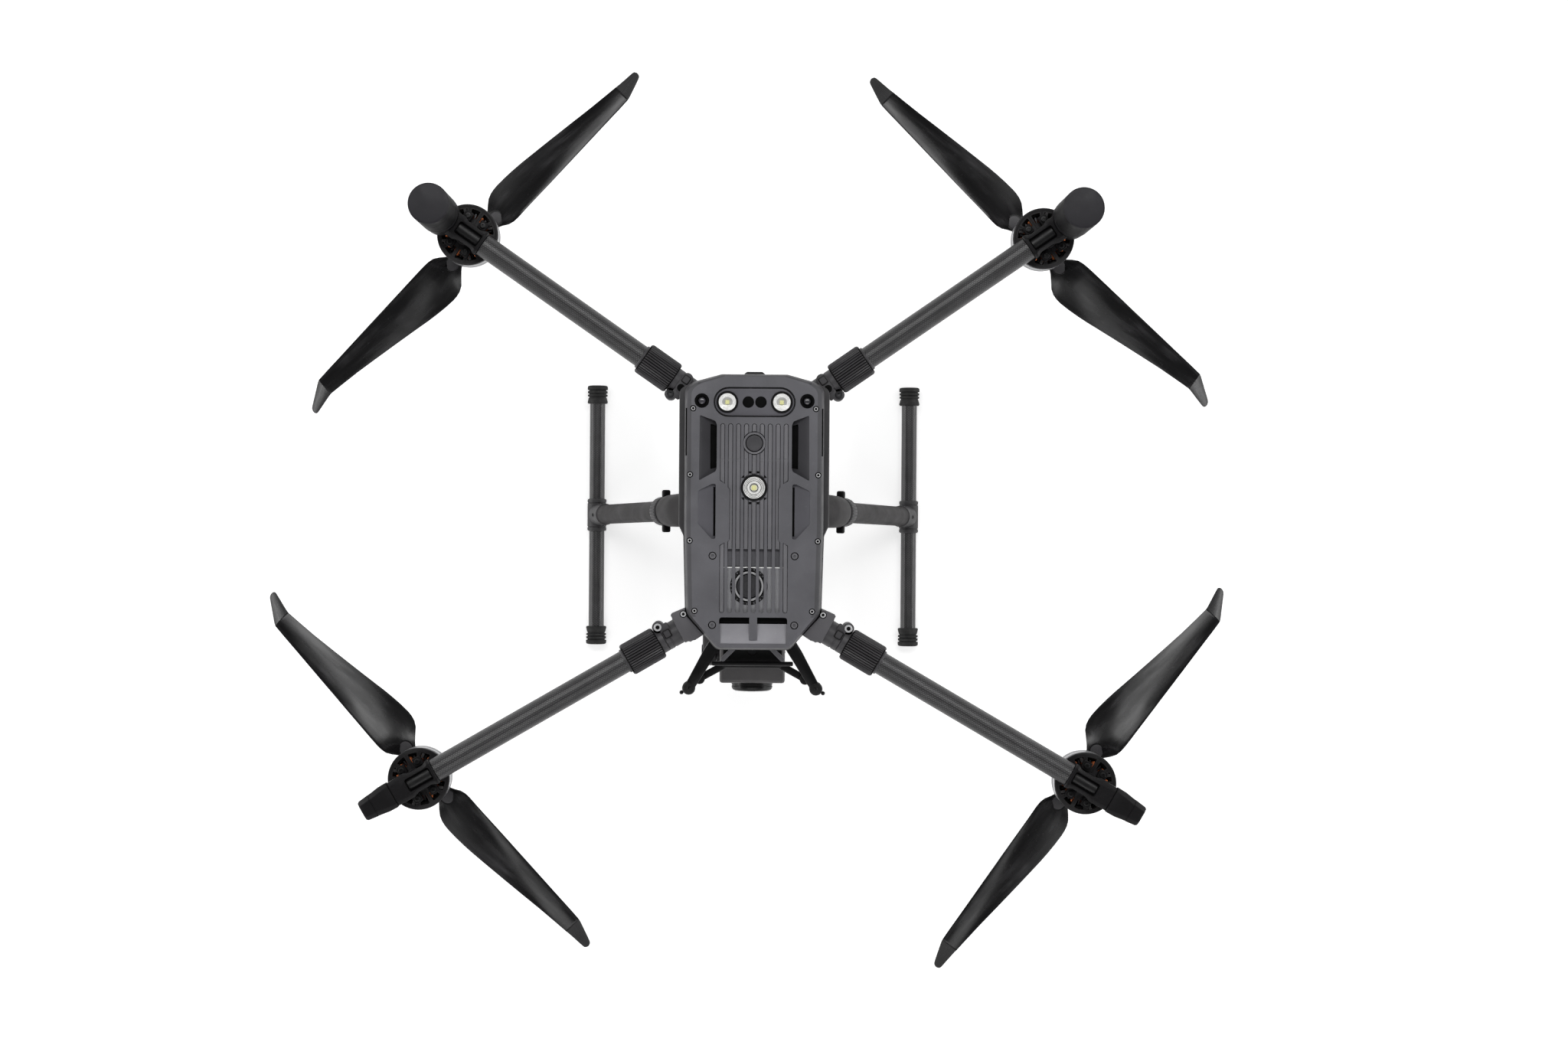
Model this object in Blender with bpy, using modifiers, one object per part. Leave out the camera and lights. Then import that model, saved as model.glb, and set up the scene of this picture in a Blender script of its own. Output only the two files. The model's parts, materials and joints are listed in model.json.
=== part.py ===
"""Folding quadcopter drone with a camera gimbal, built from separate named parts.

Metres, +Z up. The nose points to -Y and the origin is on the floor below the middle of the drone.
"""

import math

import bmesh
import bpy
from mathutils import Matrix, Vector

# Clearances
FIT = 0.0003
RUN = 0.0004

# Shift of the whole drone that puts the origin below the middle of its box
FRAME_SHIFT_Y = 0.005

# Fuselage levels
BELLY_Z = 0.240
# Raised plate under the belly, behind the camera bracket, that a payload rests against
BELLY_PAD_HALF = 0.054
BELLY_PAD_REAR_Y = 0.128
BELLY_PAD_FRONT_Y = -0.088
BELLY_PAD_PROUD = 0.002
BELLY_PAD_CORNER = 0.012
TUB_TOP_Z = 0.295
COVER_BASE_Z = 0.343
COVER_TOP_Z = 0.365
COVER_SKIRT = 0.009

# Fuselage outline seen from above, right half, from the tail to the nose
TAIL_Y = 0.148
TAIL_HALF = 0.0355
SHOULDER_HALF = 0.0645
SHOULDER_Y = 0.140
COVER_HALF = 0.075
REAR_CORNER_Y = 0.133
NOSE_CORNER_Y = -0.1095
NOSE_CORNER_HALF = 0.0725
NOSE_Y = -0.148
NOSE_HALF = 0.039
WALL_HALF = 0.0813
WALL_FRONT_Y = -0.015
WAIST_HALF = 0.0762
WAIST_Y = -0.026
COVER_TOP_INSET = 0.009
COVER_END_INSET = 0.004

# Cooling slots and heat sink
SLOT_COLUMNS = 9
SLOT_PITCH = 0.0085
SLOT_WIDTH = 0.0047
SLOT_REAR_Y = 0.094
SLOT_FRONT_Y = -0.108
SLOT_BREAK_REAR_Y = 0.030
SLOT_BREAK_FRONT_Y = -0.036
FIN_WIDTH = 0.0027
FIN_DROP = 0.0020
SINK_PLATE = 0.0060
SINK_MARGIN = 0.003

# Round fittings along the centre line of the cover
BUTTON_Y = 0.0735
BUTTON_RADIUS = 0.0086
BUTTON_BOSS_RADIUS = 0.0118
BUTTON_HEIGHT = 0.008
BUTTON_PROUD = 0.0010
BEACON_Y = 0.0258
BEACON_RADIUS = 0.0128
BEACON_BOSS_RADIUS = 0.0145
BEACON_HEIGHT = 0.007
BEACON_DOME = 0.0012

# Lamp panel and stereo lens holes at the tail of the cover
PANEL_Y = 0.11755
PANEL_HALF = 0.0437
PANEL_RADIUS = 0.01575
PANEL_DEPTH = 0.008
LAMP_X = 0.0292
LAMP_RADIUS = 0.0115
LAMP_FLOOR_RADIUS = 0.0045
LAMP_DEPTH = 0.0055
WINDOW_X = 0.00675
WINDOW_RADIUS = 0.0056
WINDOW_DEPTH = 0.0015
STEREO_X = 0.0565
STEREO_Y = 0.1188
STEREO_RADIUS = 0.0076
STEREO_DEPTH = 0.003

# Side scoops, side pockets and nose windows of the cover
SCOOP_INNER_X = 0.0406
SCOOP_STEP_X = 0.0477
SCOOP_OUTER_X = 0.0603
SCOOP_REAR_Y = 0.104
SCOOP_FRONT_Y = 0.034
SCOOP_SLOPE_DEPTH = 0.009
SCOOP_SLOT_DEPTH = 0.016
SCOOP_SLOT_END = 0.010
POCKET_INNER_X = 0.041
POCKET_OUTER_X = 0.061
POCKET_HALF_LENGTH = 0.029
POCKET_CORNER = 0.010
POCKET_DEPTH = 0.004
NOSE_WINDOW_HALF = 0.036
NOSE_WINDOW_REAR_Y = -0.114
NOSE_WINDOW_FRONT_Y = -0.141
NOSE_WINDOW_DEPTH = 0.012
NOSE_BAR_HALF = 0.0036

# Tail nub, cooling fan and battery bays
NUB_HALF = 0.014
NUB_LENGTH = 0.0035
NUB_HEIGHT = 0.012
FAN_X = -0.005
FAN_Y = -0.080
FAN_RADIUS = 0.0190
FAN_HUB_RADIUS = 0.0075
FAN_RING = 0.0018
FAN_HEIGHT = 0.009
FAN_BLADES = 5
FAN_BLADE_WIDTH = 0.005
FAN_BLADE_PITCH = math.radians(38)
FAN_SHAFT_RADIUS = 0.0025
FAN_SHAFT_LENGTH = 0.006
BAY_INNER_X = 0.003
BAY_WIDTH = 0.058
BAY_FLOOR = 0.007
BAY_HEIGHT = 0.044
BAY_FRONT_Y = -0.004
BATTERY_LENGTH = 0.142
BATTERY_GRIP_DEPTH = 0.004
BATTERY_GRIP_HEIGHT = 0.016
BATTERY_GRIP_WIDTH = 0.034
BATTERY_BEVEL = 0.003

# Arm geometry, one entry per pair: rear and front
DIHEDRAL = math.radians(6.0)
REAR_MOTOR = (0.314, 0.300)
FRONT_MOTOR = (0.359, -0.290)
REAR_SPLIT = (0.0831, 0.1409)
FRONT_SPLIT = (0.0955, -0.1380)
REAR_HINGE_Z = 0.311
FRONT_HINGE_Z = 0.337
REAR_PIN_OFFSET = 0.0157
FRONT_PIN_OFFSET = 0.0147
PIN_RADIUS = 0.0026
KNUCKLE_RADIUS = 0.0062
KNUCKLE_HALF = 0.0130
KNUCKLE_MIDDLE_HALF = 0.0060

# Arm roots
COLLAR_RADIUS = 0.0138
COLLAR_LENGTH = 0.022
ROOT_HALF_WIDTH = 0.0165
ROOT_HALF_HEIGHT = 0.0150
ROOT_CHAMFER = 0.005
ROOT_LENGTH = 0.034
PAD_LENGTH = 0.0105
PAD_HALF_WIDTH = 0.0050
PAD_PROUD = 0.0018
REAR_ROOT_TOWARD = (0.046, 0.110)
FRONT_ROOT_TOWARD = (0.046, -0.098)

# Hinge couplings, tubes and lock sleeves
TUBE_RADIUS = 0.01235
COUPLING_LENGTH = 0.050
TUBE_INSERT = 0.026
SPIGOT_RADIUS = 0.0095
SLEEVE_START = 0.0075
SLEEVE_LENGTH = 0.040
SLEEVE_RADIUS = 0.0172
SLEEVE_EAR = 0.0188
SLEEVE_EAR_HALF = math.radians(26)
SLEEVE_RIBS = 11
SLEEVE_RIB_DEPTH = 0.0007

# Motor mounts
MOUNT_INBOARD = 0.022
MOUNT_OUTBOARD = 0.028
MOUNT_HALF_WIDTH = 0.0135
MOUNT_HALF_HEIGHT = 0.0132
MOUNT_CHAMFER = 0.004
MOUNT_POCKET_START = 0.0035
MOUNT_POCKET_LENGTH = 0.029
MOUNT_POCKET_CORNER = 0.003
MOUNT_POCKET_WIDTH = 0.015
MOUNT_POCKET_DEPTH = 0.0025
MOUNT_SPIGOT = 0.012
SEAT_RADIUS = 0.0175
SEAT_DROP = 0.0165

# Antenna cans on the rear arms and nose caps on the front arms
ANTENNA_OUT = 0.0335
ANTENNA_RADIUS = 0.0216
ANTENNA_TOP_Z = 0.430
ANTENNA_PAD_RISE = 0.007
ANTENNA_PAD_DEPTH = 0.016
ANTENNA_ROUND = 0.0035
ANTENNA_RIM = 0.0012
NOSE_CAP_TIP = 0.065
NOSE_CAP_TIP_HALF = 0.0105
NOSE_CAP_TIP_HEIGHT = 0.0085

# Motors
STATOR_RADIUS = 0.0333
STATOR_BASE = 0.0040
STATOR_HUB_RADIUS = 0.0125
DRUM_RADIUS = 0.0254
DRUM_TOP = 0.009
DRUM_BOTTOM = 0.0225
WINDOW_COUNT = 6
WINDOW_INNER = 0.0165
WINDOW_OUTER = 0.0295
WINDOW_SPREAD = math.radians(42)
BELL_TOP = 0.0075
BELL_BOTTOM = 0.0295
BELL_RADIUS = 0.0331
BELL_WALL = 0.0066
BELL_PLATE = 0.0035
SHAFT_RADIUS = 0.0040

# Propeller hubs and blades
BLADE_LEVEL = 0.062
BLADE_PIN_RADIUS_OUT = 0.0215
BLADE_PIN_RADIUS = 0.0025
LUG_RADIUS = 0.0085
LUG_HALF = 0.0030
HUB_PLATE = 0.0026
HUB_RADIUS = 0.0108
TIP_RADIUS = 0.2667
BLADE_THICK_ROOT = 0.0050
BLADE_THICK_TIP = 0.0012
BLADE_PITCH_ROOT = math.radians(14.0)
BLADE_PITCH_TIP = math.radians(6.0)
BLADE_STRAIGHT_EDGE = 0.0180
BLADE_WIDE_EDGE = 0.0245
BLADE_WIDE_AT = 0.065
BLADE_TAPER_END = 0.228
BLADE_ROOT_HALF = 0.0055

# Landing gear
SKID_X = 0.192
SKID_Y = -0.005
SKID_RADIUS = 0.009375
SKID_LENGTH = 0.318
CAP_RADIUS = 0.0125
CAP_LENGTH = 0.022
CAP_INSERT = 0.016
CAP_RIDGES = 2
CAP_RIDGE_DEPTH = 0.0011
LEG_RADIUS = 0.01175
LEG_TOP_X = 0.084
LEG_TOP_Y = 0.001
LEG_TOP_Z = 0.270
TEE_LENGTH = 0.0395
TEE_RADIUS = 0.0117
SOCKET_RADIUS = 0.0175
SOCKET_OUT = 0.026
SOCKET_DEPTH = 0.016
RING_START = 0.033
RING_LENGTH = 0.017
RING_RADIUS = 0.0165
RING_TAB_REACH = 0.0225
RING_TAB_HALF = 0.0045

# Gimbal bracket
BRACKET_Z = 0.224
BRACKET_THICK = 0.0155
BRACKET_BASE_HALF = 0.032
BRACKET_BASE_REAR_Y = -0.100
STRUT_ROOT = (0.042, -0.146)
STRUT_TIP = (0.072, -0.200)
STRUT_HALF = 0.0052
STRUT_DEPTH = 0.010
DAMPER_RADIUS = 0.0075
DAMPER_DROP = 0.008
CROSSBAR_Y = -0.172
CROSSBAR_HALF_LENGTH = 0.044
CROSSBAR_HALF_WIDTH = 0.0042
LOWER_PLATE_THICK = 0.006
LOWER_PLATE_HALF = 0.034
LOWER_PLATE_REAR_Y = -0.128
LOWER_PLATE_FRONT_Y = -0.178
LOWER_TIP = (0.060, -0.190)
LOWER_DAMPER_RADIUS = 0.0060
POST_RADIUS = 0.0065
POST_X = 0.022
POST_Y = -0.138

# Gimbal arms and camera
YAW_Y = -0.158
YAW_RADIUS = 0.018
YAW_MOTOR_HEIGHT = 0.0115
YAW_SHAFT_RADIUS = 0.0045
YAW_BAR_HALF = 0.011
YAW_BAR_THICK = 0.008
YAW_BACK_Y = -0.088
CAMERA_AXIS_Y = -0.167
CAMERA_AXIS_Z = 0.142
ROLL_RADIUS = 0.015
ROLL_MOTOR_LENGTH = 0.010
ROLL_DISC_LENGTH = 0.0055
ROLL_BAR_HALF = 0.010
ROLL_PLATE_THICK = 0.006
ROLL_SIDE_X = -0.050
PITCH_RADIUS = 0.0135
PITCH_MOTOR_LENGTH = 0.008
PITCH_HUB_RADIUS = 0.012
CAMERA_HALF_WIDTH = 0.038
CAMERA_HALF_DEPTH = 0.032
CAMERA_HALF_HEIGHT = 0.028
CAMERA_BEVEL = 0.004
LENS_RADIUS = 0.024
LENS_LENGTH = 0.010
LENS_BORE_RADIUS = 0.0195
LENS_BORE_DEPTH = 0.006

# Rest angles of the blades, degrees from +X seen from above
BLADE_ANGLES = {
    "rear_left": (47.1, 226.1),
    "rear_right": (132.9, 317.4),
    "front_left": (130.7, 311.6),
    "front_right": (51.1, 236.0),
}

# Rounds
SIDES = 12
FINE_SIDES = 16
PIN_SIDES = 8

ALONG_X = Matrix(((0, 0, 1, 0), (1, 0, 0, 0), (0, 1, 0, 0), (0, 0, 0, 1)))
ALONG_Y = Matrix.Rotation(math.radians(-90), 4, "X")

# Colour, roughness and metallic value of each finish
FINISHES = {
    "cover_grey": ((0.105, 0.105, 0.115), 0.55, 0.0),
    "dark_grey": ((0.045, 0.045, 0.050), 0.60, 0.0),
    "black": ((0.012, 0.012, 0.013), 0.55, 0.0),
    "rubber": ((0.010, 0.010, 0.010), 0.85, 0.0),
    "carbon": ((0.030, 0.031, 0.034), 0.35, 0.2),
    "blade": ((0.014, 0.014, 0.016), 0.30, 0.0),
    "metal": ((0.300, 0.300, 0.310), 0.35, 1.0),
    "copper": ((0.420, 0.170, 0.060), 0.40, 1.0),
    "lamp": ((0.650, 0.650, 0.660), 0.20, 0.0),
}


def clear_scene():
    """Remove every object and collection of the open file."""
    for obj in list(bpy.data.objects):
        bpy.data.objects.remove(obj, do_unlink=True)
    for group in list(bpy.data.collections):
        bpy.data.collections.remove(group)


def new_collection(name):
    """Return a new collection linked to the scene."""
    group = bpy.data.collections.new(name)
    bpy.context.scene.collection.children.link(group)
    return group


def finish_material(name):
    """Return the Principled material of a named finish."""
    material = bpy.data.materials.get(name)
    if material is None:
        colour, roughness, metallic = FINISHES[name]
        material = bpy.data.materials.new(name)
        material.use_nodes = True
        shader = material.node_tree.nodes["Principled BSDF"]
        shader.inputs["Base Color"].default_value = (*colour, 1.0)
        shader.inputs["Roughness"].default_value = roughness
        shader.inputs["Metallic"].default_value = metallic
        material.diffuse_color = (*colour, 1.0)
    return material


clear_scene()
PARTS = new_collection("quadcopter_drone")
TOOLS = new_collection("cutters")


def mesh_object(name, bm, frame=None):
    """Turn a bmesh into an object in the tool collection, moved by frame."""
    bmesh.ops.recalc_face_normals(bm, faces=bm.faces)
    if frame is not None:
        bmesh.ops.transform(bm, matrix=frame, verts=bm.verts)
    mesh = bpy.data.meshes.new(name)
    bm.to_mesh(mesh)
    bm.free()
    obj = bpy.data.objects.new(name, mesh)
    obj.display_type = "WIRE"
    obj.hide_render = True
    TOOLS.objects.link(obj)
    return obj


def box(low, high, frame=None):
    """Return a box between two corners."""
    bm = bmesh.new()
    bmesh.ops.create_cube(bm, size=1.0)
    low = Vector(low)
    high = Vector(high)
    for vert in bm.verts:
        vert.co = Vector(low[i] + (vert.co[i] + 0.5) * (high[i] - low[i]) for i in range(3))
    return mesh_object("box", bm, frame)


def drum(radius, low, high, sides=SIDES, frame=None, top_radius=None):
    """Return a cylinder or cone frustum about Z between two heights."""
    bm = bmesh.new()
    bmesh.ops.create_cone(
        bm,
        cap_ends=True,
        segments=sides,
        radius1=radius,
        radius2=radius if top_radius is None else top_radius,
        depth=high - low,
        matrix=Matrix.Translation((0, 0, (low + high) / 2)),
    )
    return mesh_object("drum", bm, frame)


def hole(radius, sides=SIDES):
    """Return the corner radius of a faceted hole whose flats clear a round of this radius."""
    return radius / math.cos(math.pi / sides)


def prism(outline, low, high, frame=None):
    """Return a flat outline of (x, y) points extruded along Z."""
    bm = bmesh.new()
    face = bm.faces.new([bm.verts.new((x, y, low)) for x, y in outline])
    grown = bmesh.ops.extrude_face_region(bm, geom=[face])
    rise = Vector((0, 0, high - low))
    bmesh.ops.translate(bm, vec=rise, verts=[v for v in grown["geom"] if isinstance(v, bmesh.types.BMVert)])
    return mesh_object("prism", bm, frame)


def loft(rings, frame=None):
    """Return a solid through rings of points, each ring with the same count."""
    bm = bmesh.new()
    rows = [[bm.verts.new(point) for point in ring] for ring in rings]
    count = len(rows[0])
    for lower, upper in zip(rows, rows[1:]):
        for i in range(count):
            j = (i + 1) % count
            bm.faces.new((lower[i], lower[j], upper[j], upper[i]))
    bm.faces.new(rows[0])
    bm.faces.new(rows[-1])
    return mesh_object("loft", bm, frame)


def bake(obj):
    """Replace an object's mesh by its evaluated shape and drop its modifiers."""
    graph = bpy.context.evaluated_depsgraph_get()
    mesh = bpy.data.meshes.new_from_object(obj.evaluated_get(graph))
    obj.modifiers.clear()
    obj.data = mesh
    return obj


def turned(profile, sides=SIDES, frame=None):
    """Return a profile of (radius, z) points, top to bottom, turned about Z."""
    bm = bmesh.new()
    verts = [bm.verts.new((radius, 0, z)) for radius, z in profile]
    for first, second in zip(verts, verts[1:]):
        bm.edges.new((first, second))
    mesh = bpy.data.meshes.new("turned")
    bm.to_mesh(mesh)
    bm.free()
    obj = bpy.data.objects.new("turned", mesh)
    TOOLS.objects.link(obj)
    screw = obj.modifiers.new("turn", "SCREW")
    screw.axis = "Z"
    screw.angle = math.tau
    screw.steps = sides
    screw.render_steps = sides
    screw.use_merge_vertices = True
    screw.merge_threshold = 0.00001
    bake(obj)
    solid = bmesh.new()
    solid.from_mesh(obj.data)
    bmesh.ops.remove_doubles(solid, verts=solid.verts, dist=0.00001)
    bpy.data.objects.remove(obj, do_unlink=True)
    return mesh_object("turned", solid, frame)


def combine(target, tools, operation):
    """Apply one Boolean per tool to the target and remove the tools."""
    for tool in tools:
        change = target.modifiers.new(operation.lower(), "BOOLEAN")
        change.operation = operation
        change.solver = "EXACT"
        change.object = tool
    bake(target)
    for tool in tools:
        bpy.data.objects.remove(tool, do_unlink=True)
    return target


def join(target, *tools):
    """Unite the tools with the target."""
    return combine(target, tools, "UNION")


def cut(target, *tools):
    """Cut the tools out of the target."""
    return combine(target, tools, "DIFFERENCE")


def bevelled(obj, width, segments=1):
    """Round the sharp edges of an object."""
    bevel = obj.modifiers.new("bevel", "BEVEL")
    bevel.width = width
    bevel.segments = segments
    bevel.limit_method = "ANGLE"
    bevel.angle_limit = math.radians(40)
    return bake(obj)


def empty(name, matrix, parent=None):
    """Return an empty at a matrix, which carries parts."""
    obj = bpy.data.objects.new(name, None)
    obj.empty_display_size = 0.02
    PARTS.objects.link(obj)
    obj.parent = parent
    obj.matrix_local = matrix
    return obj


def part(obj, name, finish, parent=None, matrix=None):
    """Name an object as a finished part and hang it on its parent."""
    obj.name = name
    obj.data.name = name
    obj.data.materials.clear()
    obj.data.materials.append(finish_material(finish))
    obj.data.shade_smooth()
    obj.data.set_sharp_from_angle(angle=math.radians(35))
    obj.display_type = "TEXTURED"
    obj.hide_render = False
    TOOLS.objects.unlink(obj)
    PARTS.objects.link(obj)
    obj.parent = parent
    if matrix is not None:
        obj.matrix_local = matrix
    return obj


def both_sides(half):
    """Return a closed outline from its right half, listed from tail to nose."""
    return [(x, y) for x, y in half] + [(-x, y) for x, y in reversed(half)]


def circle(radius, sides, centre=(0.0, 0.0), start=0.0, turn=math.tau):
    """Return points on an arc, without the closing point of a full circle."""
    steps = sides if turn == math.tau else sides - 1
    angles = [start + turn * i / steps for i in range(sides)]
    return [(centre[0] + radius * math.cos(a), centre[1] + radius * math.sin(a)) for a in angles]


def stadium(half_length, radius, sides=7):
    """Return a slot outline along X with round ends."""
    reach = half_length - radius
    right = circle(radius, sides, (reach, 0.0), -math.pi / 2, math.pi)
    left = circle(radius, sides, (-reach, 0.0), math.pi / 2, math.pi)
    return right + left


def cut_corners(half_x, half_y, corner):
    """Return a rectangle outline with cut corners."""
    return [
        (half_x - corner, -half_y),
        (half_x, -half_y + corner),
        (half_x, half_y - corner),
        (half_x - corner, half_y),
        (-half_x + corner, half_y),
        (-half_x, half_y - corner),
        (-half_x, -half_y + corner),
        (-half_x + corner, -half_y),
    ]


def cover_outline():
    """Return the outline of the upper cover."""
    return both_sides([
        (TAIL_HALF, TAIL_Y),
        (SHOULDER_HALF, SHOULDER_Y),
        (COVER_HALF, REAR_CORNER_Y),
        (COVER_HALF, WALL_FRONT_Y),
        (NOSE_CORNER_HALF, NOSE_CORNER_Y),
        (NOSE_HALF, NOSE_Y),
    ])


def wall_outline(inset):
    """Return the outline of the fuselage walls, drawn in by inset."""
    return both_sides([
        (TAIL_HALF, TAIL_Y - inset),
        (SHOULDER_HALF - inset, SHOULDER_Y - inset),
        (WALL_HALF - inset, REAR_CORNER_Y - 2 * inset),
        (WALL_HALF - inset, WALL_FRONT_Y),
        (WAIST_HALF - inset, WAIST_Y),
        (NOSE_CORNER_HALF - inset, NOSE_CORNER_Y),
        (NOSE_HALF, NOSE_Y + inset),
    ])


def along(start, end):
    """Return the frame at start whose Z axis points to end."""
    way = Vector(end) - Vector(start)
    return Matrix.Translation(start) @ way.to_track_quat("Z", "Y").to_matrix().to_4x4()


def slot_centres():
    """Return the X position of each slot column."""
    middle = (SLOT_COLUMNS - 1) / 2
    return [(i - middle) * SLOT_PITCH for i in range(SLOT_COLUMNS)]


def slot_spans(column):
    """Return the Y spans of one slot column; the outermost columns are broken at the side pockets."""
    if column in (0, SLOT_COLUMNS - 1):
        return [(SLOT_BREAK_REAR_Y, SLOT_REAR_Y), (SLOT_FRONT_Y, SLOT_BREAK_FRONT_Y)]
    return [(SLOT_FRONT_Y, SLOT_REAR_Y)]


def slot_cutters():
    """Return one cutter for each run of cooling slot."""
    cutters = []
    for column, x in enumerate(slot_centres()):
        for front, rear in slot_spans(column):
            outline = stadium((rear - front) / 2, SLOT_WIDTH / 2, 3)
            frame = Matrix.Translation((x, (front + rear) / 2, 0)) @ Matrix.Rotation(math.pi / 2, 4, "Z")
            cutters.append(prism(outline, COVER_BASE_Z - 0.01, COVER_TOP_Z + 0.01, frame))
    return cutters


def scoop_cutter(side):
    """Return the sloped side scoop and its deep slot as one cutter."""
    top = COVER_TOP_Z + 0.002
    slope = [
        (side * SCOOP_OUTER_X, top),
        (side * SCOOP_OUTER_X, COVER_TOP_Z),
        (side * SCOOP_STEP_X, COVER_TOP_Z - SCOOP_SLOPE_DEPTH),
        (side * SCOOP_INNER_X, COVER_TOP_Z - SCOOP_SLOPE_DEPTH),
        (side * SCOOP_INNER_X, top),
    ]
    flip = [(x, -z) for x, z in slope]
    body = prism(flip, SCOOP_FRONT_Y, SCOOP_REAR_Y, ALONG_Y)
    low_x, high_x = sorted((side * SCOOP_INNER_X, side * SCOOP_STEP_X))
    slot = box(
        (low_x, SCOOP_FRONT_Y + SCOOP_SLOT_END, COVER_TOP_Z - SCOOP_SLOT_DEPTH),
        (high_x, SCOOP_REAR_Y - SCOOP_SLOT_END, COVER_TOP_Z - SCOOP_SLOPE_DEPTH / 2),
    )
    return join(body, slot)


def nose_window_cutter(side):
    """Return one ramped window of the nose, deep at its rear edge."""
    outline = [
        (NOSE_WINDOW_FRONT_Y, COVER_TOP_Z - FIT),
        (NOSE_WINDOW_FRONT_Y, COVER_TOP_Z + 0.002),
        (NOSE_WINDOW_REAR_Y, COVER_TOP_Z + 0.002),
        (NOSE_WINDOW_REAR_Y, COVER_TOP_Z - NOSE_WINDOW_DEPTH),
    ]
    low_x, high_x = sorted((side * NOSE_BAR_HALF, side * NOSE_WINDOW_HALF))
    return prism(outline, low_x, high_x, ALONG_X)


def pocket_cutter(side):
    """Return the shallow side pocket with cut corners."""
    half = (POCKET_OUTER_X - POCKET_INNER_X) / 2
    middle = side * (POCKET_OUTER_X + POCKET_INNER_X) / 2
    outline = cut_corners(half, POCKET_HALF_LENGTH, POCKET_CORNER * 0.8)
    return prism(outline, COVER_TOP_Z - POCKET_DEPTH, COVER_TOP_Z + 0.002, Matrix.Translation((middle, 0, 0)))


def make_upper_cover():
    """Build the finned upper cover."""
    outline = cover_outline()
    shrink_x = (COVER_HALF - COVER_TOP_INSET) / COVER_HALF
    shrink_y = (TAIL_Y - COVER_END_INSET) / TAIL_Y
    rings = [
        [(x, y, COVER_BASE_Z) for x, y in outline],
        [(x, y, COVER_BASE_Z + COVER_SKIRT) for x, y in outline],
        [(x * shrink_x, y * shrink_y, COVER_TOP_Z) for x, y in outline],
    ]
    cover = loft(rings)
    cut(cover, *slot_cutters())
    bosses = [
        drum(BUTTON_BOSS_RADIUS, COVER_BASE_Z + FIT, COVER_TOP_Z, FINE_SIDES, Matrix.Translation((0, BUTTON_Y, 0))),
        drum(BEACON_BOSS_RADIUS, COVER_BASE_Z + FIT, COVER_TOP_Z, FINE_SIDES, Matrix.Translation((0, BEACON_Y, 0))),
    ]
    join(cover, *bosses)
    cutters = [
        drum(BUTTON_RADIUS + RUN, COVER_BASE_Z - 0.01, COVER_TOP_Z + 0.01, SIDES, Matrix.Translation((0, BUTTON_Y, 0))),
        drum(
            BEACON_RADIUS + FIT,
            COVER_TOP_Z - BEACON_HEIGHT - FIT,
            COVER_TOP_Z + 0.01,
            SIDES,
            Matrix.Translation((0, BEACON_Y, 0)),
        ),
        prism(
            stadium(PANEL_HALF + FIT, PANEL_RADIUS + FIT),
            COVER_TOP_Z - PANEL_DEPTH - FIT,
            COVER_TOP_Z + 0.01,
            Matrix.Translation((0, PANEL_Y, 0)),
        ),
    ]
    for side in (-1, 1):
        cutters.append(scoop_cutter(side))
        cutters.append(pocket_cutter(side))
        cutters.append(nose_window_cutter(side))
        cutters.append(drum(
            STEREO_RADIUS,
            COVER_TOP_Z - STEREO_DEPTH,
            COVER_TOP_Z + 0.01,
            SIDES,
            Matrix.Translation((side * STEREO_X, STEREO_Y, 0)),
        ))
    cut(cover, *cutters)
    return part(cover, "upper_cover", "cover_grey")


def make_lamp_panel():
    """Build the tail panel with two lamp cups and two round windows."""
    panel = prism(
        stadium(PANEL_HALF, PANEL_RADIUS),
        COVER_TOP_Z - PANEL_DEPTH,
        COVER_TOP_Z,
        Matrix.Translation((0, PANEL_Y, 0)),
    )
    cutters = []
    for side in (-1, 1):
        place = Matrix.Translation((side * LAMP_X, PANEL_Y, 0))
        cutters.append(drum(LAMP_FLOOR_RADIUS, COVER_TOP_Z - LAMP_DEPTH, COVER_TOP_Z + FIT, SIDES, place, LAMP_RADIUS))
        place = Matrix.Translation((side * WINDOW_X, PANEL_Y, 0))
        cutters.append(drum(WINDOW_RADIUS, COVER_TOP_Z - WINDOW_DEPTH, COVER_TOP_Z + 0.001, PIN_SIDES, place))
    cut(panel, *cutters)
    return part(panel, "lamp_panel", "black")


def make_beacon_lamp():
    """Build the ringed lens of the beacon."""
    top = COVER_TOP_Z
    profile = [
        (0.0, top + BEACON_DOME),
        (BEACON_RADIUS * 0.30, top + BEACON_DOME),
        (BEACON_RADIUS * 0.36, top),
        (BEACON_RADIUS * 0.60, top),
        (BEACON_RADIUS * 0.66, top + BEACON_DOME * 0.6),
        (BEACON_RADIUS * 0.84, top + BEACON_DOME * 0.4),
        (BEACON_RADIUS * 0.88, top),
        (BEACON_RADIUS, top),
        (BEACON_RADIUS, top - BEACON_HEIGHT),
        (0.0, top - BEACON_HEIGHT),
    ]
    lens = turned(profile, SIDES, Matrix.Translation((0, BEACON_Y, 0)))
    return part(lens, "beacon_lamp", "lamp")


def make_power_button():
    """Build the power button on its own axis."""
    profile = [
        (0.0, BUTTON_PROUD - 0.0006),
        (BUTTON_RADIUS * 0.72, BUTTON_PROUD - 0.0006),
        (BUTTON_RADIUS * 0.80, BUTTON_PROUD),
        (BUTTON_RADIUS, BUTTON_PROUD),
        (BUTTON_RADIUS, BUTTON_PROUD - BUTTON_HEIGHT),
        (0.0, BUTTON_PROUD - BUTTON_HEIGHT),
    ]
    button = turned(profile)
    return part(button, "power_button", "dark_grey", None, Matrix.Translation((0, BUTTON_Y, COVER_TOP_Z)))


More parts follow.
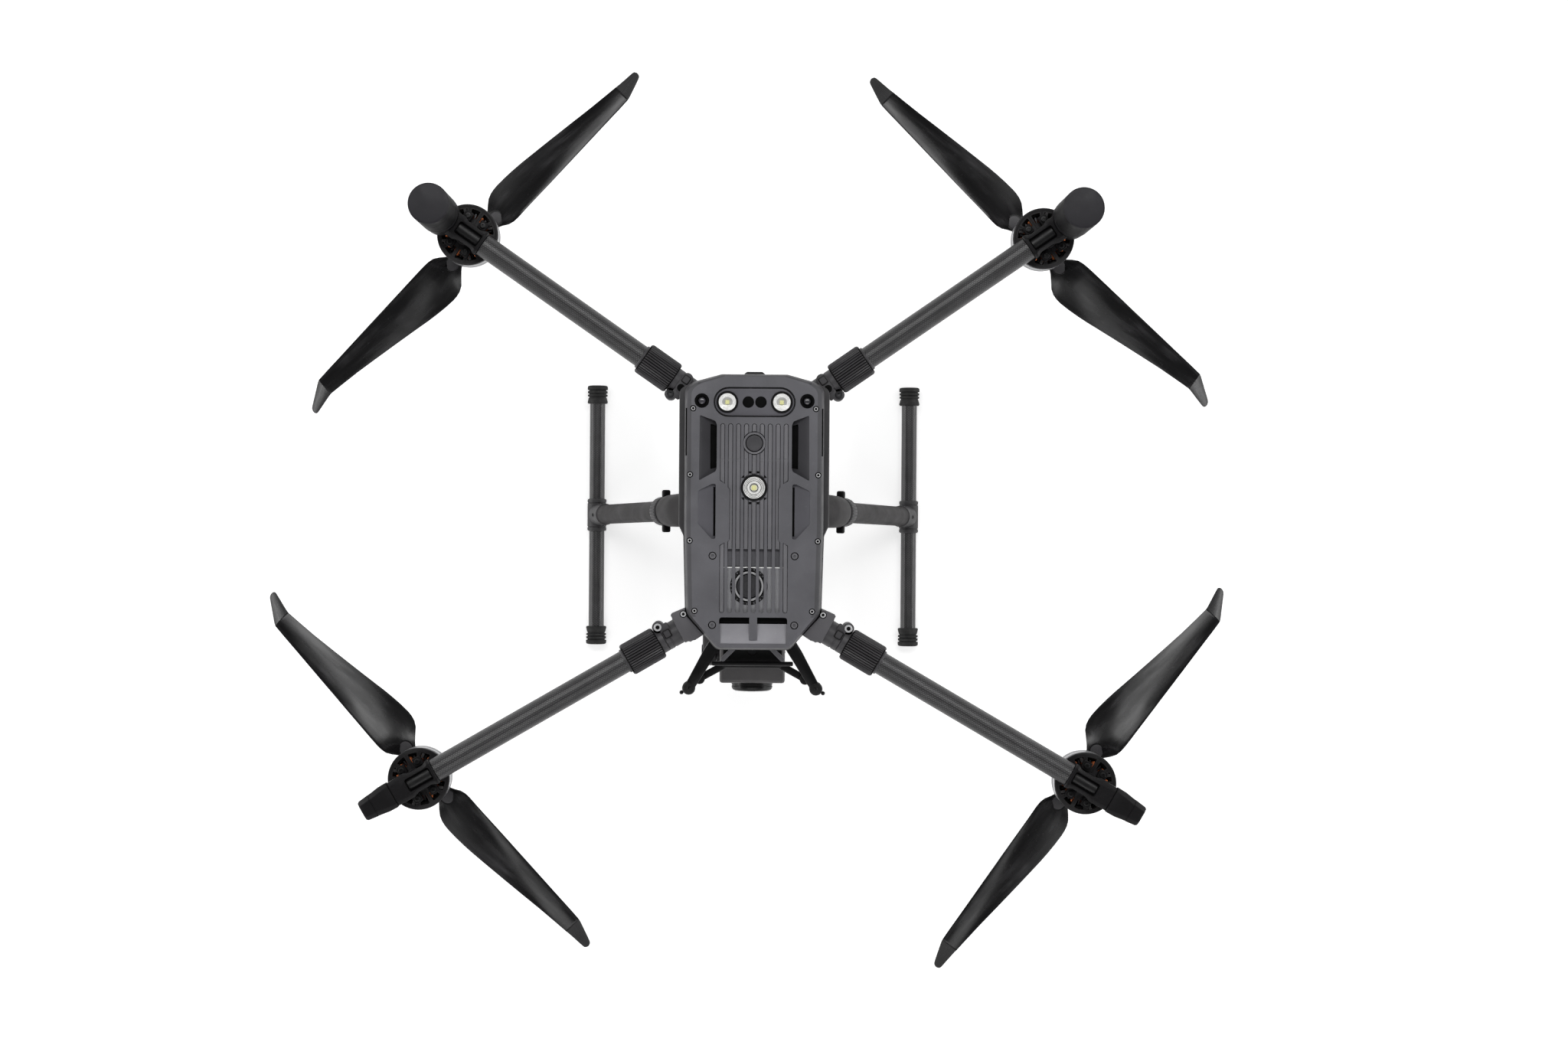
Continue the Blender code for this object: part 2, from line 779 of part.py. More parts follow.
def comb_outline():
    """Return the section of the heat sink: a plate with one fin per slot column."""
    half = (SLOT_COLUMNS - 1) / 2 * SLOT_PITCH + SLOT_WIDTH / 2 + SINK_MARGIN
    plate_top = COVER_BASE_Z - FIT
    points = [(-half, plate_top - SINK_PLATE), (half, plate_top - SINK_PLATE), (half, plate_top)]
    for x in reversed(slot_centres()):
        points.append((x + FIN_WIDTH / 2, plate_top))
        points.append((x + FIN_WIDTH / 2, COVER_TOP_Z - FIN_DROP))
        points.append((x - FIN_WIDTH / 2, COVER_TOP_Z - FIN_DROP))
        points.append((x - FIN_WIDTH / 2, plate_top))
    points.append((-half, plate_top))
    return points, half


def sink_span():
    """Return the front and rear Y of the heat sink."""
    inset = SLOT_WIDTH / 2
    return SLOT_BREAK_FRONT_Y, SLOT_REAR_Y - inset


def make_heat_sink():
    """Build the finned heat sink whose fins stand in the cover slots."""
    outline = comb_outline()[0]
    front, rear = sink_span()
    sink = prism([(x, -z) for x, z in outline], front, rear, ALONG_Y)
    clear = SLOT_WIDTH / 2 - FIN_WIDTH / 2
    cutters = [
        drum(radius + clear, COVER_BASE_Z, COVER_TOP_Z + 0.01, FINE_SIDES, Matrix.Translation((0, y, 0)))
        for radius, y in ((BUTTON_BOSS_RADIUS, BUTTON_Y), (BEACON_BOSS_RADIUS, BEACON_Y))
    ]
    centres = slot_centres()
    reach = SLOT_PITCH / 2
    for x in (centres[0], centres[-1]):
        low = (x - reach, front - 0.01, COVER_BASE_Z - FIT)
        high = (x + reach, SLOT_BREAK_REAR_Y + SLOT_WIDTH / 2, COVER_TOP_Z + 0.01)
        cutters.append(box(low, high))
    cut(sink, *cutters)
    return part(sink, "heat_sink", "dark_grey")


def make_cooling_fan():
    """Build the ringed fan on its own axis."""
    ring = turned([
        (FAN_RADIUS - FAN_RING, FAN_HEIGHT),
        (FAN_RADIUS, FAN_HEIGHT),
        (FAN_RADIUS, 0.0),
        (FAN_RADIUS - FAN_RING, 0.0),
        (FAN_RADIUS - FAN_RING, FAN_HEIGHT),
    ])
    hub = turned([
        (0.0, FAN_HEIGHT),
        (FAN_HUB_RADIUS, FAN_HEIGHT),
        (FAN_HUB_RADIUS, 0.0),
        (FAN_SHAFT_RADIUS, 0.0),
        (FAN_SHAFT_RADIUS, -FAN_SHAFT_LENGTH),
        (0.0, -FAN_SHAFT_LENGTH),
    ], PIN_SIDES)
    blades = []
    inner = FAN_HUB_RADIUS - 0.001
    outer = FAN_RADIUS - FAN_RING / 2
    for i in range(FAN_BLADES):
        turn = Matrix.Rotation(math.tau * i / FAN_BLADES, 4, "Z")
        tilt = Matrix.Translation((0, 0, FAN_HEIGHT / 2)) @ Matrix.Rotation(FAN_BLADE_PITCH, 4, "X")
        half = FAN_BLADE_WIDTH / 2
        blades.append(box((inner, -half, -0.0005), (outer, half, 0.0005), turn @ tilt))
    fan = join(ring, hub, *blades)
    seat = COVER_BASE_Z - FIT - 0.002 - FAN_HEIGHT
    return part(fan, "cooling_fan", "black", None, Matrix.Translation((FAN_X, FAN_Y, seat)))


class Arm:
    """One folding arm: its frames and its parts.

    The pivot frame has its origin on the hinge pin, X outward along the arm seen from above and Z up.
    The pin lies beside the arm axis, on the side to which the arm folds.
    """

    def __init__(self, end, side):
        rear = end == "rear"
        self.name = f"{end}_{'left' if side < 0 else 'right'}"
        self.rear = rear
        self.side = side
        motor = REAR_MOTOR if rear else FRONT_MOTOR
        split = REAR_SPLIT if rear else FRONT_SPLIT
        self.hinge_z = REAR_HINGE_Z if rear else FRONT_HINGE_Z
        self.offset = REAR_PIN_OFFSET if rear else FRONT_PIN_OFFSET
        way = Vector(((motor[0] - split[0]) * side, motor[1] - split[1]))
        self.reach = way.length
        self.yaw = math.atan2(way.y, way.x)
        self.fold = -side if rear else side
        self.rise = self.reach * math.tan(DIHEDRAL)
        turn = Matrix.Rotation(self.yaw, 4, "Z")
        start = Vector((split[0] * side, split[1], self.hinge_z))
        self.pivot = Matrix.Translation(start) @ turn @ Matrix.Translation((0, self.fold * self.offset, 0))
        self.axis_y = -self.fold * self.offset
        self.tilt = Matrix.Translation((0, self.axis_y, 0)) @ Matrix.Rotation(-DIHEDRAL, 4, "Y")
        self.slant = self.reach / math.cos(DIHEDRAL)
        self.motor_local = Matrix.Translation((self.reach, self.axis_y, self.rise - SEAT_DROP - FIT))
        self.toward = REAR_ROOT_TOWARD if rear else FRONT_ROOT_TOWARD
        self.spin = 1 if (self.name in ("rear_right", "front_left")) else -1

    def build(self):
        """Build every part of the arm."""
        self.holder = empty(f"arm_pivot_{self.name}", self.pivot)
        self.inclined = empty(f"arm_axis_{self.name}", self.tilt, self.holder)
        self.motor = empty(f"motor_axis_{self.name}", self.motor_local, self.holder)
        self.make_coupling()
        self.make_tube()
        self.make_sleeve()
        self.make_mount()
        self.make_stator()
        if self.rear:
            self.make_antenna()
        else:
            self.make_nose_cap()
        self.make_rotor()
        self.make_blades()

    def level_drum_x(self, radius, low, high):
        """Return a level cylinder along the arm seen from above, in the pivot frame."""
        return drum(radius, low, high, SIDES, Matrix.Translation((0, self.axis_y, 0)) @ ALONG_X)

    def knuckle_outline(self, way):
        """Return the outline of one hinge knuckle: round at the pin, with a web to the arm axis."""
        gap = FIT if way > 0 else 2 * FIT
        turn = self.fold * math.pi
        arc = circle(KNUCKLE_RADIUS, 7, (0.0, 0.0), 0.0 if way > 0 else math.pi, turn * way)
        near = (way * gap, self.axis_y)
        return arc + [(-way * KNUCKLE_RADIUS, -self.fold * gap), (way * gap, -self.fold * gap), near,
                      (way * KNUCKLE_RADIUS, self.axis_y)]

    def root(self):
        """Return the arm root as one solid in world space, ready to join the centre frame."""
        half = FIT / 2
        body = self.level_drum_x(COLLAR_RADIUS, -COLLAR_LENGTH - 0.004, -half)
        outline = cut_corners(ROOT_HALF_WIDTH, ROOT_HALF_HEIGHT, ROOT_CHAMFER)
        near = [Vector((-COLLAR_LENGTH, self.axis_y + y, z)) for y, z in outline]
        inner = self.pivot.inverted() @ Vector((self.toward[0] * self.side, self.toward[1], self.hinge_z))
        floor = TUB_TOP_Z + FIT - self.hinge_z
        ceiling = COVER_BASE_Z - FIT - self.hinge_z
        far = []
        for y, z in outline:
            level = min(max(z, floor + 0.001), ceiling - 0.001)
            far.append(Vector((inner.x, inner.y + y, level)))
        middle_x = -COLLAR_LENGTH - ROOT_LENGTH * 0.35
        middle = [Vector((middle_x, p.y, min(max(p.z, floor + 0.001), ceiling - 0.001))) for p in near]
        block = loft([near, middle, far])
        inner_z = KNUCKLE_MIDDLE_HALF + FIT
        knuckles = [
            prism(self.knuckle_outline(-1), inner_z, KNUCKLE_HALF),
            prism(self.knuckle_outline(-1), -KNUCKLE_HALF, -inner_z),
        ]
        pin = drum(PIN_RADIUS, -KNUCKLE_HALF + 0.001, KNUCKLE_HALF - 0.001, PIN_SIDES)
        pad = box(
            (-PAD_LENGTH, self.axis_y - PAD_HALF_WIDTH, 0),
            (-half - FIT, self.axis_y + PAD_HALF_WIDTH, COLLAR_RADIUS + PAD_PROUD),
        )
        join(body, block, pad)
        notch_half = KNUCKLE_MIDDLE_HALF + FIT / 2
        cut(body, drum(hole(KNUCKLE_RADIUS + RUN), -notch_half, notch_half, SIDES))
        join(body, *knuckles, pin)
        body.data.transform(self.pivot)
        return body

    def make_coupling(self):
        """Build the hinged coupling: flange with its knuckle and the barrel that takes the tube."""
        behind = COLLAR_RADIUS * math.tan(DIHEDRAL) + FIT
        barrel = turned([
            (0.0, COUPLING_LENGTH - TUBE_INSERT),
            (hole(TUBE_RADIUS + FIT), COUPLING_LENGTH - TUBE_INSERT),
            (hole(TUBE_RADIUS + FIT), COUPLING_LENGTH),
            (COLLAR_RADIUS, COUPLING_LENGTH),
            (COLLAR_RADIUS, -behind),
            (0.0, -behind),
        ], SIDES, self.tilt @ ALONG_X)
        wide = 2 * COLLAR_RADIUS
        cut(barrel, box((-wide, self.axis_y - wide, -wide), (FIT / 2, self.axis_y + wide, wide)))
        swept = hole(KNUCKLE_RADIUS + RUN)
        cut(barrel, drum(swept, KNUCKLE_MIDDLE_HALF, KNUCKLE_HALF + RUN, SIDES))
        cut(barrel, drum(swept, -KNUCKLE_HALF - RUN, -KNUCKLE_MIDDLE_HALF, SIDES))
        join(barrel, prism(self.knuckle_outline(1), -KNUCKLE_MIDDLE_HALF, KNUCKLE_MIDDLE_HALF))
        cut(barrel, drum(hole(PIN_RADIUS + RUN, PIN_SIDES), -KNUCKLE_HALF, KNUCKLE_HALF, PIN_SIDES))
        part(barrel, f"arm_coupling_{self.name}", "dark_grey", self.holder, Matrix.Identity(4))

    def make_tube(self):
        """Build the carbon tube between the coupling and the motor mount."""
        start = COUPLING_LENGTH - TUBE_INSERT + FIT
        end = self.slant - MOUNT_INBOARD - FIT
        tube = drum(TUBE_RADIUS, start, end, FINE_SIDES, ALONG_X)
        cut(tube, drum(hole(SPIGOT_RADIUS + FIT), end - MOUNT_SPIGOT - 0.002, end + 0.01, SIDES, ALONG_X))
        part(tube, f"arm_tube_{self.name}", "carbon", self.inclined, Matrix.Identity(4))

    def sleeve_outline(self):
        """Return the ribbed outline of the lock sleeve, with smooth ears at both sides."""
        points = []
        steps = 2 * SLEEVE_RIBS
        span = math.pi - 2 * SLEEVE_EAR_HALF
        for base in (0.0, math.pi):
            points.append((base - SLEEVE_EAR_HALF * 0.55, SLEEVE_EAR))
            points.append((base + SLEEVE_EAR_HALF * 0.55, SLEEVE_EAR))
            for i in range(steps + 1):
                angle = base + SLEEVE_EAR_HALF + span * i / steps
                points.append((angle, SLEEVE_RADIUS - (SLEEVE_RIB_DEPTH if i % 2 else 0.0)))
        return [(radius * math.cos(a), radius * math.sin(a)) for a, radius in points]

    def make_sleeve(self):
        """Build the ribbed lock sleeve that slides on the coupling barrel."""
        sleeve = prism(self.sleeve_outline(), SLEEVE_START, SLEEVE_START + SLEEVE_LENGTH, ALONG_X)
        bore = hole(COLLAR_RADIUS + RUN)
        cut(sleeve, drum(bore, SLEEVE_START - 0.01, SLEEVE_START + SLEEVE_LENGTH + 0.01, SIDES, ALONG_X))
        part(sleeve, f"lock_sleeve_{self.name}", "black", self.inclined, Matrix.Identity(4))

    def make_mount(self):
        """Build the motor mount: an inclined block, a spigot in the tube and a level motor seat."""
        outline = cut_corners(MOUNT_HALF_WIDTH, MOUNT_HALF_HEIGHT, MOUNT_CHAMFER)
        low = self.slant - MOUNT_INBOARD
        high = self.slant + MOUNT_OUTBOARD
        block = prism(outline, low, high, ALONG_X)
        spigot = drum(SPIGOT_RADIUS, low - MOUNT_SPIGOT, low + 0.003, SIDES, ALONG_X)
        to_axis = self.tilt.inverted() @ self.motor_local
        seat = drum(SEAT_RADIUS, FIT, SEAT_DROP - 0.004, FINE_SIDES, to_axis)
        pieces = [spigot, seat]
        if self.rear:
            lift = SEAT_DROP + FIT + ANTENNA_PAD_RISE
            place = to_axis @ Matrix.Translation((ANTENNA_OUT, 0, 0))
            pieces.append(drum(ANTENNA_RADIUS - 0.002, lift - ANTENNA_PAD_DEPTH, lift, FINE_SIDES, place))
        join(block, *pieces)
        middle = self.slant - MOUNT_INBOARD + MOUNT_POCKET_START + MOUNT_POCKET_LENGTH / 2
        cutters = [prism(
            cut_corners(MOUNT_POCKET_LENGTH / 2, MOUNT_POCKET_WIDTH / 2, MOUNT_POCKET_CORNER),
            MOUNT_HALF_HEIGHT - MOUNT_POCKET_DEPTH,
            MOUNT_HALF_HEIGHT + 0.01,
            Matrix.Translation((middle, 0, 0)),
        )]
        if self.rear:
            cutters.append(drum(hole(ANTENNA_RADIUS + FIT, FINE_SIDES), lift, lift + MOUNT_HALF_HEIGHT * 2, FINE_SIDES, place))
        cut(block, *cutters)
        part(block, f"motor_mount_{self.name}", "dark_grey", self.inclined, Matrix.Identity(4))

    def make_stator(self):
        """Build the motor base with its windows, hub and winding drum."""
        stator = turned([
            (0.0, 0.0),
            (STATOR_RADIUS, 0.0),
            (STATOR_RADIUS, -STATOR_BASE),
            (STATOR_HUB_RADIUS, -STATOR_BASE),
            (STATOR_HUB_RADIUS, -DRUM_TOP),
            (DRUM_RADIUS, -DRUM_TOP),
            (DRUM_RADIUS, -DRUM_BOTTOM),
            (hole(SHAFT_RADIUS + RUN, FINE_SIDES), -DRUM_BOTTOM),
            (hole(SHAFT_RADIUS + RUN, FINE_SIDES), -STATOR_BASE),
            (0.0, -STATOR_BASE),
        ], FINE_SIDES)
        windows = []
        for i in range(WINDOW_COUNT):
            middle = math.tau * (i + 0.5) / WINDOW_COUNT
            start = middle - WINDOW_SPREAD / 2
            outer = circle(WINDOW_OUTER, 2, (0, 0), start, WINDOW_SPREAD)
            inner = circle(WINDOW_INNER, 2, (0, 0), start + WINDOW_SPREAD, -WINDOW_SPREAD)
            windows.append(prism(outer + inner, -STATOR_BASE - 0.001, 0.001))
        cut(stator, *windows)
        part(stator, f"motor_stator_{self.name}", "metal", self.motor, Matrix.Identity(4))

    def make_antenna(self):
        """Build the antenna can on the outer end of a rear arm."""
        foot = SEAT_DROP + FIT + ANTENNA_PAD_RISE + FIT
        top = ANTENNA_TOP_Z - (self.hinge_z + self.rise - SEAT_DROP - FIT)
        can = turned([
            (0.0, top),
            (ANTENNA_RADIUS - ANTENNA_ROUND * 1.4, top),
            (ANTENNA_RADIUS - ANTENNA_ROUND * 0.4, top - ANTENNA_ROUND * 0.4),
            (ANTENNA_RADIUS, top - ANTENNA_ROUND * 1.4),
            (ANTENNA_RADIUS, foot + ANTENNA_RIM),
            (ANTENNA_RADIUS - ANTENNA_RIM, foot),
            (0.0, foot),
        ], FINE_SIDES, Matrix.Translation((ANTENNA_OUT, 0, 0)))
        part(can, f"antenna_{self.name}", "dark_grey", self.motor, Matrix.Identity(4))

    def make_nose_cap(self):
        """Build the tapered cap on the outer end of a front arm."""
        start = self.slant + MOUNT_OUTBOARD + FIT
        tip = self.slant + NOSE_CAP_TIP
        root = cut_corners(MOUNT_HALF_WIDTH, MOUNT_HALF_HEIGHT, MOUNT_CHAMFER)
        end = cut_corners(NOSE_CAP_TIP_HALF, NOSE_CAP_TIP_HEIGHT, MOUNT_CHAMFER)
        last = [(y * 0.62, z * 0.62) for y, z in end]
        length = tip - start
        rings = [
            [(start, y, z) for y, z in root],
            [(start + length * 0.86, y, z) for y, z in end],
            [(tip, y, z) for y, z in last],
        ]
        part(loft(rings), f"nose_cap_{self.name}", "dark_grey", self.inclined, Matrix.Identity(4))

    def blade_turn(self, index):
        """Return the turn of one blade about the motor axis, in the motor frame."""
        return math.radians(BLADE_ANGLES[self.name][index]) - self.yaw

    def hub_turn(self):
        """Return the turn of the hub: the mean line of the two blades."""
        first = self.blade_turn(0)
        second = self.blade_turn(1) - math.pi
        return (first + second) / 2

    def make_rotor(self):
        """Build the bell with its shaft, propeller hub plates and blade pins."""
        plate_top = -BLADE_LEVEL + LUG_HALF + FIT
        plate_low = -BLADE_LEVEL - LUG_HALF - FIT
        bottom = plate_low - HUB_PLATE
        rotor = turned([
            (0.0, -BELL_BOTTOM + BELL_PLATE),
            (BELL_RADIUS - BELL_WALL, -BELL_BOTTOM + BELL_PLATE),
            (BELL_RADIUS - BELL_WALL, -BELL_TOP),
            (BELL_RADIUS, -BELL_TOP),
            (BELL_RADIUS, -BELL_BOTTOM + 0.002),
            (HUB_RADIUS, -BELL_BOTTOM - 0.006),
            (HUB_RADIUS, bottom),
            (0.0, bottom),
        ], FINE_SIDES)
        turn = Matrix.Rotation(self.hub_turn(), 4, "Z")
        bar = stadium(BLADE_PIN_RADIUS_OUT + LUG_RADIUS, LUG_RADIUS, 4)
        pieces = [
            drum(SHAFT_RADIUS, -BELL_BOTTOM + BELL_PLATE / 2, -STATOR_BASE - FIT, PIN_SIDES),
            prism(bar, plate_top, plate_top + HUB_PLATE, turn),
            prism(bar, plate_low - HUB_PLATE, plate_low, turn),
        ]
        for way in (-1, 1):
            place = turn @ Matrix.Translation((way * BLADE_PIN_RADIUS_OUT, 0, 0))
            pieces.append(drum(BLADE_PIN_RADIUS, plate_low - HUB_PLATE / 2, plate_top + HUB_PLATE / 2, PIN_SIDES, place))
        join(rotor, *pieces)
        part(rotor, f"rotor_{self.name}", "metal", self.motor, Matrix.Identity(4))

    def blade_section(self, radius):
        """Return one blade section at a radius from the motor axis: six points round the chord."""
        share = (radius - BLADE_WIDE_AT) / (BLADE_TAPER_END - BLADE_WIDE_AT)
        wide = min(max((radius - BLADE_PIN_RADIUS_OUT) / (BLADE_WIDE_AT - BLADE_PIN_RADIUS_OUT), 0.0), 1.0)
        wide = wide * wide * (3 - 2 * wide)
        lead = BLADE_ROOT_HALF + (BLADE_STRAIGHT_EDGE - BLADE_ROOT_HALF) * wide
        trail = -BLADE_ROOT_HALF - (BLADE_WIDE_EDGE - BLADE_ROOT_HALF) * wide
        if share > 0:
            trail = -BLADE_WIDE_EDGE * max(1.0 - share, 0.02)
        if radius > BLADE_TAPER_END:
            rake = (radius - BLADE_TAPER_END) / (TIP_RADIUS - BLADE_TAPER_END)
            lead = BLADE_STRAIGHT_EDGE * (1.0 - 0.9 * rake ** 1.5)
        along_span = (radius - BLADE_PIN_RADIUS_OUT) / (TIP_RADIUS - BLADE_PIN_RADIUS_OUT)
        thick = BLADE_THICK_ROOT + (BLADE_THICK_TIP - BLADE_THICK_ROOT) * along_span ** 0.7
        pitch = (BLADE_PITCH_ROOT + (BLADE_PITCH_TIP - BLADE_PITCH_ROOT) * along_span) * wide
        chord = lead - trail
        shape = [(0.0, 0.0), (0.28, 0.55), (0.68, 0.38), (1.0, 0.06), (0.68, -0.38), (0.28, -0.45)]
        points = []
        for back, up in shape:
            y = lead - back * chord
            z = up * thick
            points.append((
                radius - BLADE_PIN_RADIUS_OUT,
                self.spin * (y * math.cos(pitch) - z * math.sin(pitch)),
                y * math.sin(pitch) + z * math.cos(pitch),
            ))
        return points

    def make_blades(self):
        """Build the two folding blades, each with its origin on its own pin."""
        root = BLADE_PIN_RADIUS_OUT + LUG_RADIUS / 2
        radii = [root, (root * 2 + BLADE_WIDE_AT) / 3, (root + 2 * BLADE_WIDE_AT) / 3, BLADE_WIDE_AT]
        radii += [(BLADE_WIDE_AT + BLADE_TAPER_END) / 2, BLADE_TAPER_END]
        radii += [(BLADE_TAPER_END + TIP_RADIUS) / 2, TIP_RADIUS]
        for index, letter in enumerate("ab"):
            blade = loft([self.blade_section(radius) for radius in radii])
            lug = drum(LUG_RADIUS, -LUG_HALF, LUG_HALF, 10)
            join(blade, lug)
            cut(blade, drum(hole(BLADE_PIN_RADIUS + RUN, PIN_SIDES), -0.02, 0.02, PIN_SIDES))
            seat = Matrix.Rotation(self.hub_turn() + index * math.pi, 4, "Z")
            seat = Matrix.Translation((0, 0, -BLADE_LEVEL)) @ seat @ Matrix.Translation((BLADE_PIN_RADIUS_OUT, 0, 0))
            swing = self.blade_turn(index) - self.hub_turn() - index * math.pi
            place = seat @ Matrix.Rotation(swing, 4, "Z")
            part(blade, f"blade_{letter}_{self.name}", "blade", self.motor, place)


def make_center_frame(arms):
    """Build the centre frame with the four arm roots, the heat sink bed and the fan well."""
    low = TUB_TOP_Z + FIT
    high = COVER_BASE_Z - FIT
    frame = prism(wall_outline(0.0), low, high)
    nub_low = (low + high) / 2 - NUB_HEIGHT / 2
    nub = box((-NUB_HALF, TAIL_Y - 0.002, nub_low), (NUB_HALF, TAIL_Y + NUB_LENGTH, nub_low + NUB_HEIGHT))
    join(frame, nub, *[arm.root() for arm in arms])
    half = comb_outline()[1]
    front, rear = sink_span()
    bed = box(
        (-half - FIT, front - FIT, COVER_BASE_Z - 2 * FIT - SINK_PLATE),
        (half + FIT, rear + FIT, COVER_BASE_Z + 0.01),
    )
    place = Matrix.Translation((FAN_X, FAN_Y, 0))
    well_floor = COVER_BASE_Z - FIT - 0.002 - FAN_HEIGHT - FIT
    well = drum(hole(FAN_RADIUS + RUN, FINE_SIDES), well_floor, COVER_BASE_Z + 0.01, FINE_SIDES, place)
    bearing = drum(hole(FAN_SHAFT_RADIUS + RUN, PIN_SIDES), well_floor - FAN_SHAFT_LENGTH, well_floor + 0.001, PIN_SIDES, place)
    cut(frame, bed, join(well, bearing))
    return part(frame, "center_frame", "dark_grey")


def leg_ends(side):
    """Return the top and foot points of one leg axis."""
    top = Vector((side * LEG_TOP_X, LEG_TOP_Y, LEG_TOP_Z))
    foot = Vector((side * SKID_X, SKID_Y, CAP_RADIUS))
    return top, foot


def battery_box(side, gap):
    """Return the corners of one battery bay, drawn in by gap."""
    low_x, high_x = sorted((side * BAY_INNER_X, side * (BAY_INNER_X + BAY_WIDTH)))
    floor = BELLY_Z + BAY_FLOOR
    low = Vector((low_x + gap, BAY_FRONT_Y + gap, floor + gap))
    high = Vector((high_x - gap, BAY_FRONT_Y + BATTERY_LENGTH, floor + BAY_HEIGHT - gap))
    return low, high


def make_lower_tub():
    """Build the lower tub with two battery bays and the leg sockets."""
    outline = wall_outline(0.0)
    chin = wall_outline(0.006)
    rings = [
        [(x, y, BELLY_Z) for x, y in chin],
        [(x, y, BELLY_Z + 0.010) for x, y in outline],
        [(x, y, TUB_TOP_Z) for x, y in outline],
    ]
    tub = loft(rings)
    pad_half = (BELLY_PAD_REAR_Y - BELLY_PAD_FRONT_Y) / 2
    join(tub, prism(
        cut_corners(BELLY_PAD_HALF, pad_half, BELLY_PAD_CORNER),
        BELLY_Z - BELLY_PAD_PROUD,
        BELLY_Z + BAY_FLOOR / 2,
        Matrix.Translation((0, BELLY_PAD_FRONT_Y + pad_half, 0)),
    ))
    cutters = []
    for side in (-1, 1):
        top, foot = leg_ends(side)
        inward = top - (foot - top).normalized() * 0.012
        frame = along(inward, foot)
        join(tub, drum(SOCKET_RADIUS, 0.0, 0.012 + SOCKET_OUT, SIDES, frame))
        cutters.append(drum(
            hole(LEG_RADIUS + FIT),
            0.012 + SOCKET_OUT - SOCKET_DEPTH,
            0.012 + SOCKET_OUT + 0.02,
            SIDES,
            frame,
        ))
        low, high = battery_box(side, 0.0)
        high.y = TAIL_Y + 0.02
        cutters.append(box(low, high))
    cut(tub, *cutters)
    return part(tub, "lower_tub", "dark_grey")


def make_battery(side):
    """Build one battery pack with a grip at its rear end."""
    low, high = battery_box(side, RUN)
    name = "battery_left" if side < 0 else "battery_right"
    pack = bevelled(box(low, high), BATTERY_BEVEL)
    middle = (low + high) / 2
    grip = box(
        (middle.x - BATTERY_GRIP_WIDTH / 2, high.y - 0.002, middle.z - BATTERY_GRIP_HEIGHT / 2),
        (middle.x + BATTERY_GRIP_WIDTH / 2, high.y + BATTERY_GRIP_DEPTH, middle.z + BATTERY_GRIP_HEIGHT / 2),
    )
    join(pack, grip)
    return part(pack, name, "black")


def make_leg(side):
    """Build one leg tube with the tee that holds the skid."""
    name = "left" if side < 0 else "right"
    top, foot = leg_ends(side)
    way = (foot - top).normalized()
    start = top + way * (SOCKET_OUT - SOCKET_DEPTH + FIT)
    leg = drum(LEG_RADIUS, 0.0, (foot - start).length, FINE_SIDES, along(start, foot))
    across = Matrix.Translation(foot) @ ALONG_Y
    tee = turned([
        (0.0, TEE_LENGTH / 2),
        (TEE_RADIUS - 0.0012, TEE_LENGTH / 2),
        (TEE_RADIUS, TEE_LENGTH / 2 - 0.0012),
        (TEE_RADIUS, -TEE_LENGTH / 2 + 0.0012),
        (TEE_RADIUS - 0.0012, -TEE_LENGTH / 2),
        (0.0, -TEE_LENGTH / 2),
    ], FINE_SIDES, across)
    join(leg, tee)
    cut(leg, drum(hole(SKID_RADIUS + FIT), -TEE_LENGTH, TEE_LENGTH, SIDES, across))
    return part(leg, f"leg_{name}", "carbon")


def make_skid(side):
    """Build one skid tube and its two ridged end caps."""
    name = "left" if side < 0 else "right"
    foot = leg_ends(side)[1]
    across = Matrix.Translation(foot) @ ALONG_Y
    reach = SKID_LENGTH / 2 - CAP_LENGTH + CAP_INSERT
    part(drum(SKID_RADIUS, -reach + FIT, reach - FIT, SIDES, across), f"skid_{name}", "carbon")
    for way, end in ((1, "rear"), (-1, "front")):
        inner = SKID_LENGTH / 2 - CAP_LENGTH
        profile = [(0.0, SKID_LENGTH / 2)]
        pitch = CAP_LENGTH / (CAP_RIDGES + 1)
        for i in range(CAP_RIDGES):
            z = SKID_LENGTH / 2 - i * pitch
            profile.append((CAP_RADIUS, z))
            profile.append((CAP_RADIUS, z - pitch * 0.55))
            profile.append((CAP_RADIUS - CAP_RIDGE_DEPTH, z - pitch * 0.78))
        profile += [
            (CAP_RADIUS, SKID_LENGTH / 2 - CAP_RIDGES * pitch),
            (CAP_RADIUS, inner),
            (hole(SKID_RADIUS + FIT), inner),
            (hole(SKID_RADIUS + FIT), inner + CAP_INSERT),
            (0.0, inner + CAP_INSERT),
        ]
        turn = Matrix.Identity(4) if way > 0 else Matrix.Rotation(math.pi, 4, "X")
        part(turned(profile, SIDES, across @ turn), f"skid_cap_{end}_{name}", "rubber")


def make_lock_ring(side):
    """Build the twist ring of one leg, with two thumb tabs, on the leg axis."""
    name = "left" if side < 0 else "right"
    top, foot = leg_ends(side)
    frame = along(top, foot)
    across = frame.to_3x3().inverted() @ Vector((0, 1, 0))
    heading = Matrix.Rotation(math.atan2(across.y, across.x), 4, "Z")
    ring = drum(RING_RADIUS, RING_START, RING_START + RING_LENGTH, FINE_SIDES)
    tab = box(
        (-RING_TAB_REACH, -RING_TAB_HALF, RING_START),
        (RING_TAB_REACH, RING_TAB_HALF, RING_START + RING_LENGTH * 0.7),
        heading,
    )
    join(ring, tab)
    cut(ring, drum(hole(LEG_RADIUS + RUN), RING_START - 0.01, RING_START + RING_LENGTH + 0.01, SIDES))
    return part(ring, f"lock_ring_{name}", "black", None, frame)


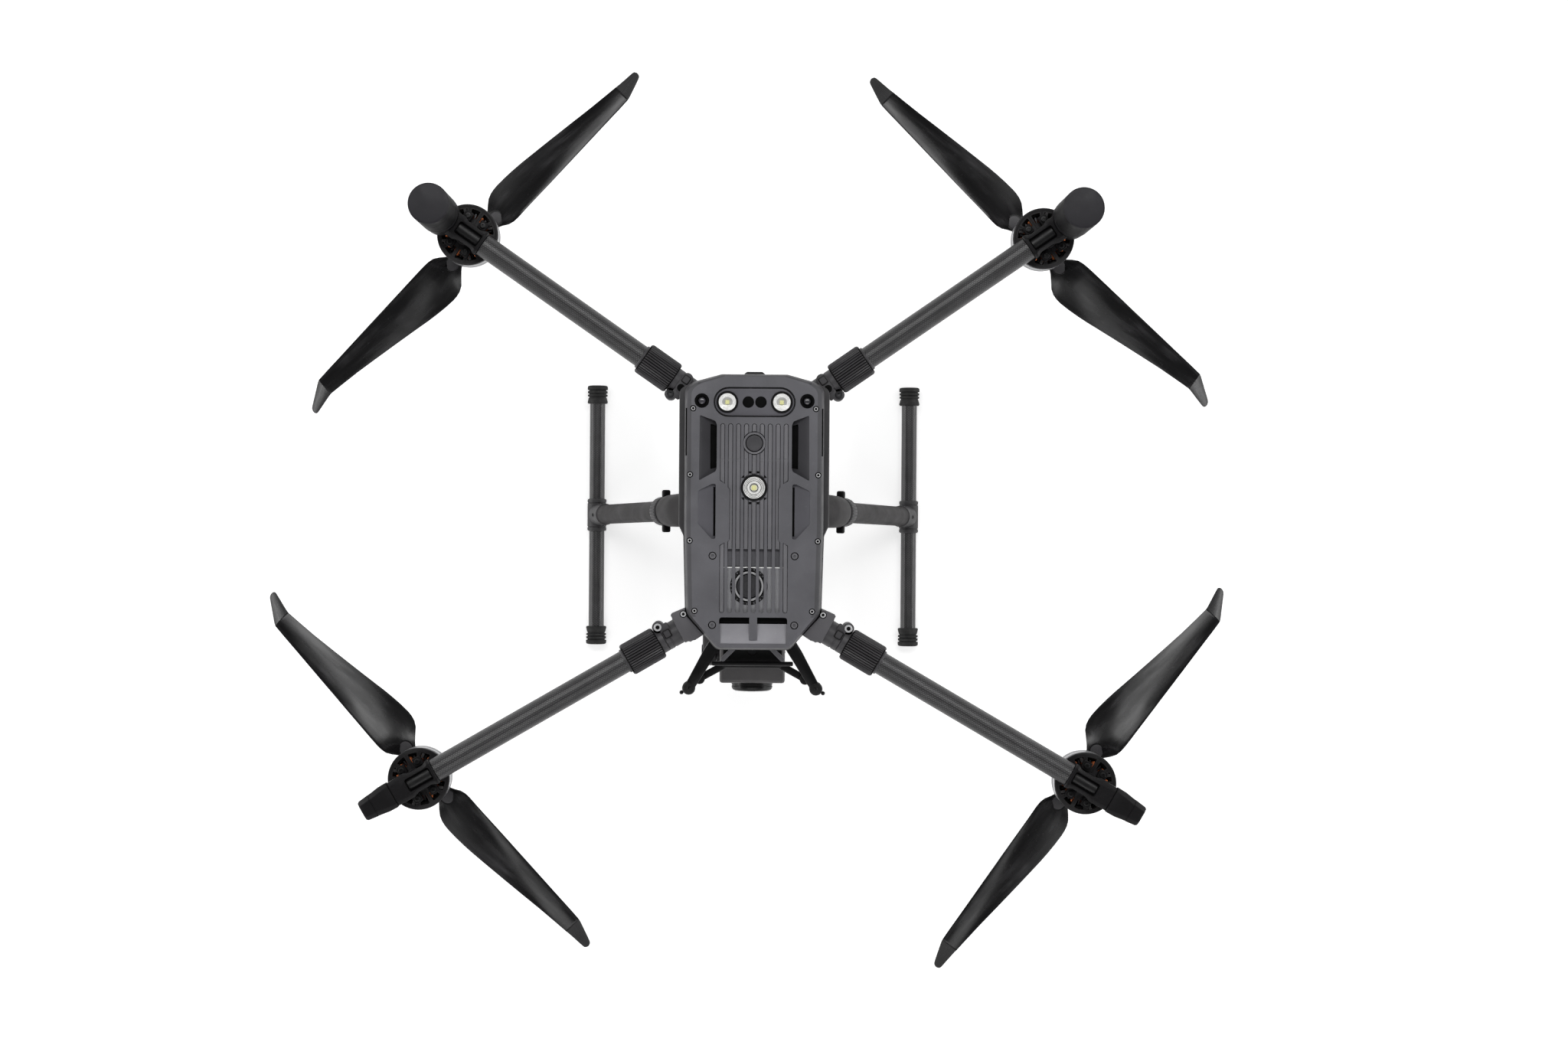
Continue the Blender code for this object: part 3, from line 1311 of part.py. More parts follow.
def bar_between(start, end, half, low, high):
    """Return a flat bar from one plan point to another, between two heights."""
    way = Vector((end[0] - start[0], end[1] - start[1])).normalized()
    left = Vector((-way.y, way.x)) * half
    a = Vector(start)
    b = Vector(end)
    return prism([tuple(a + left), tuple(a - left), tuple(b - left), tuple(b + left)], low, high)


def make_gimbal_bracket():
    """Build the nose bracket: base, struts, dampers, crossbar and the lower plate."""
    top = BELLY_Z - FIT
    base_front = STRUT_ROOT[1] - STRUT_HALF
    bracket = box((-BRACKET_BASE_HALF, base_front, BRACKET_Z), (BRACKET_BASE_HALF, BRACKET_BASE_REAR_Y, top))
    plate_top = BRACKET_Z - DAMPER_DROP + LOWER_PLATE_THICK / 2
    plate_low = plate_top - LOWER_PLATE_THICK
    pieces = [
        box(
            (-CROSSBAR_HALF_LENGTH, CROSSBAR_Y - CROSSBAR_HALF_WIDTH, BRACKET_Z),
            (CROSSBAR_HALF_LENGTH, CROSSBAR_Y + CROSSBAR_HALF_WIDTH, BRACKET_Z + STRUT_DEPTH - 0.001),
        ),
        box(
            (-LOWER_PLATE_HALF, LOWER_PLATE_FRONT_Y, plate_low),
            (LOWER_PLATE_HALF, LOWER_PLATE_REAR_Y, plate_top),
        ),
    ]
    for side in (-1, 1):
        root = (side * (BRACKET_BASE_HALF - STRUT_HALF), STRUT_ROOT[1] + 0.012)
        knee = (side * STRUT_ROOT[0], STRUT_ROOT[1])
        tip = (side * STRUT_TIP[0], STRUT_TIP[1])
        pieces.append(bar_between(root, knee, STRUT_HALF, BRACKET_Z, BRACKET_Z + STRUT_DEPTH + 0.001))
        pieces.append(bar_between(root, tip, STRUT_HALF, BRACKET_Z, BRACKET_Z + STRUT_DEPTH))
        place = Matrix.Translation((*tip, 0))
        pieces.append(drum(
            DAMPER_RADIUS,
            BRACKET_Z - DAMPER_DROP,
            BRACKET_Z + STRUT_DEPTH + 0.0015,
            PIN_SIDES,
            place,
        ))
        lower = (side * LOWER_TIP[0], LOWER_TIP[1])
        inner = (side * (LOWER_PLATE_HALF - STRUT_HALF), LOWER_PLATE_FRONT_Y + STRUT_HALF)
        pieces.append(bar_between(inner, lower, STRUT_HALF * 0.8, plate_low, plate_top - 0.001))
        pieces.append(bar_between(lower, tip, STRUT_HALF * 0.5, plate_low + 0.001, plate_top - 0.002))
        place = Matrix.Translation((*lower, 0))
        pieces.append(drum(LOWER_DAMPER_RADIUS, plate_low - 0.002, BRACKET_Z - 0.001, PIN_SIDES, place))
        place = Matrix.Translation((side * POST_X, POST_Y, 0))
        pieces.append(drum(POST_RADIUS, plate_low + 0.001, BRACKET_Z + 0.002, PIN_SIDES, place))
    join(bracket, *pieces)
    place = Matrix.Translation((0, YAW_Y, 0))
    cut(bracket, drum(hole(YAW_SHAFT_RADIUS + RUN, PIN_SIDES), plate_low - 0.01, plate_top + 0.01, PIN_SIDES, place))
    part(bracket, "gimbal_bracket", "black")
    return plate_low


def make_gimbal(plate_low):
    """Build the yaw arm, the roll arm and the camera below the bracket."""
    yaw_top = plate_low - FIT
    yaw_low = yaw_top - YAW_MOTOR_HEIGHT
    yaw_pivot = empty("gimbal_yaw_axis", Matrix.Translation((0, YAW_Y, 0)))
    yaw_arm = drum(YAW_RADIUS, yaw_low, yaw_top, FINE_SIDES)
    back = YAW_BACK_Y - YAW_Y
    roll_front = back - YAW_BAR_THICK - ROLL_MOTOR_LENGTH
    roll_place = Matrix.Translation((0, 0, CAMERA_AXIS_Z)) @ ALONG_Y
    join(
        yaw_arm,
        drum(YAW_SHAFT_RADIUS, yaw_top - 0.002, yaw_top + LOWER_PLATE_THICK, PIN_SIDES),
        box((-YAW_BAR_HALF, 0, yaw_low), (YAW_BAR_HALF, back, yaw_low + YAW_BAR_THICK)),
        box(
            (-YAW_BAR_HALF, back - YAW_BAR_THICK, CAMERA_AXIS_Z - YAW_BAR_HALF),
            (YAW_BAR_HALF, back, yaw_low + YAW_BAR_THICK / 2),
        ),
        drum(ROLL_RADIUS, roll_front, back - YAW_BAR_THICK / 2, SIDES, roll_place),
    )
    cut(yaw_arm, drum(hole(YAW_SHAFT_RADIUS + RUN, PIN_SIDES), roll_front - 0.01, roll_front + 0.006, PIN_SIDES, roll_place))
    part(yaw_arm, "gimbal_yaw_arm", "black", yaw_pivot, Matrix.Identity(4))

    axis = Vector((0, CAMERA_AXIS_Y - YAW_Y, CAMERA_AXIS_Z))
    roll_pivot = empty("gimbal_roll_axis", Matrix.Translation(axis), yaw_pivot)
    disc_back = roll_front - axis.y - FIT
    disc_front = disc_back - ROLL_DISC_LENGTH
    plate_front = disc_front - ROLL_PLATE_THICK
    roll_arm = drum(ROLL_RADIUS, disc_front - 0.002, disc_back, SIDES, ALONG_Y)
    side_low = ROLL_SIDE_X - YAW_BAR_THICK
    join(
        roll_arm,
        drum(YAW_SHAFT_RADIUS, disc_back - 0.002, disc_back + 0.005, PIN_SIDES, ALONG_Y),
        box((side_low, plate_front, -ROLL_BAR_HALF), (ROLL_RADIUS, disc_front, ROLL_BAR_HALF)),
        box((side_low, -ROLL_BAR_HALF, -ROLL_BAR_HALF), (ROLL_SIDE_X, disc_front, ROLL_BAR_HALF)),
        drum(PITCH_RADIUS, ROLL_SIDE_X - YAW_BAR_THICK / 2, ROLL_SIDE_X + PITCH_MOTOR_LENGTH, SIDES, ALONG_X),
    )
    pitch_face = ROLL_SIDE_X + PITCH_MOTOR_LENGTH
    cut(roll_arm, drum(hole(YAW_SHAFT_RADIUS + RUN, PIN_SIDES), pitch_face - 0.006, pitch_face + 0.01, PIN_SIDES, ALONG_X))
    part(roll_arm, "gimbal_roll_arm", "black", roll_pivot, Matrix.Identity(4))

    camera = bevelled(
        box(
            (-CAMERA_HALF_WIDTH, -CAMERA_HALF_DEPTH, -CAMERA_HALF_HEIGHT),
            (CAMERA_HALF_WIDTH, CAMERA_HALF_DEPTH, CAMERA_HALF_HEIGHT),
        ),
        CAMERA_BEVEL,
        2,
    )
    lens_front = -CAMERA_HALF_DEPTH - LENS_LENGTH
    join(
        camera,
        drum(LENS_RADIUS, lens_front, -CAMERA_HALF_DEPTH + 0.004, FINE_SIDES, ALONG_Y),
        drum(PITCH_HUB_RADIUS, pitch_face + FIT, -CAMERA_HALF_WIDTH + 0.003, SIDES, ALONG_X),
        drum(YAW_SHAFT_RADIUS, pitch_face - 0.005, pitch_face + 0.002, PIN_SIDES, ALONG_X),
    )
    cut(camera, drum(LENS_BORE_RADIUS, lens_front - 0.01, lens_front + LENS_BORE_DEPTH, FINE_SIDES, ALONG_Y))
    part(camera, "camera", "black", roll_pivot, Matrix.Identity(4))


def main():
    """Build the whole drone."""
    arms = [Arm(end, side) for end in ("rear", "front") for side in (-1, 1)]
    make_upper_cover()
    make_lamp_panel()
    make_beacon_lamp()
    make_power_button()
    make_heat_sink()
    make_cooling_fan()
    make_center_frame(arms)
    make_lower_tub()
    for side in (-1, 1):
        make_battery(side)
        make_leg(side)
        make_skid(side)
        make_lock_ring(side)
    make_gimbal(make_gimbal_bracket())
    for arm in arms:
        arm.build()
    for obj in PARTS.objects:
        if obj.parent is None:
            obj.location.y += FRAME_SHIFT_Y


main()
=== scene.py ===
"""Looks of a quadcopter drone: detailed pieces, finishes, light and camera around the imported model."""

import json
import logging
from collections.abc import Callable, Sequence
from dataclasses import dataclass, field
from enum import Enum
from math import atan2, cos, pi, radians, sin, sqrt, tan, tau

import bmesh
import bpy
from mathutils import Matrix, Vector

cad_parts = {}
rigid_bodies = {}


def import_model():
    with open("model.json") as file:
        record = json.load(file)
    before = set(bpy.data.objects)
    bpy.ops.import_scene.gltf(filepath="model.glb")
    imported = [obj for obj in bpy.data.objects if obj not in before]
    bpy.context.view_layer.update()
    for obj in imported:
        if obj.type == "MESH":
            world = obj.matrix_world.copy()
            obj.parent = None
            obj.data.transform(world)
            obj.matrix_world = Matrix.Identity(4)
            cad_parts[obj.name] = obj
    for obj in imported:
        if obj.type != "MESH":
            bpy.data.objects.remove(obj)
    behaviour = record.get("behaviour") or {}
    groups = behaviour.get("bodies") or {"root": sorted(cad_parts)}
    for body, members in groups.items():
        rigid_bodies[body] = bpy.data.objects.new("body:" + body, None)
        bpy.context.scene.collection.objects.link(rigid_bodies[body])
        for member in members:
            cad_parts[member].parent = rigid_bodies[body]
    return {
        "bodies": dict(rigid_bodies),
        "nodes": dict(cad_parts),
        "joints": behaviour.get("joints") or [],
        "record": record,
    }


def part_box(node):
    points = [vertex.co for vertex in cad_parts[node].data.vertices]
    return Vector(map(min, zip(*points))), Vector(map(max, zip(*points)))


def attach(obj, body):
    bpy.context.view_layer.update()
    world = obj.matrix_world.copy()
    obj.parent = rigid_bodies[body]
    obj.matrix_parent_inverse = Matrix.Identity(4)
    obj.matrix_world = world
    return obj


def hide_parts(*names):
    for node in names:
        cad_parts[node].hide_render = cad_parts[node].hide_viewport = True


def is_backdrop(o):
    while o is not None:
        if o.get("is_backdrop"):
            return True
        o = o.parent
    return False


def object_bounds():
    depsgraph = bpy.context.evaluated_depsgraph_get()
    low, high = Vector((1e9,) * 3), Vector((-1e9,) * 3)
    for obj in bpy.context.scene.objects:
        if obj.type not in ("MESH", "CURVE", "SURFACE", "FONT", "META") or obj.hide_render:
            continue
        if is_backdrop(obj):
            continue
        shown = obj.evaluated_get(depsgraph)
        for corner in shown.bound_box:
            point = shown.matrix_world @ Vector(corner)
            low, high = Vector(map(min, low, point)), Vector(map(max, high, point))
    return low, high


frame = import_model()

LOG = logging.getLogger("drone")
CAD_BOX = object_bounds()

Pair = tuple[float, float]
Point = tuple[float, float, float]
Plan = list[Pair]
Colour = Point

# Pieces are drawn in millimetres about the fuselage's middle. The model is in metres, a little further back.
MM = 0.001
TO_MODEL = Matrix.Translation((0.0, 0.005, 0.0)) @ Matrix.Scale(MM, 4)
ALONG_X = Matrix(((0, 0, 1, 0), (1, 0, 0, 0), (0, 1, 0, 0), (0, 0, 0, 1)))
ALONG_Y = Matrix.Rotation(-pi / 2, 4, "X")
FLIP = Matrix.Rotation(pi, 4, "X")
CORNERS = [(x, y) for x in (-1, 1) for y in (-1, 1)]
# Facets round an axis, degrees up to which an edge is smooth, and the length of cutters beyond a face.
SIDES = 48
SMOOTH = 32.0
PAST = 10.0
# Gaps of fixed and of running fits, and the width of the cracks that are welded.
FIT = 0.3
RUN = 0.4
WELD = 0.004


class Slot(Enum):
    """Material slots of the record."""

    COVER = "cover"
    SHELL = "dark_shell"
    BLACK = "black_plastic"
    CARBON = "carbon"
    BLADE = "blade"
    RUBBER = "rubber"
    MOTOR = "motor_metal"
    SINK = "sink_metal"
    LENS = "lens"


class End(Enum):
    """The two ends of the fuselage that carry arms."""

    REAR = "rear"
    FRONT = "front"


# Outlines and frames


def both_sides(half: Plan) -> Plan:
    """Return a closed outline from its right half, listed from tail to nose."""
    return list(half) + [(-x, y) for x, y in reversed(half)]


def arc(radius: float, steps: int, centre: Pair, start: float, turn: float) -> Plan:
    """Return the points of an arc.

    Args:
        radius: Radius of the arc.
        steps: Number of chords.
        centre: Middle of the arc.
        start: First angle.
        turn: Signed angle from the first to the last point.

    Returns:
        The points, both ends included.
    """
    angles = [start + turn * i / steps for i in range(steps + 1)]
    return [(centre[0] + radius * cos(a), centre[1] + radius * sin(a)) for a in angles]


def oblong(half_length: float, radius: float, steps: int = 14) -> Plan:
    """Return a slot outline along X with round ends."""
    reach = half_length - radius
    right = arc(radius, steps, (reach, 0.0), -pi / 2, pi)
    return right + arc(radius, steps, (-reach, 0.0), pi / 2, pi)


def fillet(points: Plan, radius: float | Sequence[float], steps: int = 5) -> Plan:
    """Round the corners of a closed outline.

    Args:
        points: Corners in order.
        radius: One radius, or one for each corner.
        steps: Number of chords in each corner.

    Returns:
        The rounded outline.
    """
    rounded: Plan = []
    count = len(points)
    for i, corner in enumerate(points):
        size = radius[i] if isinstance(radius, (list, tuple)) else radius
        p = Vector(corner)
        back = Vector(points[i - 1]) - p
        ahead = Vector(points[(i + 1) % count]) - p
        angle = back.angle(ahead)
        if size <= 0 or angle > pi - 0.02:
            rounded.append(tuple(p))
            continue
        trim = min(size / tan(angle / 2), 0.48 * back.length, 0.48 * ahead.length)
        first = p + back.normalized() * trim
        last = p + ahead.normalized() * trim
        for k in range(steps + 1):
            t = k / steps
            rounded.append(tuple(first * (1 - t) ** 2 + p * (2 * t * (1 - t)) + last * t * t))
    return rounded


def block_plan(half_x: float, half_y: float, radius: float, steps: int = 5) -> Plan:
    """Return a rectangle about the origin with round corners."""
    corners = [(half_x, -half_y), (half_x, half_y), (-half_x, half_y), (-half_x, -half_y)]
    return fillet(corners, radius, steps)


def chamfered(half_x: float, half_y: float, cut: float, radius: float, steps: int) -> Plan:
    """Return a rectangle about the origin whose corners are cut and then rounded."""
    right = [
        (half_x - cut, -half_y), (half_x, -half_y + cut), (half_x, half_y - cut), (half_x - cut, half_y)
    ]
    return fillet(right + [(-x, -y) for x, y in right], radius, steps)


def moved(plan: Plan, x: float, y: float) -> Plan:
    """Return a moved outline."""
    return [(px + x, py + y) for px, py in plan]


def along(start: Vector, end: Vector) -> Matrix:
    """Return the frame at start whose Z axis points to end."""
    way = end - start
    return Matrix.Translation(start) @ way.to_track_quat("Z", "Y").to_matrix().to_4x4()


def at(x: float, y: float, z: float = 0.0) -> Matrix:
    """Return a plain move."""
    return Matrix.Translation((x, y, z))


def turned(angle: float, axis: str = "Z") -> Matrix:
    """Return a turn about one axis."""
    return Matrix.Rotation(angle, 4, axis)


def around(count: int, offset: float = 0.0) -> list[Matrix]:
    """Return even turns about Z, started by a share of one step."""
    return [turned(tau * (i + offset) / count) for i in range(count)]


def mirrored(plan: Plan, side: int) -> Plan:
    """Return an outline of the right side, or its mirror image on the left."""
    return [(side * x, y) for x, y in plan]


def show(obj: bpy.types.Object) -> None:
    """Put an object in the scene."""
    bpy.context.scene.collection.objects.link(obj)


# Solids


class Solid:
    """A closed mesh under construction, in the drawing frame."""

    def __init__(self, bm: bmesh.types.BMesh, place: Matrix | None = None) -> None:
        """Take over a bmesh, with its faces turned outward.

        Args:
            bm: The shape, which is freed.
            place: Where the shape goes.
        """
        bmesh.ops.recalc_face_normals(bm, faces=bm.faces)
        if place is not None:
            bm.transform(place)
            if place.determinant() < 0:
                bmesh.ops.reverse_faces(bm, faces=bm.faces)
        self.mesh = bpy.data.meshes.new("work")
        bm.to_mesh(self.mesh)
        bm.free()

    def combined(self, tools: Sequence["Solid"], operation: str) -> "Solid":
        """Apply one exact Boolean for each tool and return the same solid."""
        host = bpy.data.objects.new("host", self.mesh)
        others = [bpy.data.objects.new("tool", tool.mesh) for tool in tools]
        for obj in (host, *others):
            show(obj)
        for other in others:
            change = host.modifiers.new("change", "BOOLEAN")
            change.operation = operation
            change.solver = "EXACT"
            change.object = other
        graph = bpy.context.evaluated_depsgraph_get()
        self.mesh = bpy.data.meshes.new_from_object(host.evaluated_get(graph))
        for obj in (host, *others):
            bpy.data.objects.remove(obj, do_unlink=True)
        return self.weld()

    def weld(self) -> "Solid":
        """Close the hairline cracks that a Boolean leaves where cuts meet."""
        bm = bmesh.new()
        bm.from_mesh(self.mesh)
        bmesh.ops.remove_doubles(bm, verts=bm.verts, dist=WELD)
        bmesh.ops.dissolve_degenerate(bm, dist=WELD, edges=bm.edges)
        bmesh.ops.delete(bm, geom=[edge for edge in bm.edges if edge.is_wire], context="EDGES")
        rims = [edge for edge in bm.edges if edge.is_boundary]
        if rims:
            bmesh.ops.holes_fill(bm, edges=rims, sides=4)
            bmesh.ops.recalc_face_normals(bm, faces=bm.faces)
        bm.to_mesh(self.mesh)
        bm.free()
        return self

    def cut(self, *tools: "Solid") -> "Solid":
        """Cut the tools out of this solid."""
        return self.combined(tools, "DIFFERENCE")

    def join(self, *tools: "Solid") -> "Solid":
        """Unite the tools with this solid."""
        return self.combined(tools, "UNION")

    def moved(self, place: Matrix) -> "Solid":
        """Move this solid."""
        self.mesh.transform(place)
        if place.determinant() < 0:
            self.mesh.flip_normals()
        return self


def loft(
    rings: Sequence[Sequence], place: Matrix | None = None, closed: bool = False, weave: bool = False
) -> Solid:
    """Return a solid through rings of points.

    Args:
        rings: Rings of 3-D points, each with the same count.
        place: Where the solid goes.
        closed: True if the last ring joins the first, as in a hollow sleeve.
        weave: True if the side faces get a map in metres for a woven finish.

    Returns:
        The solid.
    """
    bm = bmesh.new()
    uv = bm.loops.layers.uv.new("weave") if weave else None
    rows = [[bm.verts.new(point) for point in ring] for ring in rings]
    count = len(rows[0])
    lengths = [0.0]
    for lower, upper in zip(rings, rings[1:]):
        middle_a = sum((Vector(p) for p in lower), Vector()) / count
        middle_b = sum((Vector(p) for p in upper), Vector()) / count
        lengths.append(lengths[-1] + (middle_b - middle_a).length)
    girth = max(sum((Vector(r[i]) - Vector(r[i - 1])).length for i in range(count)) for r in rings)
    pairs = list(zip(range(len(rows)), range(1, len(rows))))
    if closed:
        pairs.append((len(rows) - 1, 0))
    for a, b in pairs:
        for i in range(count):
            j = (i + 1) % count
            face = bm.faces.new((rows[a][i], rows[a][j], rows[b][j], rows[b][i]))
            if uv is not None:
                spots = ((a, i), (a, i + 1), (b, i + 1), (b, i))
                for loop, (row, step) in zip(face.loops, spots):
                    loop[uv].uv = (lengths[row] * MM, girth * step / count * MM)
    if not closed:
        bm.faces.new(rows[0])
        bm.faces.new(rows[-1])
    return Solid(bm, place)


def prism(plan: Plan, low: float, high: float, place: Matrix | None = None) -> Solid:
    """Return an outline drawn out along Z between two heights."""
    return loft([[(x, y, z) for x, y in plan] for z in (low, high)], place)


def pillow(
    plan: Plan, low: float, high: float, edge: float, place: Matrix | None = None, both: bool = True
) -> Solid:
    """Return an outline drawn out along Z with rounded end edges.

    Args:
        plan: Outline about its own middle.
        low: Lower height.
        high: Upper height.
        edge: Radius of the end edges.
        place: Where the solid goes.
        both: True if the lower edge is rounded too.

    Returns:
        The solid.
    """
    centre = sum((Vector(p) for p in plan), Vector((0, 0))) / len(plan)
    half_x = max(abs(x - centre.x) for x, _ in plan)
    half_y = max(abs(y - centre.y) for _, y in plan)
    rings = []
    steps = [(1.0, 0.0), (0.62, 0.08), (0.29, 0.29), (0.08, 0.62), (0.0, 1.0)]
    levels = [(inset, low + rise * edge) for inset, rise in steps] if both else [(0.0, low)]
    levels += [(inset, high - rise * edge) for inset, rise in reversed(steps)]
    for inset, z in levels:
        grow_x = 1 - inset * edge / half_x
        grow_y = 1 - inset * edge / half_y
        rings.append([
            (centre.x + (x - centre.x) * grow_x, centre.y + (y - centre.y) * grow_y, z) for x, y in plan
        ])
    return loft(rings, place)


def well(plan: Plan, floor: Callable[[float, float], float], top: float) -> Solid:
    """Return a cutter with a flat top and a floor whose height follows a rule."""
    return loft([[(x, y, floor(x, y)) for x, y in plan], [(x, y, top) for x, y in plan]])


def lathe(profile: Plan, place: Matrix | None = None, sides: int = SIDES, weave: bool = False) -> Solid:
    """Return a profile turned about Z.

    Args:
        profile: Points (radius, z). It runs from axis to axis, or closes on itself as a ring.
        place: Where the solid goes.
        sides: Number of facets round the axis.
        weave: True if the faces get a map in metres for a woven finish.

    Returns:
        The solid.
    """
    bm = bmesh.new()
    uv = bm.loops.layers.uv.new("weave") if weave else None
    rows = []
    for radius, z in profile:
        if radius < 1e-7:
            rows.append([bm.verts.new((0, 0, z))])
            continue
        angles = [tau * k / sides for k in range(sides)]
        rows.append([bm.verts.new((radius * cos(a), radius * sin(a), z)) for a in angles])
    girth = tau * max(radius for radius, _ in profile)
    pairs = [(i, i + 1) for i in range(len(rows) - 1)]
    if len(rows[0]) > 1 and len(rows[-1]) > 1:
        pairs.append((len(rows) - 1, 0))
    for a, b in pairs:
        for k in range(sides):
            spots = [(a, k), (a, k + 1), (b, k + 1), (b, k)]
            corners, maps = [], []
            for row, step in spots:
                vert = rows[row][step % len(rows[row])]
                if vert not in corners:
                    corners.append(vert)
                    maps.append((profile[row][1] * MM, girth * step / sides * MM))
            face = bm.faces.new(corners)
            if uv is not None:
                for loop, spot in zip(face.loops, maps):
                    loop[uv].uv = spot
    return Solid(bm, place)


def drum(
    radius: float, low: float, high: float, place: Matrix | None = None, edge: float = 0.0,
    sides: int = SIDES
) -> Solid:
    """Return a round solid about Z with rounded end edges."""
    if edge <= 0:
        return lathe([(0, high), (radius, high), (radius, low), (0, low)], place, sides)
    bend = [(1.0, 0.0), (0.5, 0.13), (0.13, 0.5), (0.0, 1.0)]
    top = [(radius - edge * a, high - edge * b) for a, b in bend]
    end = [(radius - edge * a, low + edge * b) for a, b in reversed(bend)]
    return lathe([(0, high), *top, *end, (0, low)], place, sides)


def hoop(
    inner: float, outer: float, low: float, high: float, place: Matrix | None = None, sides: int = SIDES
) -> Solid:
    """Return a plain ring about Z."""
    return lathe([(outer, low), (outer, high), (inner, high), (inner, low)], place, sides)


def block(
    first: Sequence[float], second: Sequence[float], edge: float, place: Matrix | None = None
) -> Solid:
    """Return a box between two opposite corners with all its edges rounded."""
    low = [min(pair) for pair in zip(first, second)]
    high = [max(pair) for pair in zip(first, second)]
    plan = block_plan((high[0] - low[0]) / 2, (high[1] - low[1]) / 2, edge)
    return pillow(moved(plan, (low[0] + high[0]) / 2, (low[1] + high[1]) / 2), low[2], high[2], edge, place)


class Repeater:
    """A Geometry Nodes tree that sets one item on every point of a mesh."""

    NAME = "set_items_on_points"

    @classmethod
    def tree(cls) -> bpy.types.NodeTree:
        """Return the tree, which is built once.

        Returns:
            The node tree with the named inputs Item, Item Size and Finish.
        """
        tree = bpy.data.node_groups.get(cls.NAME)
        if tree is not None:
            return tree
        tree = bpy.data.node_groups.new(cls.NAME, "GeometryNodeTree")
        tree.is_modifier = True
        inputs = {"Geometry": "Geometry", "Item": "Object", "Item Size": "Float", "Finish": "Material"}
        for name, kind in inputs.items():
            tree.interface.new_socket(name, in_out="INPUT", socket_type="NodeSocket" + kind)
        tree.interface.new_socket("Geometry", in_out="OUTPUT", socket_type="NodeSocketGeometry")
        start, end = tree.nodes.new("NodeGroupInput"), tree.nodes.new("NodeGroupOutput")
        turn = tree.nodes.new("GeometryNodeInputNamedAttribute")
        turn.data_type = "FLOAT_VECTOR"
        turn.inputs["Name"].default_value = "turn"
        spin = tree.nodes.new("FunctionNodeEulerToRotation")
        kinds = ("ObjectInfo", "InstanceOnPoints", "RealizeInstances", "SetMaterial")
        item, place, real, finish = (tree.nodes.new("GeometryNode" + kind) for kind in kinds)
        for source, name, target, entry in (
            (start, "Item", item, "Object"), (turn, "Attribute", spin, "Euler"),
            (start, "Geometry", place, "Points"), (item, "Geometry", place, "Instance"),
            (spin, "Rotation", place, "Rotation"), (start, "Item Size", place, "Scale"),
            (place, "Instances", real, "Geometry"), (real, "Geometry", finish, "Geometry"),
            (start, "Finish", finish, "Material"), (finish, "Geometry", end, "Geometry"),
        ):
            tree.links.new(source.outputs[name], target.inputs[entry])
        return tree

    @classmethod
    def spread(cls, item: Solid, places: Sequence[Matrix], finish: "Finish", size: float = 1.0) -> Solid:
        """Set an item at many places and return the result as one plain solid.

        Args:
            item: The repeated shape, about its own origin.
            places: One frame for each copy.
            finish: Material of the copies.
            size: Scale of the item.

        Returns:
            The copies as one mesh.
        """
        item.mesh.shade_smooth()
        item.mesh.set_sharp_from_angle(angle=radians(SMOOTH))
        points = bpy.data.meshes.new("points")
        points.from_pydata([tuple(place.translation) for place in places], [], [])
        turn = points.attributes.new("turn", "FLOAT_VECTOR", "POINT")
        turn.data.foreach_set("vector", [c for place in places for c in place.to_euler()])
        host = bpy.data.objects.new("points", points)
        unit = bpy.data.objects.new("item", item.mesh)
        for obj in (host, unit):
            show(obj)
        tree = cls.tree()
        change = host.modifiers.new("items", "NODES")
        change.node_group = tree
        values = {"Item": unit, "Item Size": size, "Finish": finish.material()}
        for socket in tree.interface.items_tree:
            if socket.in_out == "INPUT" and socket.name in values:
                change[socket.identifier] = values[socket.name]
        graph = bpy.context.evaluated_depsgraph_get()
        made = object.__new__(Solid)
        made.mesh = bpy.data.meshes.new_from_object(host.evaluated_get(graph))
        host.modifiers.clear()
        for obj in (host, unit):
            bpy.data.objects.remove(obj, do_unlink=True)
        return made


# Finishes


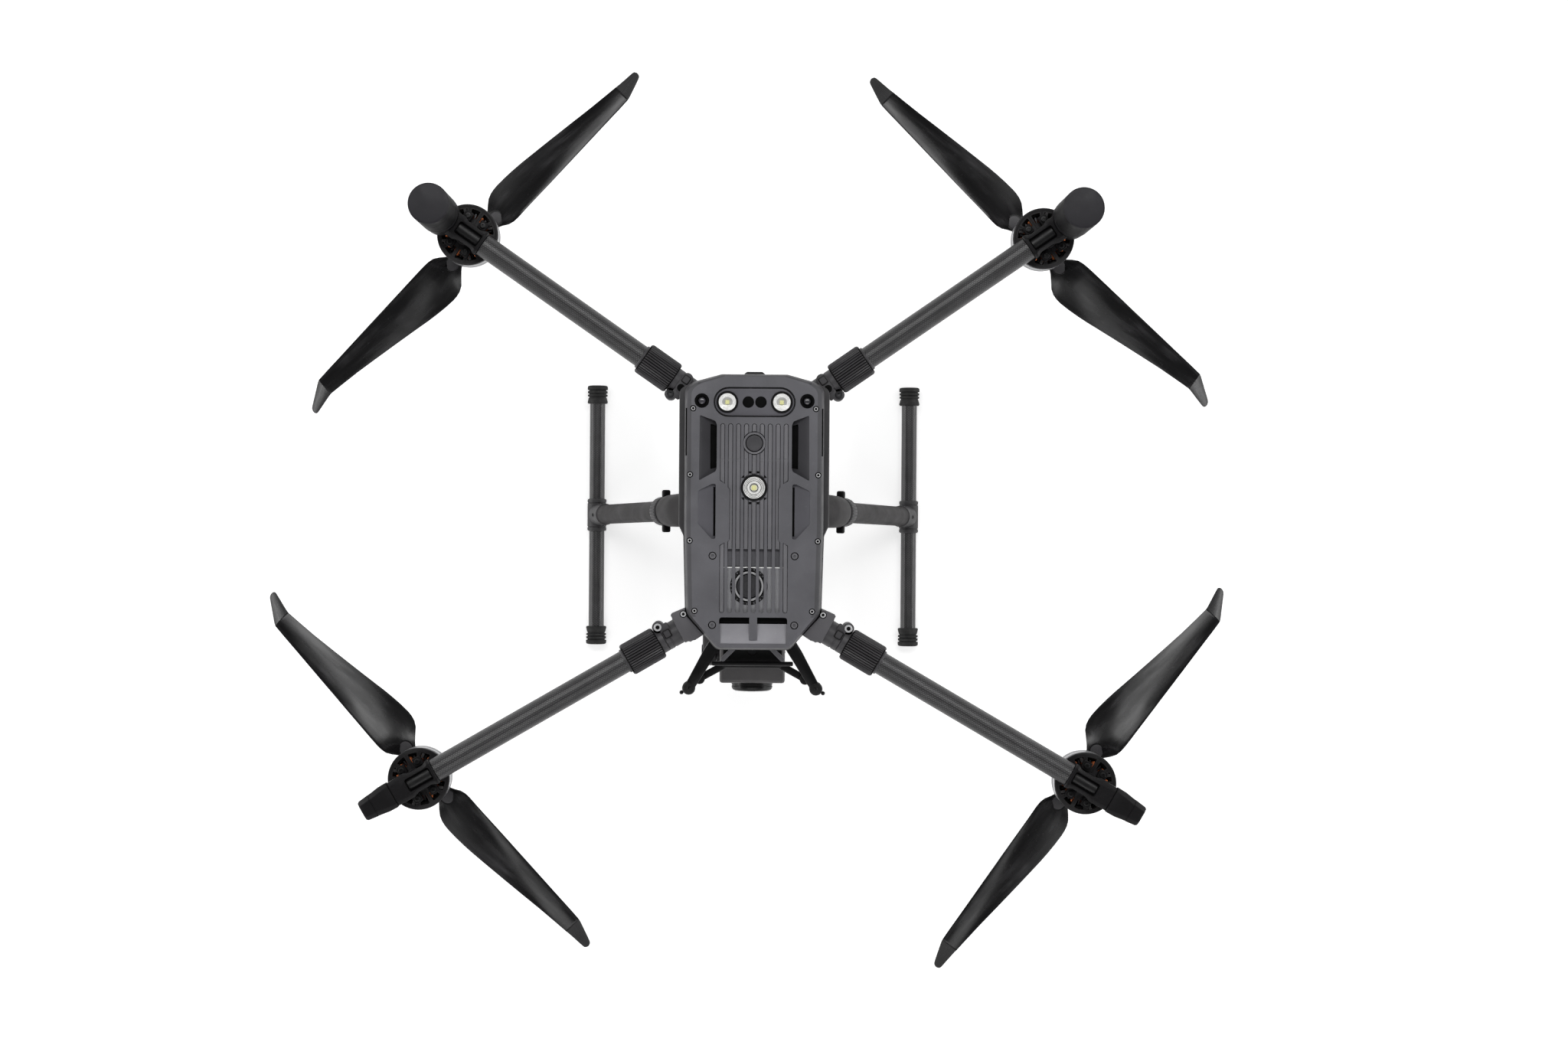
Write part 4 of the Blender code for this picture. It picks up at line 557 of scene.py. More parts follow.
class NodeSheet:
    """The nodes of a material or a world, with short ways to add and link them."""

    def __init__(
        self, owner: bpy.types.Material | bpy.types.World, shader: str = "Principled BSDF"
    ) -> None:
        """Start from the owner's own shader."""
        owner.use_nodes = True
        self.owner = owner
        self.tree = owner.node_tree
        self.shader = self.tree.nodes[shader]
        self.coords = self.node("TexCoord").outputs

    def node(self, kind: str, inputs: dict | None = None, **settings: object) -> bpy.types.Node:
        """Add a node.

        Args:
            kind: Node type without its Shader prefix.
            inputs: Constants or sockets by input name or index.
            **settings: Properties of the node.

        Returns:
            The node.
        """
        made = self.tree.nodes.new("ShaderNode" + kind)
        for key, value in settings.items():
            setattr(made, key, value)
        for key, value in (inputs or {}).items():
            self.feed(made.inputs[key], value)
        return made

    def feed(self, socket: bpy.types.NodeSocket, value: object) -> None:
        """Link a socket to an input or set a constant on it."""
        if isinstance(value, bpy.types.NodeSocket):
            self.tree.links.new(value, socket)
        else:
            socket.default_value = value

    def set(self, **inputs: object) -> None:
        """Set inputs of the shader; an underscore stands for a space."""
        for key, value in inputs.items():
            self.feed(self.shader.inputs[key.replace("_", " ")], value)

    def math(self, operation: str, a: object, b: object = 0.0) -> bpy.types.NodeSocket:
        """Return the result of a two-value calculation."""
        return self.node("Math", {0: a, 1: b}, operation=operation).outputs[0]

    def noise(self, scale: float, detail: float, vector: object = None) -> bpy.types.NodeSocket:
        """Return noise on the piece's own coordinates, with this many waves to a metre."""
        inputs = {"Vector": vector or self.coords["Object"], "Scale": scale, "Detail": detail}
        return self.node("TexNoise", inputs).outputs["Fac"]

    def spread(
        self, value: object, low: float, high: float, start: float = 0.3, end: float = 0.7
    ) -> bpy.types.NodeSocket:
        """Return a value mapped from one range to another, held at the ends."""
        inputs = {"Value": value, "From Min": start, "From Max": end, "To Min": low, "To Max": high}
        return self.node("MapRange", inputs).outputs["Result"]

    def blend(self, share: object, first: Colour, second: Colour) -> bpy.types.NodeSocket:
        """Return a mix of two colours by a share that varies over the piece."""
        made = self.node("Mix", {"Factor": share}, data_type="RGBA")
        for index, value in ((6, first), (7, second)):
            plain = not isinstance(value, bpy.types.NodeSocket)
            self.feed(made.inputs[index], (*value, 1.0) if plain else value)
        return made.outputs[2]

    def bump(self, height: object, strength: float, distance: float) -> bpy.types.NodeSocket:
        """Return a normal bent by a height."""
        inputs = {"Height": height, "Strength": strength, "Distance": distance}
        return self.node("Bump", inputs).outputs["Normal"]


def scaled(colour: Colour, factor: float, lift: float = 0.0) -> Colour:
    """Return a paler or darker colour."""
    return tuple(min(1.0, c * factor + lift) for c in colour)


@dataclass(frozen=True)
class Finish:
    """A named finish; its material is made once."""

    name: str

    def material(self) -> bpy.types.Material:
        """Return the material of this finish."""
        made = bpy.data.materials.get(self.name)
        if made is None:
            made = bpy.data.materials.new(self.name)
            self.draw(NodeSheet(made))
        return made

    def draw(self, sheet: NodeSheet) -> None:
        """Draw the nodes of the finish."""
        raise NotImplementedError


@dataclass(frozen=True)
class MouldedPlastic(Finish):
    """Moulded plastic with a fine spark-eroded grain, faint mottling and pale dust."""

    colour: Colour
    roughness: float = 0.5
    grain: float = 1500.0
    relief: float = 0.10
    mottle: float = 0.14
    dust: float = 0.10
    shine: float = 0.40

    def draw(self, sheet: NodeSheet) -> None:
        """Draw grain, mottling and dust."""
        cloud = sheet.noise(26.0, 4.0)
        fine = sheet.noise(self.grain, 2.0)
        low = scaled(self.colour, 1 - self.mottle)
        high = scaled(self.colour, 1 + self.mottle)
        base = sheet.blend(sheet.spread(cloud, 0.0, 1.0), low, high)
        specks = sheet.spread(sheet.noise(420.0, 2.0), 0.0, self.dust, 0.62, 0.78)
        pale = scaled(self.colour, 1.8, 0.05)
        sheet.set(
            Base_Color=sheet.blend(specks, base, pale),
            Roughness=sheet.spread(sheet.noise(70.0, 3.0), self.roughness - 0.07, self.roughness + 0.07),
            Normal=sheet.bump(fine, self.relief, 0.0004), Specular_IOR_Level=self.shine,
        )


@dataclass(frozen=True)
class WovenCarbon(Finish):
    """Carbon tube: plain weave drawn on the piece's map in metres, under a satin resin."""

    light: Colour = (0.085, 0.083, 0.086)
    dark: Colour = (0.0070, 0.0068, 0.0072)
    tow: Pair = (0.0030, 0.0020)

    def draw(self, sheet: NodeSheet) -> None:
        """Draw the two sets of tows, their crowns with painted shade towards the tow edges, and the resin.
        """
        spot = sheet.node("SeparateXYZ", {0: sheet.node("UVMap", uv_map="weave").outputs["UV"]})
        v = sheet.math("DIVIDE", spot.outputs[1], self.tow[1])
        row = sheet.math("FLOOR", v)
        u = sheet.math(
            "ADD", sheet.math("DIVIDE", spot.outputs[0], self.tow[0]), sheet.math("MULTIPLY", row, 0.5)
        )
        ends = sheet.math("ABSOLUTE", sheet.math("SUBTRACT", sheet.math("FRACT", u), 0.5))
        sides = sheet.math("ABSOLUTE", sheet.math("SUBTRACT", sheet.math("FRACT", v), 0.5))
        # Each dash is soft-edged, fading from its middle to the dark between dashes: painted shade of the
        # tow's rounded crown on the weave pattern.
        dash = sheet.math(
            "MULTIPLY", sheet.spread(ends, 1.0, 0.0, 0.22, 0.42), sheet.spread(sides, 1.0, 0.0, 0.12, 0.46)
        )
        fibre = sheet.spread(sheet.noise(2600.0, 1.0), -0.05, 0.08)
        patch = sheet.spread(sheet.noise(60.0, 2.0), 0.55, 1.0)
        bright = sheet.math("ADD", sheet.math("MULTIPLY", dash, patch), fibre)
        share = sheet.node("Clamp", {0: bright}).outputs[0]
        sheet.set(
            Base_Color=sheet.blend(share, self.dark, self.light),
            Roughness=sheet.spread(dash, 0.40, 0.26, 0.0, 1.0), Normal=sheet.bump(dash, 0.45, 0.0002),
            Specular_IOR_Level=0.60,
        )


@dataclass(frozen=True)
class GlossComposite(Finish):
    """Moulded blade composite: near black, glossy, with painted sheen streaks along the blade and small
    scuffs.
    """

    colour: Colour = (0.0045, 0.0043, 0.0048)
    roughness: float = 0.20

    def draw(self, sheet: NodeSheet) -> None:
        """Draw painted sheen streaks on the blade's own map, and scuffs."""
        spread = sheet.node("UVMap", uv_map="weave").outputs["UV"]
        long = sheet.node("Mapping", {"Vector": spread, "Scale": (14.0, 95.0, 1.0)}).outputs["Vector"]
        streak = sheet.noise(1.0, 5.0, long)
        cloud = sheet.noise(30.0, 4.0)
        # Painted sheen: pale streaks along the blade, in patches, that lighten the base colour.
        painted_sheen = sheet.math(
            "MULTIPLY", sheet.spread(streak, 0.0, 0.55, 0.45, 0.78),
            sheet.spread(cloud, 0.0, 1.0, 0.40, 0.66),
        )
        scuff = sheet.spread(sheet.noise(260.0, 4.0), 0.0, 0.25, 0.66, 0.76)
        # The base colour takes the painted sheen and the real scuffs, towards a dark grey.
        sheet.set(
            Base_Color=sheet.blend(sheet.math("ADD", painted_sheen, scuff), self.colour, (0.075, 0.073, 0.078)),
            Roughness=sheet.spread(streak, self.roughness - 0.05, self.roughness + 0.18),
            Normal=sheet.bump(sheet.noise(1200.0, 2.0), 0.03, 0.0003), Specular_IOR_Level=0.38,
        )


@dataclass(frozen=True)
class SatinMetal(Finish):
    """Turned or blasted metal with fine tool marks and faint stains."""

    colour: Colour
    roughness: float = 0.32
    marks: float = 900.0

    def draw(self, sheet: NodeSheet) -> None:
        """Draw tool marks and stains."""
        streak = sheet.node(
            "Mapping", {"Vector": sheet.coords["Object"], "Scale": (1.0, 1.0, 6.0)}
        ).outputs["Vector"]
        tool = sheet.noise(self.marks, 3.0, streak)
        stain = sheet.noise(60.0, 4.0)
        low = scaled(self.colour, 0.82)
        high = scaled(self.colour, 1.1)
        sheet.set(
            Base_Color=sheet.blend(sheet.spread(stain, 0.0, 1.0), low, high),
            Roughness=sheet.spread(tool, self.roughness - 0.08, self.roughness + 0.10),
            Normal=sheet.bump(tool, 0.06, 0.0003), Metallic=1.0,
        )


@dataclass(frozen=True)
class MouldedRubber(Finish):
    """Soft rubber: matt, dusty and a little uneven."""

    colour: Colour = (0.020, 0.020, 0.020)

    def draw(self, sheet: NodeSheet) -> None:
        """Draw dust and a soft uneven skin."""
        dust = sheet.spread(sheet.noise(140.0, 4.0), 0.0, 0.35, 0.45, 0.75)
        sheet.set(
            Base_Color=sheet.blend(dust, self.colour, (0.075, 0.073, 0.072)),
            Roughness=sheet.spread(sheet.noise(90.0, 2.0), 0.66, 0.86),
            Normal=sheet.bump(sheet.noise(800.0, 2.0), 0.12, 0.0004), Specular_IOR_Level=0.3,
        )


@dataclass(frozen=True)
class LensGlass(Finish):
    """Coated lens seen from outside: deep colour under a hard polished face."""

    colour: Colour = (0.006, 0.007, 0.010)
    tint: Colour = (0.030, 0.022, 0.050)
    roughness: float = 0.05

    def draw(self, sheet: NodeSheet) -> None:
        """Draw the coating as a slow change of tint."""
        drift = sheet.spread(sheet.noise(55.0, 1.0), 0.0, 1.0, 0.35, 0.65)
        sheet.set(
            Base_Color=sheet.blend(drift, self.colour, self.tint),
            Roughness=sheet.spread(sheet.noise(300.0, 2.0), self.roughness, self.roughness + 0.05),
            Coat_Weight=1.0, Coat_Roughness=0.03,
        )


@dataclass(frozen=True)
class LampChip(Finish):
    """Phosphor of a lamp chip: a pale yellow block with a finer grid of cells."""

    colour: Colour = (0.62, 0.60, 0.22)

    def draw(self, sheet: NodeSheet) -> None:
        """Draw the cells and the uneven phosphor."""
        cells = sheet.node(
            "TexVoronoi", {"Vector": sheet.coords["Object"], "Scale": 700.0}
        ).outputs["Distance"]
        pale = scaled(self.colour, 1.25, 0.05)
        sheet.set(
            Base_Color=sheet.blend(sheet.spread(cells, 0.0, 1.0, 0.1, 0.6), pale, self.colour),
            Roughness=sheet.spread(sheet.noise(600.0, 2.0), 0.35, 0.6),
        )


@dataclass(frozen=True)
class CopperWinding(Finish):
    """Lacquered copper wire, wound in close turns."""

    colour: Colour = (0.52, 0.14, 0.045)

    def draw(self, sheet: NodeSheet) -> None:
        """Draw the turns of the wire and uneven lacquer."""
        turns = sheet.node(
            "TexWave", {"Vector": sheet.coords["Object"], "Scale": 330.0, "Distortion": 1.2},
            bands_direction="Z"
        ).outputs["Fac"]
        lacquer = sheet.noise(220.0, 3.0)
        dark = scaled(self.colour, 0.42)
        sheet.set(
            Base_Color=sheet.blend(sheet.spread(lacquer, 0.0, 1.0), dark, self.colour),
            Roughness=sheet.spread(lacquer, 0.28, 0.5), Normal=sheet.bump(turns, 0.5, 0.0004), Metallic=0.6,
        )


@dataclass(frozen=True)
class FoamPlate(Finish):
    """Light grey speckled plate seen through the front slots."""

    colour: Colour = (0.36, 0.36, 0.38)

    def draw(self, sheet: NodeSheet) -> None:
        """Draw the speckle."""
        speck = sheet.spread(sheet.noise(2200.0, 2.0), 0.0, 1.0, 0.40, 0.6)
        sheet.set(
            Base_Color=sheet.blend(speck, scaled(self.colour, 0.62), self.colour),
            Roughness=sheet.spread(speck, 0.75, 0.55, 0.0, 1.0), Normal=sheet.bump(speck, 0.3, 0.0004),
        )


@dataclass(frozen=True)
class LampBowl(Finish):
    """White moulded reflector with a thin uneven skin and a faint painted glow."""

    colour: Colour = (0.93, 0.93, 0.92)

    def draw(self, sheet: NodeSheet) -> None:
        """Draw the uneven skin and the painted glow."""
        skin = sheet.spread(sheet.noise(340.0, 3.0), 0.0, 1.0)
        # The emission here is painted glow: the bowl is a reflector and gives no light of its own.
        sheet.set(
            Base_Color=sheet.blend(skin, scaled(self.colour, 0.75), self.colour),
            Roughness=sheet.spread(skin, 0.18, 0.34, 0.0, 1.0),
            Metallic=sheet.spread(skin, 0.0, 0.15, 0.0, 1.0), Emission_Color=(1.0, 1.0, 0.98, 1.0),
            Emission_Strength=0.16,
        )


COVER_GREY = MouldedPlastic("cover_grey", (0.117, 0.116, 0.128), 0.52)
FIN_GREY = MouldedPlastic("fin_grey", (0.150, 0.148, 0.160), 0.48, grain=1100.0)
# Darker copies of the cover grey, painted as shade: on steep cover faces (edge) and on the scoop slopes
# (scoop).
EDGE_SHADE_GREY = MouldedPlastic("edge_shade_grey", (0.050, 0.049, 0.053), 0.52)
SCOOP_SHADE_GREY = MouldedPlastic("scoop_shade_grey", (0.050, 0.049, 0.055), 0.50)
# Painted shade on the pocket ramps, and the plain grey of the tail lamp panel's bed.
POCKET_SHADE_AND_PANEL_GREY = MouldedPlastic("pocket_shade_and_panel_grey", (0.106, 0.104, 0.119), 0.50)
BUTTON_GREY = MouldedPlastic(
    "button_grey", (0.048, 0.047, 0.052), 0.55, grain=900.0, mottle=0.3, relief=0.2
)
SHELL_GREY = MouldedPlastic("shell_grey", (0.036, 0.035, 0.037), 0.52)
ROOT_GREY = MouldedPlastic("root_grey", (0.098, 0.095, 0.103), 0.48, grain=1900.0, relief=0.14)
# Darker copy of the cover grey: painted shade on the cover's side and rear chamfers.
SIDE_SHADE_GREY = MouldedPlastic("side_shade_grey", (0.078, 0.077, 0.083), 0.52)
SLEEVE_GREY = MouldedPlastic("sleeve_grey", (0.036, 0.034, 0.037), 0.42)
COLLAR_GREY = MouldedPlastic("collar_grey", (0.052, 0.050, 0.054), 0.46)
MOUNT_GREY = MouldedPlastic("mount_grey", (0.0085, 0.0080, 0.0088), 0.50, shine=0.12)
# Near black of the lamp and beacon rings, also laid on the antenna cans' sides as painted shade.
CAN_SHADE_AND_RING_BLACK = MouldedPlastic("can_shade_and_ring_black", (0.0045, 0.0042, 0.0048), 0.55, shine=0.12)
JET = MouldedPlastic("jet_plastic", (0.0055, 0.0053, 0.0058), 0.38, dust=0.04, shine=0.30)
# Deep black of real black parts, also laid as painted shade in screw hollows and gaps, deep slots, slits and
# sleeve grooves.
BLACK_AND_SHADE = MouldedPlastic("deep_black_and_shade", (0.0020, 0.0020, 0.0022), 0.65, dust=0.02, shine=0.08)
CAN_GREY = MouldedPlastic("can_grey", (0.020, 0.019, 0.023), 0.46, dust=0.06, shine=0.25)
DISC_GREY = MouldedPlastic("disc_grey", (0.020, 0.019, 0.020), 0.48, shine=0.25)
LEG_GREY = MouldedPlastic("leg_grey", (0.046, 0.044, 0.045), 0.55, grain=2200.0, shine=0.10)
CAMERA_GREY = MouldedPlastic("camera_grey", (0.090, 0.086, 0.088), 0.46)
RAMP_GREY = MouldedPlastic("ramp_grey", (0.310, 0.305, 0.330), 0.55)
PLATE = FoamPlate("speckled_plate")
CARBON = WovenCarbon("woven_carbon")
BLADE = GlossComposite("blade_composite")
STEEL = SatinMetal("screw_steel", (0.62, 0.62, 0.63), 0.28)
# Light grey of the plated screw heads and fan ring, also laid as painted shade on the upper inner part of
# each lamp bowl.
NICKEL_AND_BOWL_SHADE = MouldedPlastic("nickel_plate_and_bowl_shade", (0.52, 0.52, 0.53), 0.30, mottle=0.10, dust=0.05, shine=0.5)
DARK_STEEL = SatinMetal("dark_steel", (0.040, 0.040, 0.042), 0.42)
BELL_METAL = SatinMetal("bell_metal", (0.38, 0.38, 0.39), 0.36)
RUBBER = MouldedRubber("moulded_rubber")
GLASS = LensGlass("lens_glass")
GREY_GLASS = LensGlass("grey_glass", (0.045, 0.045, 0.05), (0.08, 0.075, 0.09), 0.10)
CHIP = LampChip("lamp_chip", (0.90, 0.88, 0.40))
BOWL = LampBowl("lamp_bowl")
COPPER = CopperWinding("copper_winding", (0.62, 0.17, 0.05))


# Pieces


class Piece:
    """One finished piece: solids, each with its own finish, on one body."""

    made: list[str] = []

    def __init__(self, name: str, body: str, slot: Slot) -> None:
        """Start a piece that rides on a body, and keep its slot."""
        self.name = name
        self.body = body
        self.slot = slot
        self.parts: list[tuple[Solid, Finish, float, Callable | None]] = []

    def add(
        self, finish: Finish, *solids: Solid, angle: float = SMOOTH, paint: Callable | None = None
    ) -> None:
        """Add solids of one finish.

        Args:
            finish: Finish of the solids.
            *solids: The solids.
            angle: Edges sharper than this many degrees stay sharp.
            paint: Rule that names another finish for a face from its middle and normal, or None.
        """
        self.parts += [(solid, finish, angle, paint) for solid in solids]

    def repeat(self, finish: Finish, item: Solid, places: Sequence[Matrix], angle: float = SMOOTH) -> None:
        """Add one item at many places, all of one finish."""
        self.add(finish, Repeater.spread(item, places, finish), angle=angle)

    def done(self, *nodes: str, place: Matrix | None = None) -> None:
        """Make the object and hand it to the frame.

        Args:
            *nodes: CAD nodes that the piece stands for.
            place: Frame in which the solids were drawn.
        """
        bm = bmesh.new()
        bm.loops.layers.uv.new("weave")
        finishes: list[Finish] = []
        for solid, finish, angle, paint in self.parts:
            solid.mesh.shade_smooth()
            solid.mesh.set_sharp_from_angle(angle=radians(angle))
            if "weave" not in solid.mesh.uv_layers:
                solid.mesh.uv_layers.new(name="weave")
            start = len(bm.faces)
            bm.from_mesh(solid.mesh)
            bm.faces.ensure_lookup_table()
            for face in bm.faces[start:]:
                own = paint(face.calc_center_median(), face.normal) if paint else None
                own = own or finish
                if own not in finishes:
                    finishes.append(own)
                face.material_index = finishes.index(own)
        bm.transform(TO_MODEL @ place if place is not None else TO_MODEL)
        mesh = bpy.data.meshes.new(self.name)
        bm.to_mesh(mesh)
        bm.free()
        for finish in finishes:
            mesh.materials.append(finish.material())
        obj = bpy.data.objects.new(self.name, mesh)
        show(obj)
        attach(obj, self.body)
        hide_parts(*nodes)
        Piece.made.append(self.name)
        LOG.info("%s on %s: %d faces", self.name, self.body, len(mesh.polygons))


def cap_screw(radius: float, height: float, socket: float) -> Solid:
    """Return a round screw head with a six-sided socket, standing on the origin."""
    head = drum(radius, 0.0, height, edge=min(radius * 0.18, height * 0.3), sides=24)
    return head.cut(drum(socket, height * 0.35, height * 2, sides=6))


def ring_screw(radius: float, height: float) -> Solid:
    """Return a ring-shaped screw head with a deep round middle, standing on the origin."""
    hollow = radius * 0.52
    return lathe([
        (0, height * 0.1), (hollow, height * 0.1), (hollow, height * 0.85), (hollow * 1.12, height),
        (radius * 0.86, height), (radius, height * 0.75), (radius, 0), (0, 0),
    ], sides=24)


# Fuselage


@dataclass
class Fuselage:
    """The body between the arms: cover, lamps, heat sink, fan, walls, tub and battery packs."""

    belly_z: float = 240.0
    tub_top: float = 295.0
    base: float = 343.0
    top: float = 365.0
    skirt: float = 9.0
    cover_half: Plan = field(default_factory=lambda: [
        (35.5, 148), (64.5, 140), (75, 133), (75, -15), (72.5, -109.5), (39, -148),
    ])
    wall_half: Plan = field(default_factory=lambda: [
        (35.5, 148), (64.5, 140), (81.3, 133), (81.3, -15), (76.2, -26), (73.8, -109.8), (39.6, -149.4),
    ])
    pitch: float = 8.5
    slot_half: float = 2.62
    slot_rear: float = 94.5
    slot_front: float = -108.5
    bar_front: float = -40.0
    button_y: float = 73.5
    beacon_y: float = 25.8
    panel_y: float = 117.55
    panel_half: float = 43.7
    panel_radius: float = 15.75
    lamp_x: float = 29.2
    window_x: float = 6.75
    stereo: Pair = (56.5, 118.8)
    fan: Pair = (-5, -80)
    fan_seat: float = 331.7
    fan_height: float = 9.0
    bay_x: Pair = (3, 61)
    bay_z: Pair = (247, 291)
    bay_y: float = -4.0

    def build(self, arms: Sequence["Arm"]) -> None:
        """Build every piece of the fuselage.

        Args:
            arms: The arms, whose roots are part of the centre frame.
        """
        self.cover()
        self.heat_sink()
        self.lamp_panel()
        self.beacon()
        self.button()
        self.cooling_fan()
        self.walls(arms)
        self.tub()
        for side in (-1, 1):
            self.battery(side)

    def slot_plans(self, inset: float) -> list[Plan]:
        """Return the outline of every cooling slot, or of the bar in it.

        Args:
            inset: Gap by which a bar is narrower than its slot.

        Returns:
            One outline for each run of slot.
        """
        plans = []
        half = self.slot_half - inset
        rear = self.slot_rear - inset
        for column in range(-4, 5):
            x = column * self.pitch
            out = (column > 0) - (column < 0)
            front = self.slot_front + inset
            end = arc(half, 10, (0, rear - half), 0, pi)
            low = arc(half, 10, (0, front + half), pi, pi)
            if abs(column) == 4:
                slant = 1.6 * out
                stop = 31.6 + inset
                plans.append(moved(end + [(-half, stop - slant), (half, stop + slant)], x, 0))
                stop = -34.5 - inset
                plans.append(moved([(half, stop - slant), (-half, stop + slant)] + low, x, 0))
                continue
            if inset > 0:
                low = [(-half, self.bar_front), (half, self.bar_front)]
            if abs(column) == 3:
                step = 1.9
                edge = [(-half, 26.2), (-half + step, 23.8), (-half + step, -30), (-half, -32.4)]
                if out < 0:
                    side = end + edge + low
                else:
                    side = end + low + [(-px, py) for px, py in reversed(edge)]
                plans.append(moved(side, x, 0))
            else:
                plans.append(moved(end + low, x, 0))
        return plans

    def cover(self) -> None:
        """Build the grey cover with its slots, scoops, pockets, nose windows and lens holes."""
        top, base = self.top, self.base
        radii = [8, 10, 12, 30, 20, 10]
        outline = fillet(both_sides(self.cover_half), radii + radii[::-1], 6)
        levels = [(1.0, 1.0, base), (1.0, 1.0, base + self.skirt), (0.996, 0.9985, base + self.skirt + 3)]
        levels += [(0.972, 0.9905, top - 3.2), (0.962, 0.9875, top - 1.6)]
        levels += [(0.945, 0.9850, top - 0.9), (0.902, 0.9800, top)]
        cover = loft([[(x * a, y * b, z) for x, y in outline] for a, b, z in levels])
        cover.cut(prism(moved(block_plan(41.5, 36.5, 6), 0, -75.5), base - PAST, top - 3))
        cover.cut(*[prism(plan, base - PAST, top + PAST) for plan in self.slot_plans(0)])
        cover.join(
            *[drum(r, base + FIT, top, at(0, y)) for r, y in ((11.9, self.button_y), (14.6, self.beacon_y))]
        )
        window = moved(oblong(self.panel_half + FIT, self.panel_radius + FIT), 0, self.panel_y)
        tools = [
            hoop(11.7, 12.5, top - 1.2, top + PAST, at(0, self.button_y)),
            drum(9.5, base - PAST, top + PAST, at(0, self.button_y)),
            drum(14.3, top - 6, top + PAST, at(0, self.beacon_y)), prism(window, top - 8.3, top + PAST),
        ]
        for side in (-1, 1):
            tools += self.scoop(side) + self.pocket(side)
            tools.append(drum(7.8, top - 6, top + PAST, at(side * self.stereo[0], self.stereo[1])))
            for x, y in self.screw_spots():
                tools.append(drum(3.4, top - 6, top + 20, at(side * x, y), sides=24))
            for y in (-47.3, -121.5):
                tools.append(drum(4.3, top - 3.5, top + 20, at(side * 44, y), sides=32))
        cover.cut(*tools, *self.nose_windows())
        piece = Piece("cover_shell", "airframe", Slot.COVER)
        piece.add(COVER_GREY, cover, angle=24, paint=self.cover_paint)
        self.dress_cover(piece)
        piece.done("upper_cover")

    def screw_spots(self) -> Plan:
        """Return the cover screws of the right side."""
        return [(65.8, 110.5), (68.7, 39.6), (68.6, -31.3), (63, -106.5)]

    def scoop(self, side: int) -> list[Solid]:
        """Return the cutters of one side scoop: a slope and a deep slot."""
        top = self.top
        plan = [(58.5, 103.4), (42, 97.2), (40.2, 93), (40.2, 47), (41.2, 43.2), (59.1, 33.3)]
        plan = fillet(mirrored(plan, side), [1, 3, 3, 3, 3, 1], 4)
        slope = well(plan, lambda x, y: top - 0.4 - 9.5 * (59.1 - abs(x)) / 18.9, top + 4)
        slot = [(47.2, 94.5), (40.4, 92.5), (40.4, 47.5), (47.2, 45.5)]
        return [slope, prism(fillet(mirrored(slot, side), 1, 3), top - 19, top - 2)]

    def pocket(self, side: int) -> list[Solid]:
        """Return the cutters of one side pocket: a ramp and the slit along its deep edge."""
        top = self.top
        plan = [(41.1, 29.7), (41.1, -29.4), (45, -29.4), (59.9, -13.2), (59.9, 22.3), (45, 29.7)]
        plan = fillet(mirrored(plan, side), [2, 3, 4, 3, 3, 3], 4)
        ramp = well(plan, lambda x, y: top - 1 - 4.2 * (59.9 - abs(x)) / 18.8, top + 4)
        slit = [(43.6, 26.5), (41.3, 26.5), (41.3, -26.2), (43.6, -26.2)]
        return [ramp, prism(mirrored(slit, side), top - 11, top - 2)]

    def nose_windows(self) -> list[Solid]:
        """Return the cutters of the nose: a deep slot and the ramp in front of it."""
        top = self.top
        slot = fillet([(36.5, -120.4), (36.5, -113.2), (-36.5, -113.2), (-36.5, -120.4)], [0, 4, 4, 0], 5)
        ramp = [(35.8, -120), (-35.8, -120), (-35, -141.2), (35, -141.2)]
        return [
            prism(slot, top - 14, top + PAST),
            well(ramp, lambda x, y: top - 0.8 - 6.2 * (y + 141.2) / 21.2, top + 4),
        ]

    @staticmethod
    def cover_paint(spot: Vector, normal: Vector) -> Finish | None:
        """Return the finish of a cover face that is not plain grey: painted shade on the steep faces, on the
        side and rear chamfers and on the scoop and pocket slopes, and a paler grey on the nose ramp.

        Args:
            spot: Middle of the face.
            normal: Its normal.

        Returns:
            The finish, or None.
        """
        # Steep faces: painted shade.
        if normal.z < 0.6:
            return EDGE_SHADE_GREY
        # Side and rear chamfers: painted shade.
        if normal.z < 0.998 and (abs(spot.x) > 62.5 or spot.y > 140):
            return SIDE_SHADE_GREY
        if normal.z < 0.995 and spot.y < -112:
            return RAMP_GREY if abs(spot.x) < 36.2 and spot.y > -141.4 else None
        # Scoop and pocket slopes: painted shade.
        if normal.z < 0.995 and 40 < abs(spot.x) < 61:
            return SCOOP_SHADE_GREY if spot.y > 31 else POCKET_SHADE_AND_PANEL_GREY
        return None

    def dress_cover(self, piece: Piece) -> None:
        """Add the screws, with painted shade in their hollows and gaps, the stereo lenses, deep black liners
        of painted shade in the slots, the nose bar and the button ring to the cover.
        """
        top = self.top
        spots = [at(side * x, y, top - 4.2) for side in (-1, 1) for x, y in self.screw_spots()]
        piece.repeat(NICKEL_AND_BOWL_SHADE, ring_screw(2.4, 4), spots)
        # Deep black cores in the screw hollows and rings in the gaps round the heads: painted shade.
        core = lathe([(0, 2.2), (1.4, 2.2), (1.4, 0), (0, 0)], sides=12)
        gap = lathe([(3.4, 3.4), (2.5, 3), (2.5, 0), (3.4, 0)], sides=24)
        piece.repeat(BLACK_AND_SHADE, core, spots)
        piece.repeat(BLACK_AND_SHADE, gap, spots)
        spots = [at(side * 44, y, top - 3.4) for side in (-1, 1) for y in (-47.3, -121.5)]
        piece.repeat(FIN_GREY, cap_screw(3.4, 2.6, 1.7), spots)
